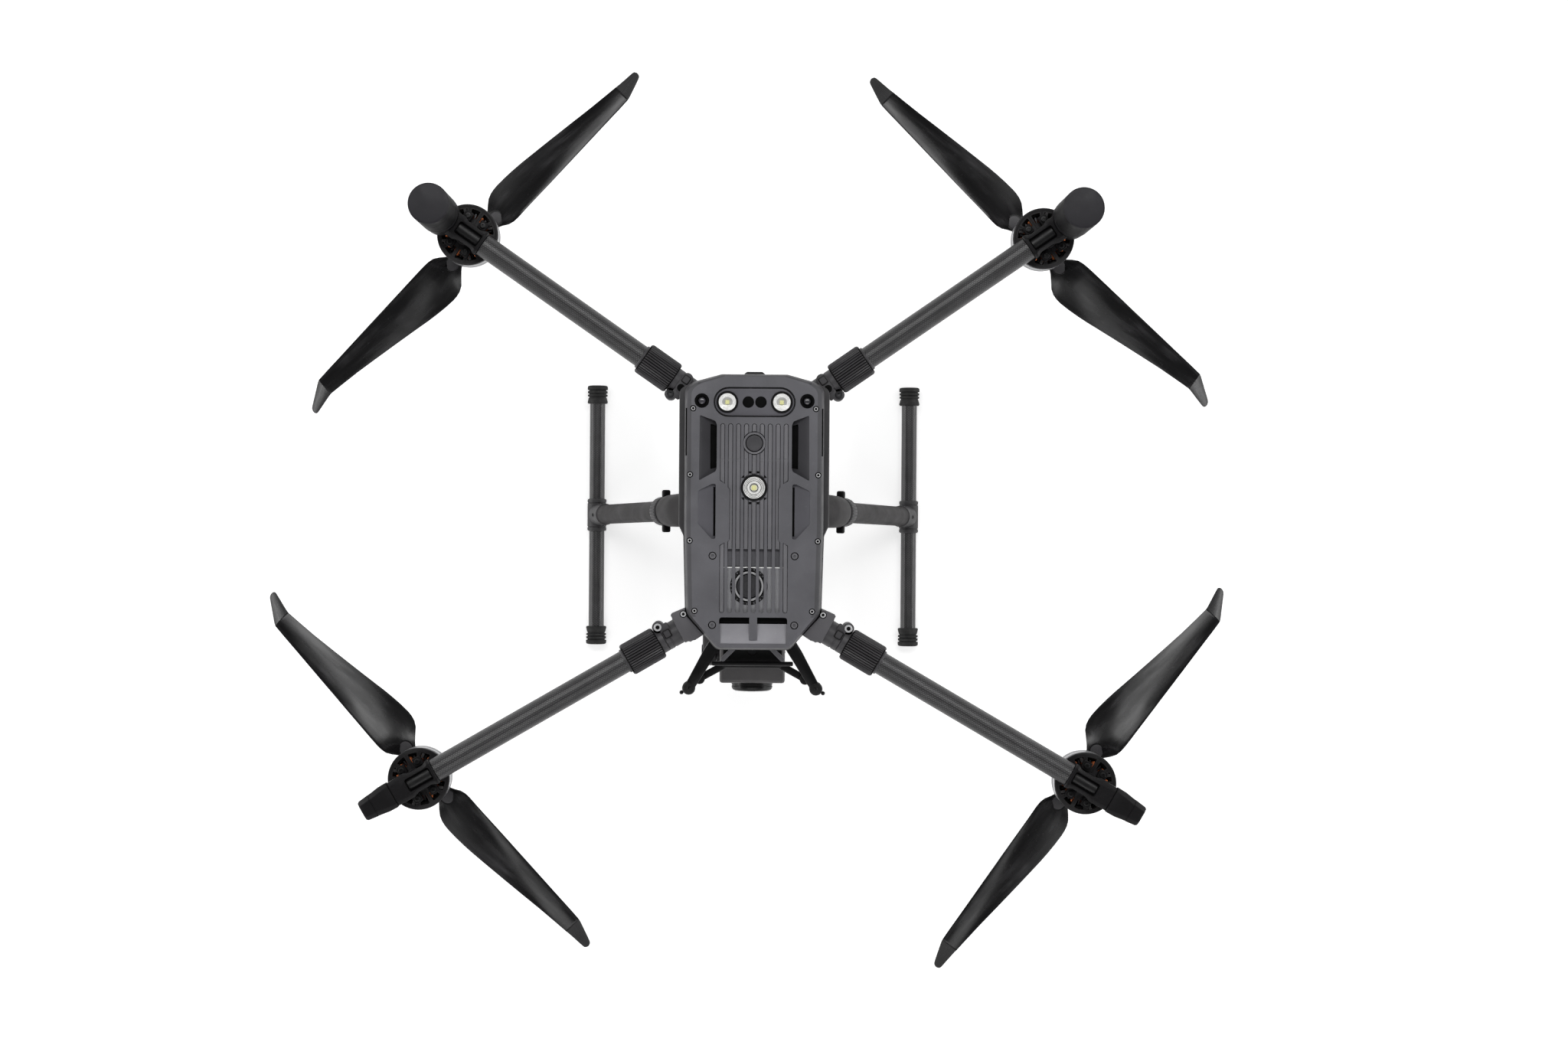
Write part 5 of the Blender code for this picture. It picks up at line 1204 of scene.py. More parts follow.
        # Deep black ring in the gap round each cap screw: painted shade.
        gap = lathe([(4.3, 1.2), (3.4, 1), (3.4, 0), (4.3, 0)], sides=32)
        piece.repeat(BLACK_AND_SHADE, gap, spots)
        piece.add(FIN_GREY, lathe([
            (11.7, top - 1), (11.6, top + 0.2), (11.1, top + 0.6), (9.8, top + 0.2), (9.4, top - 1.2),
        ], at(0, self.button_y)))
        for side in (-1, 1):
            place = at(side * self.stereo[0], self.stereo[1], top)
            piece.add(BLACK_AND_SHADE, lathe([
                (0, -4), (4, -4), (4.6, -1.6), (7, 0.5), (7.7, 0.2), (7.7, -5.5), (0, -5.5),
            ], place))
            piece.add(GREY_GLASS, lathe([
                (0, -2.2), (1.6, -2.3), (3, -2.7), (3.7, -3.3), (3.7, -3.8), (0, -3.8),
            ], place))
            # Deep black liners in the scoop's deep slot and the pocket's slit: painted shade.
            slot = [(47.1, 94.3), (40.5, 92.3), (40.5, 47.7), (47.1, 45.7)]
            piece.add(BLACK_AND_SHADE, prism(mirrored(slot, side), top - 18.9, top - 10.4))
            piece.add(BLACK_AND_SHADE, block((side * 41.4, -26, top - 10.9), (side * 43.5, 26.3, top - 6.2), 0.2))
            piece.add(BLACK_AND_SHADE, block((side * 72.4, 60, top - 12), (side * 73.8, 111, top - 2.2), 0.3))
            for way in (-1, 1):
                spot = at(side * 4.25, self.beacon_y + way * 16.5, top)
                piece.add(BLACK_AND_SHADE, block((-1.4, -1.2, -1), (1.4, 1.2, 0.08), 0.1, spot))
                notch = [(0, 0), (3.4, 0), (0, 3.4)]
                notch = [(side * (10.6 + a), self.beacon_y + way * (10.6 + b)) for a, b in notch]
                piece.add(BLACK_AND_SHADE, prism(notch, top - 1, top + 0.06))
        # Deep black liner in the nose slot: painted shade.
        piece.add(BLACK_AND_SHADE, block((-36.2, -120, top - 13.9), (36.2, -113.6, top - 8.5), 0.4))
        piece.add(COVER_GREY, block((-4.2, -137.6, top - 6), (4.2, -112.4, top - 0.1), 0.6))

    def heat_sink(self) -> None:
        """Build the bars that stand in the slots, and the plate and fan shroud below the front ones."""
        top, base = self.top, self.base
        cutters = [
            drum(12.7, base - PAST, top + PAST, at(0, self.button_y)),
            drum(15.2, base - PAST, top + PAST, at(0, self.beacon_y)),
            block((-60, 54.2, top - 0.6), (60, 57, top + PAST), 0.2),
        ]
        piece = Piece("heat_sink_bars", "airframe", Slot.SINK)
        for plan in self.slot_plans(0.48):
            bar = pillow(plan, base - 0.2, top - 0.3, 0.4, both=False)
            piece.add(FIN_GREY, bar.cut(*cutters))
        piece.add(SHELL_GREY, block((-39.5, -39.5, base - 3.2), (39.5, 96, base - 0.4), 0.6))
        fan_x, fan_y = self.fan
        plate = block((-40, -111.2, 358), (40, -59.2, 360), 0.4)
        plate.cut(drum(13.6, 340, 370, at(fan_x, fan_y)))
        piece.add(PLATE, plate)
        piece.add(COVER_GREY, block((-40, -58.6, 356), (40, -39.2, 359), 0.4))
        # Thin white strip in the bowl finish, which carries its painted glow.
        piece.add(BOWL, block((-33, -60.4, 359.2), (33, -59.2, 360.3), 0.2))
        for outer, inner, high, finish in (
            (20.2, 17.4, 360.6, JET), (17.3, 16, 360.3, BLACK_AND_SHADE), (15.9, 14.1, 360.9, NICKEL_AND_BOWL_SHADE),
        ):
            piece.add(finish, lathe([
                (outer, 356), (outer, high - 0.3), (outer - 0.3, high), (inner + 0.3, high),
                (inner, high - 0.3), (inner, 356),
            ], at(fan_x, fan_y)))
        tooth = block((17.8, -0.7, 360.2), (19.8, 0.7, 360.8), 0.2)
        turns = [at(fan_x, fan_y) @ turn for turn in around(30)]
        piece.repeat(COVER_GREY, tooth, turns)
        piece.done("heat_sink")

    def lamp_panel(self) -> None:
        """Build the tail panel with two lamps and two round windows."""
        top = self.top
        plan = oblong(self.panel_half, self.panel_radius)
        bed = pillow(plan, top - 8, top - 1.2, 0.6, at(0, self.panel_y))
        levels = [(0.995, 0.988, -3), (0.995, 0.988, -0.2), (0.985, 0.960, 0.2)]
        levels += [(0.972, 0.925, -0.4), (0.968, 0.915, -3)]
        rings = [[(x * a, y * b, z) for x, y in plan] for a, b, z in levels]
        rim = loft(rings, at(0, self.panel_y, top), closed=True)
        piece = Piece("tail_lamp_panel", "airframe", Slot.BLACK)
        cutters = []
        for side in (-1, 1):
            cutters.append(drum(11.7, top - 7.2, top + PAST, at(side * self.lamp_x, self.panel_y)))
            cutters.append(drum(6.2, top - 4.5, top + PAST, at(side * self.window_x, self.panel_y)))
        piece.add(POCKET_SHADE_AND_PANEL_GREY, bed.cut(*cutters))
        piece.add(JET, rim)
        for side in (-1, 1):
            place = at(side * self.lamp_x, self.panel_y, top)
            self.lamp(piece, place, 11.7, 9.4, 2.2)
            place = at(side * self.window_x, self.panel_y, top)
            piece.add(BLACK_AND_SHADE, lathe([
                (0, -0.8), (4, -0.8), (5.6, -1), (6.1, -1.4), (6.1, -4.4), (0, -4.4),
            ], place))
        piece.done("lamp_panel")

    def lamp(self, piece: Piece, place: Matrix, outer: float, bowl: float, chip: float) -> None:
        """Add one lamp: black ring, bright bowl and chip.

        Args:
            piece: The piece that carries the lamp.
            place: Frame on the lamp's face.
            outer: Outer radius of the ring.
            bowl: Radius of the bowl's edge.
            chip: Half width of the chip.
        """
        piece.add(CAN_SHADE_AND_RING_BLACK, lathe([
            (outer, -7), (outer, 0.2), (outer - 0.5, 0.6), (bowl + 0.8, 0.6), (bowl, 0), (bowl, -7),
        ], place))
        steps = [(0, -5.2), (chip * 1.5, -5.2)]
        for i in range(6):
            radius = chip * 1.7 + (bowl - chip * 1.7) * i / 6
            steps += [(radius, -5 + 0.7 * i), (radius + 0.9, -4.7 + 0.7 * i)]
        steps += [(bowl - 0.1, -0.7), (bowl - 0.1, -6.9), (0, -6.9)]

        def bowl_shade(spot: Vector, _: Vector) -> Finish | None:
            """Return painted shade, in nickel grey, for the upper inner part of the bowl."""
            off = spot.xy - place.translation.xy
            return NICKEL_AND_BOWL_SHADE if off.length < bowl * 0.56 and off.y > bowl * -0.30 else None

        # Bowl with its painted glow, and painted shade in nickel grey on its upper inner part.
        piece.add(BOWL, lathe(steps, place), paint=bowl_shade)
        piece.add(CHIP, pillow(block_plan(chip, chip, chip * 0.35), -5.4, -3.2, 0.4, place))

    def beacon(self) -> None:
        """Build the beacon: stepped black rings round a bright bowl."""
        piece = Piece("beacon_rings", "airframe", Slot.LENS)
        place = at(0, self.beacon_y, self.top)
        piece.add(CAN_SHADE_AND_RING_BLACK, lathe([
            (14.2, -5.8), (14.2, 0.4), (13.6, 0.8), (12.6, 0.4), (11.9, -1), (11.9, -5.8),
        ], place))
        # White rings and bowl in the bowl finish, with its painted glow.
        for radius, level in ((11.7, -0.6), (10.3, -1), (8.9, -1.4)):
            piece.add(BOWL, lathe([
                (radius, -5.8), (radius, level - 0.3), (radius - 0.3, level), (radius - 0.9, level - 0.2),
                (radius - 0.9, -5.8),
            ], place))
            piece.add(JET, lathe([
                (radius - 0.9, -5.8), (radius - 0.9, level - 0.6), (radius - 1.4, level - 0.8),
                (radius - 1.4, -5.8),
            ], place))
        piece.add(BOWL, lathe([
            (0, -4.4), (3, -4.4), (4.6, -3.6), (6.2, -2.4), (7.3, -1.4), (7.3, -5.8), (0, -5.8),
        ], place))
        piece.add(DARK_STEEL, lathe([(4.6, -4.4), (4.6, -3), (4.1, -2.8), (3.8, -3.2), (3.8, -4.4)], place))
        piece.add(CHIP, pillow(block_plan(2.6, 2.6, 1), -4.6, -2.6, 0.5, place))
        piece.done("beacon_lamp")

    def button(self) -> None:
        """Build the dished power button."""
        profile = [(0, 0.9), (6, 1), (7.8, 1.3), (8.4, 1.2), (8.6, 0.7), (8.6, -6), (0, -6)]
        piece = Piece("power_button_cap", "button", Slot.SHELL)
        piece.add(BUTTON_GREY, lathe(profile, at(0, self.button_y, self.top)))
        piece.done("power_button")

    def cooling_fan(self) -> None:
        """Build the ringed fan with its swept blades."""
        piece = Piece("fan_wheel", "fan", Slot.BLACK)
        place = at(self.fan[0], self.fan[1], self.fan_seat)
        high = self.fan_height
        piece.add(BELL_METAL, hoop(17.8, 19, 0, high, place))
        piece.add(JET, lathe([
            (0, high + 15), (4, high + 15), (4, high), (6.6, high), (7.5, high - 1), (7.5, 0), (2, 0),
            (2, -3), (0, -3),
        ], place))
        piece.add(BUTTON_GREY, lathe([
            (0, 27.6), (6, 27.5), (6.2, 27.1), (10.8, 27.1), (11, 27.5), (12.2, 27.4), (12.7, 26.8),
            (12.7, 25.5), (0, 25.5),
        ], place))
        rings = []
        for share in (0, 0.33, 0.66, 1.0):
            radius = 7 + 11.2 * share
            lean = 0.9 * share
            pitch = radians(46 - 16 * share)
            ring_points = []
            for along_chord, thick in ((-0.5, 0), (0, 0.5), (0.5, 0), (0, -0.3)):
                chord = 7 * along_chord
                x, y = radius, chord * cos(pitch)
                z = high / 2 + chord * sin(pitch) + thick
                swing = Matrix.Rotation(lean, 3, "Z")
                ring_points.append(tuple(swing @ Vector((x, y, z))))
            rings.append(ring_points)
        blade = loft(rings)
        turns = [place @ turn for turn in around(9)]
        piece.repeat(JET, blade, turns, angle=50)
        piece.done("cooling_fan")

    def walls(self, arms: Sequence["Arm"]) -> None:
        """Build the centre frame: the walls, the tail nub and the four arm roots."""
        low, high = self.tub_top + FIT, self.base - FIT
        radii = [8, 8, 10, 6, 6, 14, 10]
        outline = fillet(both_sides(self.wall_half), radii + radii[::-1], 5)
        piece = Piece("centre_frame_walls", "airframe", Slot.SHELL)
        wall = pillow(outline, low, high, 1.8)
        seam = loft([
            [(x * a, y * a, z) for x, y in outline]
            for a, z in ((1.01, 318), (0.992, 318), (0.992, 319.2), (1.01, 319.2))
        ], closed=True)
        wall.cut(seam)
        tools = []
        for side in (-1, 1):
            for i in range(6):
                y = 45 - i * 11
                plan = [(y, 301), (y - 4, 301), (y - 8.5, 315), (y - 4.5, 315)]
                tools.append(prism(plan, side * 78.5, side * 90, ALONG_X))
        wall.cut(*tools)
        piece.add(SHELL_GREY, wall)
        nub = fillet([(15.5, 146), (8.5, 152.2), (-8.5, 152.2), (-15.5, 146)], 2.2, 5)
        piece.add(JET, pillow(nub, 315, 330, 1.5))
        for arm in arms:
            arm.root(piece)
        piece.done("center_frame")

    def tub(self) -> None:
        """Build the lower tub with its battery bays, leg sockets, belly plate and side vents."""
        def inset(amount: float) -> Plan:
            """Return the wall outline drawn in."""
            shrink = [
                (x - amount * (x > 40), y - amount * (1 if y > 0 else -1) * (abs(y) > 130))
                for x, y in self.wall_half
            ]
            return fillet(both_sides(shrink), 8, 4)

        low, high = self.belly_z, self.tub_top
        levels = [(7.5, low), (6, low + 0.4), (1.2, low + 8.6), (0, low + 11.2), (0, high - 1), (1, high)]
        tub = loft([[(x, y, z) for x, y in inset(amount)] for amount, z in levels])
        tools = []
        sockets = []
        for side in (-1, 1):
            bay_end = (side * self.bay_x[1], 170, self.bay_z[1])
            tools.append(block((side * self.bay_x[0], self.bay_y, self.bay_z[0]), bay_end, 1.2))
            top, foot = LandingLeg(side).ends()
            frame = along(top - (foot - top).normalized() * 42, foot)
            sockets.append(lathe([
                (0, 0), (10, 0), (17.6, 26), (18.6, 34), (18.2, 54), (17.8, 64.5), (17.2, 67.5), (16.2, 68),
                (12.2, 68), (12.2, 54), (0, 54),
            ], frame))
            for i in range(7):
                y = -45 - i * 8.5
                plan = [(y, 262), (y - 3.5, 262), (y - 7.5, 282), (y - 4, 282)]
                tools.append(prism(plan, side * 70.5, side * 90, ALONG_X))
        tub.cut(*tools)
        piece = Piece("lower_tub_shell", "airframe", Slot.SHELL)
        piece.add(SHELL_GREY, tub)
        piece.add(LEG_GREY, *sockets)
        plate = fillet(both_sides([(42, -88), (54, -76), (54, 116), (42, 128)]), 4, 4)
        piece.add(MOUNT_GREY, pillow(plate, self.belly_z - 2, self.belly_z + 1, 0.8))
        rows = (-70, 20, 110)
        spots = [at(sx * 45, y, self.belly_z - 1.8) @ FLIP for sx in (-1, 1) for y in rows]
        piece.repeat(DARK_STEEL, cap_screw(3.2, 1.2, 1.6), spots)
        piece.done("lower_tub")

    def battery(self, side: int) -> None:
        """Build one battery pack with its ribbed rear end, grip and level lights."""
        name = "left" if side < 0 else "right"
        start, end = side * (self.bay_x[0] + RUN), side * (self.bay_x[1] - RUN)
        floor, roof = self.bay_z[0] + RUN, self.bay_z[1] - RUN
        middle = (start + end) / 2
        piece = Piece(f"battery_pack_{name}", f"pack_{name}", Slot.BLACK)
        piece.add(MOUNT_GREY, block((start, self.bay_y + RUN, floor), (end, 138, roof), 3))
        rib = block((-22, -1, -0.8), (22, 1.2, 0.8), 0.6)
        piece.repeat(MOUNT_GREY, rib, [at(middle, 137.2, floor + 6 + i * 4.2) for i in range(3)])
        grip_end = (TO_MODEL.inverted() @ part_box(f"battery_{name}")[1]).y
        piece.add(SHELL_GREY, block((middle - 15, 136, 261.5), (middle + 15, grip_end, 276.5), 2.5))
        lights = [at(middle + (i - 1.5) * 6, 137.8, roof - 6) @ ALONG_Y for i in range(4)]
        piece.repeat(GREY_GLASS, drum(1.2, 0, 0.6, edge=0.2, sides=16), lights)
        piece.done(f"battery_{name}")


# Arms


@dataclass
class Arm:
    """One folding arm, drawn in its pivot frame: origin on the pin, X outward, Z up."""

    end: End
    side: int
    dihedral: float = radians(6)
    collar: float = 13.8
    collar_length: float = 22.0
    knuckle: float = 6.2
    knuckle_half: float = 13.0
    knuckle_middle: float = 6.0
    pin: float = 2.6
    coupling: float = 50.0
    insert: float = 26.0
    tube_radius: float = 12.35
    sleeve_start: float = 7.5
    sleeve_length: float = 40.0
    seat_drop: float = 16.5
    antenna_out: float = 33.5
    antenna_radius: float = 21.6
    antenna_top: float = 430.0
    blade_level: float = 62.0
    blade_pin: float = 21.5
    lug: float = 8.5
    tip_radius: float = 265.0
    fold_start: float = 232.5
    fold_edge: float = 19.0
    fold_way: Pair = (0.996, 0.087)
    fold_slope: float = 0.74
    # Radius, leading edge, trailing edge, slope in degrees and height of the blade.
    stations: list[tuple[float, ...]] = field(default_factory=lambda: [
        (25, 7.5, -7.5, 0, 0), (30, 8.6, -9.2, 1.0, 0), (34, 10.8, -12.2, 3.5, 0.2),
        (40, 15.5, -17.5, 12.0, 1), (46, 18.4, -22.5, 23.0, 2.2), (52, 19.3, -25.2, 26.5, 2.8),
        (58, 19.5, -26.3, 28.0, 3.2), (64, 19.5, -26.6, 28.3, 3.3), (76, 19.5, -25.9, 27.0, 3),
        (88, 19.5, -24.6, 25.0, 2.6), (100, 19.5, -22.9, 23.0, 2.1), (112, 19.5, -20.8, 21.0, 1.7),
        (130, 19.4, -17.7, 18.3, 1.1), (148, 19.4, -14.6, 15.8, 0.4), (172, 19.3, -10.5, 12.5, -0.6),
        (196, 19.2, -6.4, 9.3, -1.8), (220, 19.2, -3, 7.2, -3.4), (232, 19, -1.4, 6.5, -4.2),
        (235, 18.3, -1.1, 6.3, -4.5), (238, 17.2, -1, 6.0, -4.7), (244, 14.8, -1.1, 5.0, -5),
        (250, 12.4, -1.3, 4.0, -5.2), (256, 10, -1.5, 3.0, -5.3), (261, 7.9, -1.6, 2.0, -5.4),
        (263.2, 6.6, -1.2, 1.5, -5.5), (264.4, 5, 0, 1.0, -5.5), (265, 3.4, 1.4, 0, -5.5),
    ])

    def __post_init__(self) -> None:
        """Work out the frames of the arm."""
        rear = self.end is End.REAR
        self.name = f"{self.end.value}_{'left' if self.side < 0 else 'right'}"
        self.body = f"arm_{self.name}"
        motor = (314, 300) if rear else (359, -290)
        split = (83.1, 140.9) if rear else (95.5, -138)
        self.hinge_z = 311 if rear else 337
        offset = 15.7 if rear else 14.7
        way = Vector(((motor[0] - split[0]) * self.side, motor[1] - split[1]))
        self.yaw = atan2(way.y, way.x)
        self.fold = -self.side if rear else self.side
        rise = way.length * tan(self.dihedral)
        turn = turned(self.yaw)
        self.pivot = at(split[0] * self.side, split[1], self.hinge_z) @ turn @ at(0, self.fold * offset)
        self.axis_y = -self.fold * offset
        self.tilt = at(0, self.axis_y) @ turned(-self.dihedral, "Y")
        self.slant = way.length / cos(self.dihedral)
        self.motor = at(way.length, self.axis_y, rise - self.seat_drop - FIT)
        self.motor_z = self.hinge_z + rise - self.seat_drop - FIT
        self.toward = (46, 110) if rear else (46, -98)
        self.spin = 1 if self.name in ("rear_right", "front_left") else -1
        angles = {
            "rear_left": (47.1, 226.1), "rear_right": (132.9, 317.4), "front_left": (130.7, 311.6),
            "front_right": (51.1, 236.0),
        }
        self.blade_turns = [radians(a) - self.yaw for a in angles[self.name]]
        leans = {
            "rear_left": (0.9, 0.45), "rear_right": (0.4, 0.55), "front_left": (1.3, 0),
            "front_right": (0.9, -0.1),
        }
        self.lean = leans[self.name]
        self.hub_turn = (self.blade_turns[0] + self.blade_turns[1] - pi) / 2

    def build(self) -> None:
        """Build every piece of the arm."""
        self.make_coupling()
        self.make_tube()
        self.make_sleeve()
        self.make_mount()
        self.make_stator()
        if self.end is End.REAR:
            self.make_antenna()
        else:
            self.make_nose_cap()
        self.make_rotor()
        for index, letter in enumerate("ab"):
            self.make_blade(index, letter)

    def knuckle_plan(self, way: int) -> Plan:
        """Return one hinge knuckle: round at the pin, with a web to the arm axis."""
        gap = FIT if way > 0 else 2 * FIT
        bend = arc(self.knuckle, 16, (0, 0), 0 if way > 0 else pi, self.fold * pi * way)
        return bend + [
            (-way * self.knuckle, -self.fold * gap), (way * gap, -self.fold * gap),
            (way * gap, self.axis_y), (way * self.knuckle, self.axis_y),
        ]

    def root(self, piece: Piece) -> None:
        """Add the arm root to the centre frame: faceted block, collar, knuckles, pin and top boss.

        Args:
            piece: The centre frame.
        """
        level = at(0, self.axis_y) @ ALONG_X
        length = self.collar_length
        collar = lathe([
            (0, -length - 4), (self.collar, -length - 4), (self.collar, -7.5), (self.collar - 0.6, -7),
            (self.collar - 0.6, -6), (self.collar, -5.5), (self.collar, -0.8),
            (self.collar - 0.6, -FIT / 2), (0, -FIT / 2),
        ], level)
        notch = self.knuckle_middle + FIT / 2
        collar.cut(drum(self.knuckle + RUN, -notch, notch))
        section = chamfered(16.5, 15, 5, 1.2, 2)
        inner = self.pivot.inverted() @ Vector((self.toward[0] * self.side, self.toward[1], self.hinge_z))
        floor = Fuselage.tub_top + FIT - self.hinge_z + 1
        ceiling = Fuselage.base - FIT - self.hinge_z - 1
        flat = [(y, min(max(z, floor), ceiling)) for y, z in section]
        body = loft([
            [(-length, self.axis_y + y * 0.95, z * 0.95) for y, z in section],
            [(-length - 1, self.axis_y + y, z) for y, z in section],
            [(-length - 11.9, self.axis_y + y, z) for y, z in flat],
            [(inner.x, inner.y + y, z) for y, z in flat],
        ])
        body.cut(drum(self.knuckle + RUN, -notch, notch))
        inner_z = self.knuckle_middle + FIT
        lobes = [
            pillow(self.knuckle_plan(-1), inner_z, self.knuckle_half, 0.4),
            pillow(self.knuckle_plan(-1), -self.knuckle_half, -inner_z, 0.4),
        ]
        reach = self.collar
        rear = self.end is End.REAR
        pad_y = self.axis_y + self.fold * (-7 if rear else 3.6)
        boss_y = self.axis_y * 0.42
        boss = pillow(moved(block_plan(5, abs(self.axis_y) * 0.46, 1.8), -6, boss_y), 6.8, reach - 0.6, 0.8)
        pad = pillow(moved(block_plan(4.4, 4.8, 1.8), -5.6, pad_y), 6.8, reach + 1, 0.6)
        pad.cut(prism(moved(block_plan(3.3, 3.7, 1.4), -5.6, pad_y), reach + 0.5, reach + 10))
        recess = prism(moved(block_plan(3.1, 3.5, 1.3), -5.6, pad_y), 8, reach + 0.9)
        if rear:
            plate = [(y - 6, x + self.axis_y - self.fold * 2.5) for x, y in oblong(12.5, 6.2, 10)]
            ledge = pillow(plate, 6.8, reach + 0.2, 1)
        pin = drum(self.pin, -self.knuckle_half + 1, self.knuckle_half - 1, sides=24)
        screw = ring_screw(4.2, 2.2).moved(at(0, 0, self.knuckle_half - 0.6))
        band = hoop(reach - 1, reach + 1.2, -length - 2, -length + 4.6, level)
        for solid in (collar, body, *lobes, pad, recess, boss, band, pin, screw):
            solid.moved(self.pivot)
        piece.add(COLLAR_GREY, collar, *lobes, boss, band)
        piece.add(ROOT_GREY, body)
        piece.add(JET, pad)
        piece.add(COLLAR_GREY, recess)
        piece.add(STEEL, pin)
        piece.add(DARK_STEEL if rear else NICKEL_AND_BOWL_SHADE, screw)
        if rear:
            piece.add(COLLAR_GREY, ledge.moved(self.pivot))
            head = self.pivot @ at(-6, self.axis_y + self.fold * 3.6, reach)
            piece.add(BLACK_AND_SHADE, cap_screw(4.2, 1.2, 1.8).moved(head))
        else:
            # Deep black plug in the screw's hollow: painted shade.
            piece.add(BLACK_AND_SHADE, drum(2.1, 0, 1.2, self.pivot @ at(0, 0, self.knuckle_half - 0.4), sides=16))
            self.shoulder(piece)

    def shoulder(self, piece: Piece) -> None:
        """Add the flat-topped shoulder between a front root and the cover, with its screw."""
        plan = [
            (73.6, -104), (88, -110.2), (89, -112), (74.2, -139.8), (72.7, -140.7), (62, -138.4),
            (53.4, -132.7), (73.7, -110.6),
        ]
        piece.add(ROOT_GREY, pillow(mirrored(plan, self.side), 333, 353, 0.9))
        spot = at(self.side * 75.2, -110.6, 352)
        piece.add(NICKEL_AND_BOWL_SHADE, ring_screw(3, 1.8).moved(spot))
        # Deep black ring in the gap round the screw and plug in its hollow: painted shade.
        piece.add(BLACK_AND_SHADE, hoop(3.1, 4, 0, 1.1, spot, 24))
        piece.add(BLACK_AND_SHADE, drum(1.6, 0, 1.2, spot, sides=16))

    def make_coupling(self) -> None:
        """Build the hinged coupling with its barrel and middle knuckle."""
        behind = self.collar * tan(self.dihedral) + FIT
        end = self.coupling
        barrel = lathe([
            (0, end - self.insert), (self.tube_radius + FIT, end - self.insert),
            (self.tube_radius + FIT, end), (self.collar - 0.6, end), (self.collar, end - 0.8),
            (self.collar, -behind), (0, -behind),
        ], self.tilt @ ALONG_X)
        wide = 2 * self.collar
        swept = self.knuckle + RUN
        half = self.knuckle_middle
        behind_pin = [(-wide, -wide), (FIT / 2, -wide), (FIT / 2, wide), (-wide, wide)]
        barrel.cut(
            prism([(x, self.axis_y + y) for x, y in behind_pin], -wide, wide),
            drum(swept, half, self.knuckle_half + RUN), drum(swept, -self.knuckle_half - RUN, -half),
        )
        lobe = prism(self.knuckle_plan(1), -half, half)
        lobe.cut(drum(self.pin + RUN, -half * 2, half * 2, sides=24))
        barrel.cut(drum(self.pin + RUN, -half * 2, half * 2, sides=24))
        piece = Piece(f"coupling_{self.name}", self.body, Slot.SHELL)
        piece.add(COLLAR_GREY, barrel, lobe)
        piece.done(f"arm_coupling_{self.name}", place=self.pivot)

    def make_tube(self) -> None:
        """Build the woven carbon tube."""
        start = self.coupling - self.insert + FIT
        end = self.slant - 22 - FIT
        radius = self.tube_radius
        profile = [(0, start), (radius - 0.4, start), (radius, start + 0.4)]
        profile += [(radius, start + (end - start) * i / 8) for i in range(1, 8)]
        profile += [(radius, end - 0.4), (radius - 0.4, end), (0, end)]
        piece = Piece(f"tube_{self.name}", self.body, Slot.CARBON)
        piece.add(CARBON, lathe(profile, self.tilt @ ALONG_X, weave=True))
        piece.done(f"arm_tube_{self.name}", place=self.pivot)

    def sleeve_section(self, grow: float) -> Plan:
        """Return the ribbed section of the lock sleeve, with smooth ears at both sides.

        Args:
            grow: Change of the radius.

        Returns:
            The section as (across, up) points.
        """
        ear_half = radians(26)
        ribs, per_rib = 13, 6
        span = pi - 2 * ear_half
        points = []
        for base in (0, pi):
            for share, radius in ((-0.86, 17.8), (-0.60, 18.6), (0.60, 18.6), (0.86, 17.8)):
                points.append((base + ear_half * share, radius))
            for i in range(ribs * per_rib + 1):
                wave = cos(tau * i / per_rib)
                points.append((base + ear_half + span * i / (ribs * per_rib), 17.4 - 0.6 * (1 - wave)))
        return [((r + grow) * cos(a), (r + grow) * sin(a)) for a, r in points]

    def make_sleeve(self) -> None:
        """Build the ribbed lock sleeve that slides on the coupling."""
        start, end = self.sleeve_start, self.sleeve_start + self.sleeve_length
        bore = self.collar + RUN
        rings = []
        for grow, x in (
            (-1.6, start), (-0.4, start + 1.2), (0, start + 2.6), (0, end - 2.6), (-0.4, end - 1.2),
            (-1.6, end),
        ):
            rings.append([(y, z, x) for y, z in self.sleeve_section(grow)])
        inner = []
        for x in (end, start):
            ring = [Vector((y, z)).normalized() * bore for y, z in self.sleeve_section(0)]
            inner.append([(p.x, p.y, x) for p in ring])
        piece = Piece(f"sleeve_{self.name}", f"sleeve_{self.name}", Slot.BLACK)
        sleeve = loft(rings + inner, self.tilt @ ALONG_X, closed=True)
        inward = (self.tilt @ ALONG_X).inverted()

        def groove_shade(spot: Vector, _: Vector) -> Finish | None:
            """Return deep black for a groove between ribs: painted shade."""
            return BLACK_AND_SHADE if bore + 0.6 < (inward @ spot).xy.length < 16.5 else None

        piece.add(SLEEVE_GREY, sleeve, paint=groove_shade)
        piece.done(f"lock_sleeve_{self.name}", place=self.pivot)

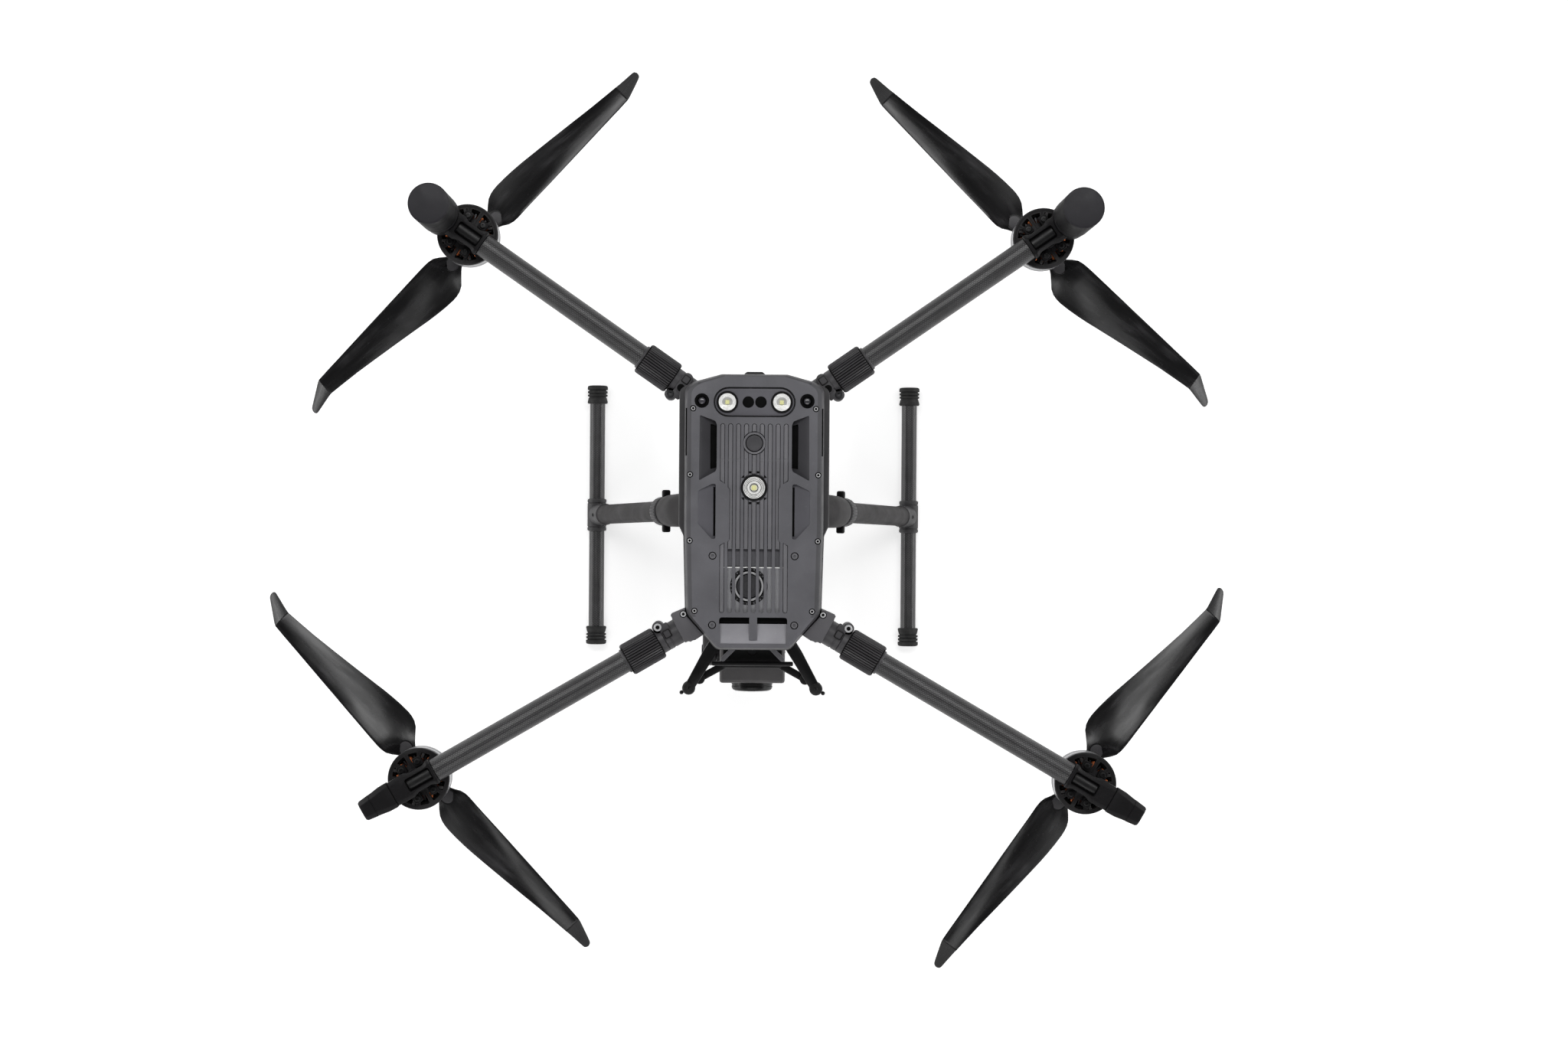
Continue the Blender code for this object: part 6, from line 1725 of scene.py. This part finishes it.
    def make_mount(self) -> None:
        """Build the motor mount with its pocket, the tube in it, the lugs and the cap screws."""
        half_h = 13.2
        section = chamfered(13.5, half_h, 4, 1.2, 2)
        low, high = self.slant - 22, self.slant + 28
        waist = 0.83
        rings = [[(x, y * k, z * max(k, 0.94)) for y, z in section] for x, k in (
            (low, 0.96), (low + 1, 1.04), (low + 3.6, 1.03), (low + 5, 0.96), (low + 6.8, 0.89),
            (low + 9.5, waist), (low + 23, waist), (low + 26.2, 0.89), (low + 28.5, 0.96),
            (low + 30.5, 1.03), (high - 1, 1.0), (high, 0.94),
        )]
        body = loft(rings)
        middle = low + 18
        pocket = prism(moved(block_plan(14.5, 7.5, 3), middle, 0), half_h - 6.2, half_h + 10)
        to_axis = self.tilt.inverted() @ self.motor
        cutters = [pocket]
        lift = self.seat_drop + FIT + 7
        can_place = to_axis @ at(self.antenna_out, 0)
        seat = drum(12.8, FIT, self.seat_drop - 4, to_axis, edge=0.6)
        extra = [seat]
        if self.end is End.REAR:
            extra.append(drum(self.antenna_radius - 0.8, 1.2, lift, can_place, edge=0.8))
            cutters.append(drum(self.antenna_radius + FIT, lift, lift + 30, can_place))
        body.cut(*cutters)
        piece = Piece(f"mount_{self.name}", self.body, Slot.SHELL)
        piece.add(MOUNT_GREY, body, *extra)
        piece.add(JET, lathe([
            (0, 4.5), (9.2, 4.5), (9.7, 5), (9.7, 31), (9.2, 31.5), (0, 31.5),
        ], at(low, 0) @ ALONG_X))
        lug = pillow(block_plan(4.8, 5, 1.4), 0.3, 9, 0.7)
        lugs = [to_axis @ at(x * 9.8, y * 17.2) for x, y in CORNERS]
        piece.repeat(MOUNT_GREY, lug, lugs)
        heads = [place @ at(0, 0, 8.6) for place in lugs]
        piece.repeat(JET, cap_screw(3.2, 2, 1.7), heads)
        clips = [to_axis @ at(x * 16.5, y * 19.5, 0.4) @ turned(x * y * 0.7) for x, y in CORNERS]
        clip = pillow(block_plan(2.6, 1.4, 0.5), 0, 2.2, 0.4)
        piece.repeat(LEG_GREY, clip, clips)
        piece.done(f"motor_mount_{self.name}", place=self.pivot @ self.tilt)

    def make_stator(self) -> None:
        """Build the motor base: windowed disc, hub, and the copper windings below it."""
        radius = 33.3
        disc = lathe([
            (0, 0), (30.5, 0), (31.2, 0.4), (radius - 0.5, 0.4), (radius, -0.2), (radius, -3.6),
            (radius - 0.4, -4), (12.5, -4), (12.5, -9), (6, -9), (6, -4.2), (0, -4.2),
        ], sides=72)
        count = 12
        plan = arc(28.5, 6, (0, 0), radians(-10.5), radians(21))
        plan += arc(18.5, 4, (0, 0), radians(9), radians(-18))
        window = prism(fillet(plan, 1.2, 3), -6, 2)
        disc.cut(Repeater.spread(window, around(count, 0.5), JET))
        piece = Piece(f"stator_{self.name}", self.body, Slot.MOTOR)
        piece.add(DISC_GREY, disc)
        bundle = block((16, -3.6, -20.5), (25.2, 3.6, -5.6), 2.4)
        piece.repeat(COPPER, bundle, around(count))
        tooth = block((12, -1.2, -20), (25.4, 1.2, -8.5), 0.5)
        piece.repeat(DARK_STEEL, tooth, around(count, 0.5))
        piece.add(DARK_STEEL, hoop(6.2, 14, -22.2, -9.2))
        piece.done(f"motor_stator_{self.name}", place=self.pivot @ self.motor)

    def make_antenna(self) -> None:
        """Build the antenna can with its round top edge and seam."""
        foot = self.seat_drop + FIT + 7 + FIT
        top = self.antenna_top - self.motor_z
        r = self.antenna_radius
        bend = 1.1
        profile = [(0, top), (r - bend * 2.2, top - 0.1)]
        profile += arc(bend, 5, (r - bend, top - 0.3 - bend), radians(75), radians(-75))
        profile += [(r, foot + 16), (r - 0.6, foot + 15.6), (r - 0.6, foot + 14.6), (r, foot + 14.2)]
        profile += [(r, foot + 2.2), (r - 0.8, foot + 0.6), (r - 2, foot), (0, foot)]
        piece = Piece(f"antenna_can_{self.name}", self.body, Slot.SHELL)
        piece.add(CAN_GREY, lathe(profile, at(self.antenna_out, 0), sides=72), paint=self.can_paint)
        piece.done(f"antenna_{self.name}", place=self.pivot @ self.motor)

    @staticmethod
    def can_paint(_: Vector, normal: Vector) -> Finish | None:
        """Return painted shade, in near black, for the can's sides."""
        return CAN_SHADE_AND_RING_BLACK if normal.z < 0.4 else None

    def make_nose_cap(self) -> None:
        """Build the tapered cap on the outer end of a front arm."""
        start, tip = self.slant + 28 + FIT, self.slant + 65
        rings = []
        for share, half_y, half_z, corner in (
            (0, 13.8, 12.7, 4), (0.03, 14.4, 13.2, 4), (0.30, 14.2, 12.6, 5), (0.56, 12.7, 11.2, 5),
            (0.62, 12.5, 11, 5), (0.625, 11.9, 10.4, 4.6), (0.645, 11.9, 10.4, 4.6), (0.65, 12.5, 10.9, 5),
            (0.95, 11.2, 9, 4.6), (1.0, 9.8, 7.6, 4),
        ):
            x = start + (tip - start) * share
            rings.append([(x, y, z) for y, z in chamfered(half_y, half_z, corner, 1.4, 3)])
        piece = Piece(f"tip_cap_{self.name}", self.body, Slot.SHELL)
        piece.add(MOUNT_GREY, loft(rings))
        piece.done(f"nose_cap_{self.name}", place=self.pivot @ self.tilt)

    def make_rotor(self) -> None:
        """Build the bell, the hub plates and the blade pins."""
        plate_top = -self.blade_level + 3 + FIT
        plate_low = -self.blade_level - 3 - FIT
        r, plate = 33.1, 2.6
        piece = Piece(f"rotor_bell_{self.name}", f"propeller_{self.name}", Slot.MOTOR)
        piece.add(BELL_METAL, lathe([
            (29, -26.8), (29, -7.5), (r - 0.6, -7.5), (r, -8.1), (r, -26.8), (r - 1.6, -28.8),
        ], sides=72))
        piece.add(JET, lathe([
            (0, -26.2), (26.5, -26.2), (26.5, -9.5), (29, -9), (29.2, -27), (r - 1.8, -29), (16.5, -33),
            (7.6, -36.2), (7.6, plate_low - plate), (0, plate_low - plate),
        ], sides=72))
        piece.add(DARK_STEEL, hoop(r - 0.5, r + 0.1, -20.5, -18.5, sides=72))
        piece.add(DARK_STEEL, drum(5, -27, -4.6, edge=0.4, sides=24))
        turn = turned(self.hub_turn)
        plan = oblong(self.blade_pin + self.lug, self.lug)
        for low in (plate_top, plate_low - plate):
            piece.add(JET, pillow(plan, low, low + plate, 0.6, turn))
        for way in (-1, 1):
            place = turn @ at(way * self.blade_pin, 0)
            piece.add(STEEL, drum(2.2, plate_low - 1.3, plate_top + 1.3, place, sides=24))
            piece.add(DARK_STEEL, cap_screw(4.6, 1.8, 2).moved(place @ at(0, 0, plate_top + 2.4)))
        piece.done(f"rotor_{self.name}", place=self.pivot @ self.motor)

    def blade_station(self, radius: float) -> tuple[float, ...]:
        """Return the leading edge, trailing edge, slope and height of the blade at a radius."""
        spots = self.stations
        for low, high in zip(spots, spots[1:]):
            if radius <= high[0]:
                break
        share = min(max((radius - low[0]) / (high[0] - low[0]), 0), 1.0)
        return tuple(a + (b - a) * share for a, b in zip(low[1:], high[1:]))

    def blade_ring(self, radius: float) -> list[Point]:
        """Return one cambered blade section.

        Args:
            radius: Distance from the motor axis.

        Returns:
            The section's points about the blade's own pin.
        """
        lead, trail, slope, height = self.blade_station(radius)
        chord = lead - trail
        span = max((radius - self.blade_pin) / (self.tip_radius - self.blade_pin), 0)
        thick = 5 - 3.9 * min(span, 1.0) ** 0.7
        camber = 0.045 * chord * min(1.0, span * 5)
        steps = 12
        upper, lower = [], []
        for i in range(steps + 1):
            back = 0.5 - 0.5 * cos(pi * i / steps)
            body = 0.30 * sqrt(back) - 0.13 * back - 0.35 * back ** 2 + 0.28 * back ** 3 - 0.10 * back ** 4
            body = 2.2 * thick * max(body, 0) + 0.12
            line = camber * (4 * back * (1 - back) - 0.6)
            y = lead - back * chord
            past = (radius - self.fold_start) * self.fold_way[0] + (y - self.fold_edge) * self.fold_way[1]
            base = y * tan(radians(slope)) + height - max(past, 0) * self.fold_slope + line
            upper.append((radius - self.blade_pin, self.spin * y, base + body))
            lower.append((radius - self.blade_pin, self.spin * y, base - body * 0.75))
        return upper + lower[::-1]

    def make_blade(self, index: int, letter: str) -> None:
        """Build one folding blade with its lug.

        Args:
            index: 0 or 1.
            letter: The blade's letter.
        """
        radii = [spot[0] for spot in self.stations if spot[0] < 226]
        radii += [226 + i for i in range(37)] + [263.2, 264, 264.6, self.tip_radius]
        blade = loft([self.blade_ring(radius) for radius in radii], weave=True)
        lug = drum(self.lug, -3, 3, edge=0.6)
        lug.cut(drum(2.6, -10, 10, sides=24))
        blade.cut(drum(2.6, -20, 20, sides=24))
        seat = at(0, 0, -self.blade_level) @ turned(self.hub_turn + index * pi) @ at(self.blade_pin, 0)
        swing = self.blade_turns[index] - self.hub_turn - index * pi
        piece = Piece(f"blade_skin_{letter}_{self.name}", f"blade_{letter}_{self.name}", Slot.BLADE)
        piece.add(BLADE, blade, angle=40)
        piece.add(MOUNT_GREY, lug)
        boss = at(14.2, 0)
        piece.add(COLLAR_GREY, lathe([
            (0, 3.1), (5.6, 3.1), (6.8, 2.9), (7.2, 2.5), (7.2, -2.8), (0, -2.8),
        ], boss))
        piece.add(JET, hoop(7.3, 8.6, -2.4, 2.6, boss))
        swing += radians(self.lean[index])
        piece.done(f"blade_{letter}_{self.name}", place=self.pivot @ self.motor @ seat @ turned(swing))


# Landing gear


@dataclass
class LandingLeg:
    """One leg with its tee, lock ring, skid and end caps."""

    side: int
    skid_x: float = 192.0
    skid_y: float = -5.0
    skid_radius: float = 9.375
    skid_length: float = 318.0
    cap_radius: float = 12.5
    cap_length: float = 22.0
    leg_radius: float = 11.75
    tee_length: float = 39.5
    tee_radius: float = 11.7

    @property
    def name(self) -> str:
        """Return left or right."""
        return "left" if self.side < 0 else "right"

    def ends(self) -> tuple[Vector, Vector]:
        """Return the top and foot of the leg axis."""
        top = Vector((self.side * 84, 1, 270))
        return top, Vector((self.side * self.skid_x, self.skid_y, self.cap_radius))

    def build(self) -> None:
        """Build the leg, the lock ring, the skid and its caps."""
        self.make_leg()
        self.make_ring()
        self.make_skid()

    def make_leg(self) -> None:
        """Build the leg tube and the tee that holds the skid."""
        top, foot = self.ends()
        start = top + (foot - top).normalized() * (10 + FIT)
        length = (foot - start).length
        r = self.leg_radius
        profile = [(0, 0), *[(r, length * i / 8) for i in range(8)], (r, length - 4), (0, length - 4)]
        piece = Piece(f"leg_tube_{self.name}", "airframe", Slot.CARBON)
        piece.add(LEG_GREY, lathe(profile, along(start, foot), weave=True))
        half, t = self.tee_length / 2, self.tee_radius
        bore = self.skid_radius + FIT
        tee = [(bore, half), (t - 1.2, half), (t, half - 1.2)]
        for z in (half - 5, -half + 5):
            tee += [(t, z + 0.8), (t - 0.7, z + 0.3), (t - 0.7, z - 0.3), (t, z - 0.8)]
        tee += [(t, -half + 1.2), (t - 1.2, -half), (bore, -half)]
        piece.add(SHELL_GREY, lathe(tee, Matrix.Translation(foot) @ ALONG_Y))
        way = along(start, foot) @ at(0, 0, length)
        collar = [(r, -34), (r + 1.2, -33.5), (r + 1.4, -26), (r + 1.4, -8), (r, -6)]
        piece.add(SHELL_GREY, lathe(collar, way))
        head = at(r + 1.2, 0, -22) @ turned(pi / 2, "Y")
        spots = [way @ turn @ head for turn in around(4)]
        piece.repeat(DARK_STEEL, cap_screw(2.2, 1, 1.1), spots)
        piece.done(f"leg_{self.name}")

    def make_ring(self) -> None:
        """Build the twist lock ring with its two tabs and grip ribs."""
        top, foot = self.ends()
        place = along(top, foot)
        across = place.to_3x3().inverted() @ Vector((0, 1, 0))
        heading = turned(atan2(across.y, across.x))
        low, high = 33, 50
        bore = self.leg_radius + RUN
        ring = lathe([
            (bore, low), (15.5, low), (16.5, low + 1.2), (16.5, high - 2.2), (15, high), (bore, high),
        ])
        piece = Piece(f"twist_ring_{self.name}", f"ring_{self.name}", Slot.BLACK)
        piece.add(SHELL_GREY, ring)
        tab = block((15, -4.5, low + 1), (24, 4.5, low + 8.5), 2.4)
        piece.repeat(MOUNT_GREY, tab, [heading @ turn for turn in around(2)])
        rib = block((16.2, -0.6, low + 1.6), (16.9, 0.6, high - 3), 0.3)
        spots = [heading @ turned(radians(a)) for a in range(0, 360, 12) if abs(a % 180 - 90) < 66]
        piece.repeat(SLEEVE_GREY, rib, spots)
        piece.done(f"lock_ring_{self.name}", place=place)

    def make_skid(self) -> None:
        """Build the skid tube and its two ridged rubber caps."""
        foot = self.ends()[1]
        across = Matrix.Translation(foot) @ ALONG_Y
        reach = self.skid_length / 2 - self.cap_length + 12
        r = self.skid_radius
        profile = [(0, reach), (r - 0.3, reach), (r, reach - 0.3)]
        profile += [(r, reach * (1 - i / 6)) for i in range(1, 12)]
        profile += [(r, -reach + 0.3), (r - 0.3, -reach), (0, -reach)]
        piece = Piece(f"skid_tube_{self.name}", "airframe", Slot.CARBON)
        piece.add(CARBON, lathe(profile, across, weave=True))
        piece.done(f"skid_{self.name}")
        c, end, inner = self.cap_radius, self.skid_length / 2, self.skid_length / 2 - self.cap_length
        for turn, which in ((0, "rear"), (pi, "front")):
            cap = [(0, end), (c - 2.2, end), (c - 0.6, end - 0.6), (c, end - 2.2), (c, end - 4.6)]
            for i in range(2):
                z = end - 4.6 - i * 4.2
                cap += [
                    (c - 0.2, z - 0.4), (c - 1.9, z - 0.8), (c - 1.9, z - 1.8), (c - 0.4, z - 2.2),
                    (c - 0.3, z - 4.2),
                ]
            cap += [(c - 2, end - 13.6), (c - 2, end - 14.6), (c - 1.3, end - 15), (c, inner + 1.6)]
            cap += [
                (c - 0.4, inner + 0.4), (c - 1, inner), (r + FIT, inner), (r + FIT, inner + 4),
                (0, inner + 4),
            ]
            piece = Piece(f"skid_boot_{which}_{self.name}", "airframe", Slot.RUBBER)
            piece.add(RUBBER, lathe(cap, across @ turned(turn, "X")))
            piece.done(f"skid_cap_{which}_{self.name}")


# Gimbal


@dataclass
class CameraGimbal:
    """The nose bracket, the two gimbal arms and the camera."""

    bracket_z: float = 224.0
    belly_z: float = 240.0
    yaw_y: float = -158.0
    yaw_radius: float = 18.0
    axis: Point = (0, -167, 142)
    plate_top: float = 219.0
    plate_low: float = 213.0
    arm_back: float = -88.0
    motor_depth: float = 18.0

    def build(self) -> None:
        """Build every piece of the gimbal."""
        self.make_bracket()
        self.make_yaw_arm()
        self.make_roll_arm()
        self.make_camera()

    @staticmethod
    def bar(start: Pair, end: Pair, half: float, low: float, high: float) -> Solid:
        """Return a flat bar between two plan points with round ends and edges."""
        a, b = Vector(start), Vector(end)
        way = b - a
        plan = oblong(way.length / 2 + half, half, 8)
        middle = (a + b) / 2
        turn = Matrix.Translation((middle.x, middle.y, 0)) @ turned(atan2(way.y, way.x))
        return pillow(plan, low, high, min(half, high - low) * 0.3, turn)

    def make_bracket(self) -> None:
        """Build the bracket: base, struts, dampers, crossbar, posts and lower plate."""
        z, top = self.bracket_z, self.belly_z - FIT
        piece = Piece("gimbal_bracket_frame", "airframe", Slot.BLACK)
        piece.add(SHELL_GREY, block((-32, -151.2, z), (32, -100, top), 2))
        piece.add(JET, block((-46, -174.5, z + 2), (46, -169.5, z + 10), 1.8))
        piece.add(STEEL, ring_screw(2.4, 1.8).moved(at(0, -153.5, z + 14.8)))
        lower = block((-34, -178, self.plate_low), (34, -128, self.plate_top), 1.5)
        lower.cut(drum(5.4, 190, 230, at(0, self.yaw_y)))
        piece.add(JET, lower)
        strut = [(21, -130), (40.5, -133), (56, -158), (76.8, -197.5), (67.2, -203), (44, -166)]
        for side in (-1, 1):
            root, knee, tip = (side * 26.8, -134), (side * 42, -146), (side * 72, -200)
            piece.add(JET, pillow(fillet(mirrored(strut, side), 3, 4), z, z + 10, 2.2))
            ball = at(side * 80.2, -205.2, z + 3)
            piece.add(JET, lathe(arc(2.4, 6, (0, 0), pi / 2, -pi), ball, sides=20))
            piece.add(JET, self.bar((side * 74, -201.2), (side * 80, -205), 1.2, z + 2, z + 4.2))
            piece.add(FIN_GREY, self.bar((side * 16, -149), (side * 33.5, -166.8), 2.6, z + 4, z + 12.5))
            piece.add(SHELL_GREY, self.bar(root, knee, 5.2, z + 0.5, z + 11))
            damper = [(0, 11.5), (4.8, 11.5), (6.2, 10.8), (7.5, 8.5), (7.5, 3)]
            damper += [(6, 1), (5.8, -2), (7.2, -4), (7.2, -8), (0, -8)]
            piece.add(RUBBER, lathe(damper, at(*tip, z)))
            stud = [(0, 12.8), (1.2, 12.6), (1.9, 11.8), (1.9, 11), (0, 11)]
            piece.add(JET, lathe(stud, at(*tip, z), sides=20))
            low_tip = (side * 60, -190)
            inner = (side * 28.8, -172.8)
            piece.add(JET, self.bar(inner, low_tip, 4.2, self.plate_low, self.plate_top - 1))
            piece.add(JET, self.bar(low_tip, tip, 2.6, self.plate_low + 1, self.plate_top - 2))
            piece.add(RUBBER, drum(6.2, self.plate_low - 2, z - 1, at(*low_tip), edge=1))
            piece.add(SHELL_GREY, drum(6.5, self.plate_low + 1, z + 2, at(side * 22, -138), edge=0.6))
        spots = [at(sx * 24, y, z) @ FLIP for sx in (-1, 1) for y in (-109, -124)]
        piece.repeat(DARK_STEEL, cap_screw(3, 1.6, 1.5), spots)
        piece.done("gimbal_bracket")

    def make_yaw_arm(self) -> None:
        """Build the yaw motor and the arm that drops behind the camera."""
        top = self.plate_low - FIT
        low = top - 11.5
        place = at(0, self.yaw_y)
        back = self.arm_back - self.yaw_y
        z = self.axis[2]
        piece = Piece("yaw_arm_casting", "gimbal_yaw", Slot.BLACK)
        r = self.yaw_radius
        piece.add(JET, lathe([
            (0, top), (r - 1, top), (r, top - 1), (r, top - 4), (r - 0.6, top - 4.5), (r, top - 5),
            (r, low + 1), (r - 1, low), (0, low),
        ], place))
        piece.add(DARK_STEEL, drum(5, top - 2, top + 6, place, sides=24))
        section = block_plan(11, 4, 1.6, 4)
        rings = []
        for y, level, lean in (
            (0, low + 4, 0), (back - 12, low + 4, 0), (back - 7.5, low + 2.7, -0.45),
            (back - 5, low - 1, -1.1), (back - 4, low - 6, -pi / 2), (back - 4, z - 11, -pi / 2),
        ):
            rings.append([(x, y - t * sin(lean), level + t * cos(lean)) for x, t in section])
        piece.add(CAMERA_GREY, loft(rings, place))
        roll = at(0, self.arm_back - self.motor_depth, z) @ ALONG_Y
        piece.add(JET, lathe([
            (0, 14), (14.6, 14), (15, 13.5), (15, 1), (14.2, 0), (5.4, 0), (5.4, 6), (0, 6),
        ], roll))
        piece.done("gimbal_yaw_arm")

    def make_roll_arm(self) -> None:
        """Build the roll disc, the side arm and the pitch motor."""
        place = at(*self.axis)
        disc_back = self.arm_back - self.motor_depth - self.axis[1] - FIT
        disc_front = disc_back - 5.5
        plate_front = disc_front - 6
        low, high = (TO_MODEL.inverted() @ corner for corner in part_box("gimbal_roll_arm"))
        half = min(10, (high.z - low.z) / 2)
        piece = Piece("roll_arm_casting", "gimbal_roll", Slot.BLACK)
        piece.add(JET, drum(15, disc_front - 2, disc_back, place @ ALONG_Y, edge=0.8))
        piece.add(DARK_STEEL, drum(5, disc_back - 2, disc_back + 5, place @ ALONG_Y, sides=24))
        low_x = -58
        piece.add(CAMERA_GREY, block((low_x, plate_front, -half), (15, disc_front, half), 1.8, place))
        piece.add(CAMERA_GREY, block((low_x, -half, -half), (-50, disc_front, half), 1.8, place))
        piece.add(JET, lathe([
            (0, -54), (13, -54), (13.5, -53.5), (13.5, -42.8), (12.8, -42), (5.4, -42), (5.4, -48),
            (0, -48),
        ], place @ ALONG_X))
        piece.add(SHELL_GREY, drum(11, -59.2, -57.8, place @ ALONG_X, edge=0.6))
        piece.done("gimbal_roll_arm")

    def make_camera(self) -> None:
        """Build the camera: body with seam, lens barrel with glass, and vents."""
        place = at(*self.axis)
        hx, hy, hz = 38, 32, 28
        body = block((-hx, -hy, -hz), (hx, hy, hz), 4)
        seam = loft([
            [(x, y, z) for x, y in block_plan(hx + a, hy + a, 4)]
            for a, z in ((2, 11.5), (-0.6, 11.5), (-0.6, 12.1), (2, 12.1))
        ], closed=True)
        groove = block((-30, -4, hz - 0.6), (30, -3.2, hz + 10), 0.1)
        body.cut(seam, groove)
        piece = Piece("camera_body", "camera_head", Slot.BLACK)
        piece.add(CAMERA_GREY, body.moved(place))
        nose = place @ at(0, -hy - 10) @ ALONG_Y
        piece.add(JET, lathe([
            (0, 14), (24, 14), (24, 7), (23.4, 6.5), (23.4, 5.5), (24, 5), (24, 4.6), (23.6, 2.6),
            (22.6, 1), (20.8, 0), (19.8, 0.4), (19, 6), (0, 6),
        ], nose))
        dome = [(0, 2.4), (6, 2.7), (11, 3.5), (15, 5), (16.2, 5.9), (0, 6.2)]
        piece.add(GLASS, lathe(dome, nose))
        for r in (18.6, 17.4):
            trim = [(r, 6), (r, 4.2), (r - 0.6, 4), (r - 0.8, 6)]
            piece.add(DARK_STEEL, lathe(trim, nose))
        piece.add(JET, drum(12, -42 + FIT, -hx + 3, place @ ALONG_X, edge=0.5))
        piece.add(DARK_STEEL, drum(5, -47, -40, place @ ALONG_X, sides=24))
        slat = block((-0.8, -10, -0.4), (0.8, 10, 0.6), 0.3)
        spots = [place @ at(hx, 12, -12 + i * 4.2) @ turned(pi / 2, "Y") for i in range(6)]
        piece.repeat(JET, slat, spots)
        eye = place @ at(29, -hy + 0.5, -18) @ ALONG_Y @ FLIP
        piece.add(GLASS, drum(4.2, 0, 1.4, eye, edge=0.5, sides=32))
        piece.done("camera")


# Studio


@dataclass
class Studio:
    """Pale floor, soft light from both sides and the camera above the drone."""

    focal: float = 50.07
    height: float = 2.700
    nadir: Pair = (-0.009, 0.005)
    shift: Pair = (0.02456, -0.00684)
    roll: float = 0.0068
    strip_power: float = 15.0
    front_power: float = 26.0
    rear_power: float = 40.0
    floor_half: float = 40.0
    floor_glow: float = 0.52
    aim_z: float = 0.30
    sensor: float = 36.0

    def build(self) -> None:
        """Set the floor, the world, the lamps and the camera."""
        bpy.context.scene.view_settings.view_transform = "Standard"
        self.floor()
        self.world()
        for side in (-1, 1):
            self.lamp(f"side_strip_{side}", (side * 2.0, 0.0, 0.50), (2.6, 0.30), self.strip_power)
        self.lamp("front_box", (0.0, -2.1, 2.7), (3.0, 1.0), self.front_power)
        self.lamp("rear_box", (0.0, 1.25, 2.9), (3.0, 0.8), self.rear_power)
        self.camera()

    def floor(self) -> None:
        """Lay the floor: white to the camera, with the drone's soft shadow on it."""
        bm = bmesh.new()
        bmesh.ops.create_grid(bm, x_segments=1, y_segments=1, size=self.floor_half)
        mesh = bpy.data.meshes.new("floor")
        bm.to_mesh(mesh)
        bm.free()
        sheet = NodeSheet(bpy.data.materials.new("floor_paper"))
        sheet.set(Base_Color=(0.82, 0.82, 0.82, 1.0), Roughness=0.9, Specular_IOR_Level=0.1)
        path = sheet.node("LightPath")
        seen = sheet.math("MAXIMUM", path.outputs["Is Camera Ray"], path.outputs["Is Glossy Ray"])
        seen = sheet.math("MAXIMUM", seen, path.outputs["Is Transmission Ray"])
        glow = sheet.node(
            "Emission",
            {"Color": (1.0, 1.0, 1.0, 1.0), "Strength": sheet.math("MULTIPLY", seen, self.floor_glow)},
        )
        both = sheet.node("AddShader", {0: sheet.shader.outputs[0], 1: glow.outputs[0]})
        out = sheet.tree.nodes["Material Output"]
        sheet.tree.links.new(both.outputs[0], out.inputs["Surface"])
        mesh.materials.append(sheet.owner)
        obj = bpy.data.objects.new("floor", mesh)
        show(obj)
        obj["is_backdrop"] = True

    def world(self) -> None:
        """Set a studio world: white at the horizon and dim overhead."""
        world = bpy.data.worlds.new("studio")
        bpy.context.scene.world = world
        sheet = NodeSheet(world, "Background")
        height = sheet.node("SeparateXYZ", {0: sheet.coords["Generated"]}).outputs["Z"]
        sheet.set(Color=(1.0, 1.0, 1.0, 1.0), Strength=sheet.spread(height, 1.0, 0.16, 0.08, 0.45))

    def lamp(self, name: str, spot: Point, size: Pair, power: float) -> None:
        """Hang one soft box that looks at the drone.

        Args:
            name: Name of the lamp.
            spot: Where it hangs.
            size: Width and height of its face.
            power: Watts.
        """
        data = bpy.data.lights.new(name, "AREA")
        data.shape = "RECTANGLE"
        data.size, data.size_y = size
        data.energy = power
        obj = bpy.data.objects.new(name, data)
        place = Vector(spot)
        aim = Vector((0.0, 0.0, self.aim_z)) - place
        obj.location = place
        obj.rotation_euler = aim.to_track_quat("-Z", "Y").to_euler()
        obj.visible_camera = False
        show(obj)

    def camera(self) -> None:
        """Set the camera straight above the drone, as in the photograph."""
        data = bpy.data.cameras.new("camera_above")
        data.lens = self.focal
        data.sensor_width = self.sensor
        data.shift_x, data.shift_y = self.shift
        data.clip_end = 200.0
        obj = bpy.data.objects.new("camera_above", data)
        obj.location = (self.nadir[0], self.nadir[1], self.height)
        obj.rotation_euler = (0.0, 0.0, self.roll)
        show(obj)
        bpy.context.scene.camera = obj


def write_sizes() -> None:
    """Work out the CAD box and the box of the dressed drone, and drop the result."""
    boxes = {"cad": CAD_BOX, "visual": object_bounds()}
    {name: [list(corner) for corner in pair] for name, pair in boxes.items()}


def main() -> None:
    """Build the drone and its studio."""
    logging.basicConfig(level=logging.INFO, format="%(message)s")
    arms = [Arm(end, side) for end in End for side in (-1, 1)]
    Fuselage().build(arms)
    for arm in arms:
        arm.build()
    for side in (-1, 1):
        LandingLeg(side).build()
    CameraGimbal().build()
    Studio().build()
    LOG.info("%d pieces", len(Piece.made))
    write_sizes()


if __name__ == "__main__":
    main()
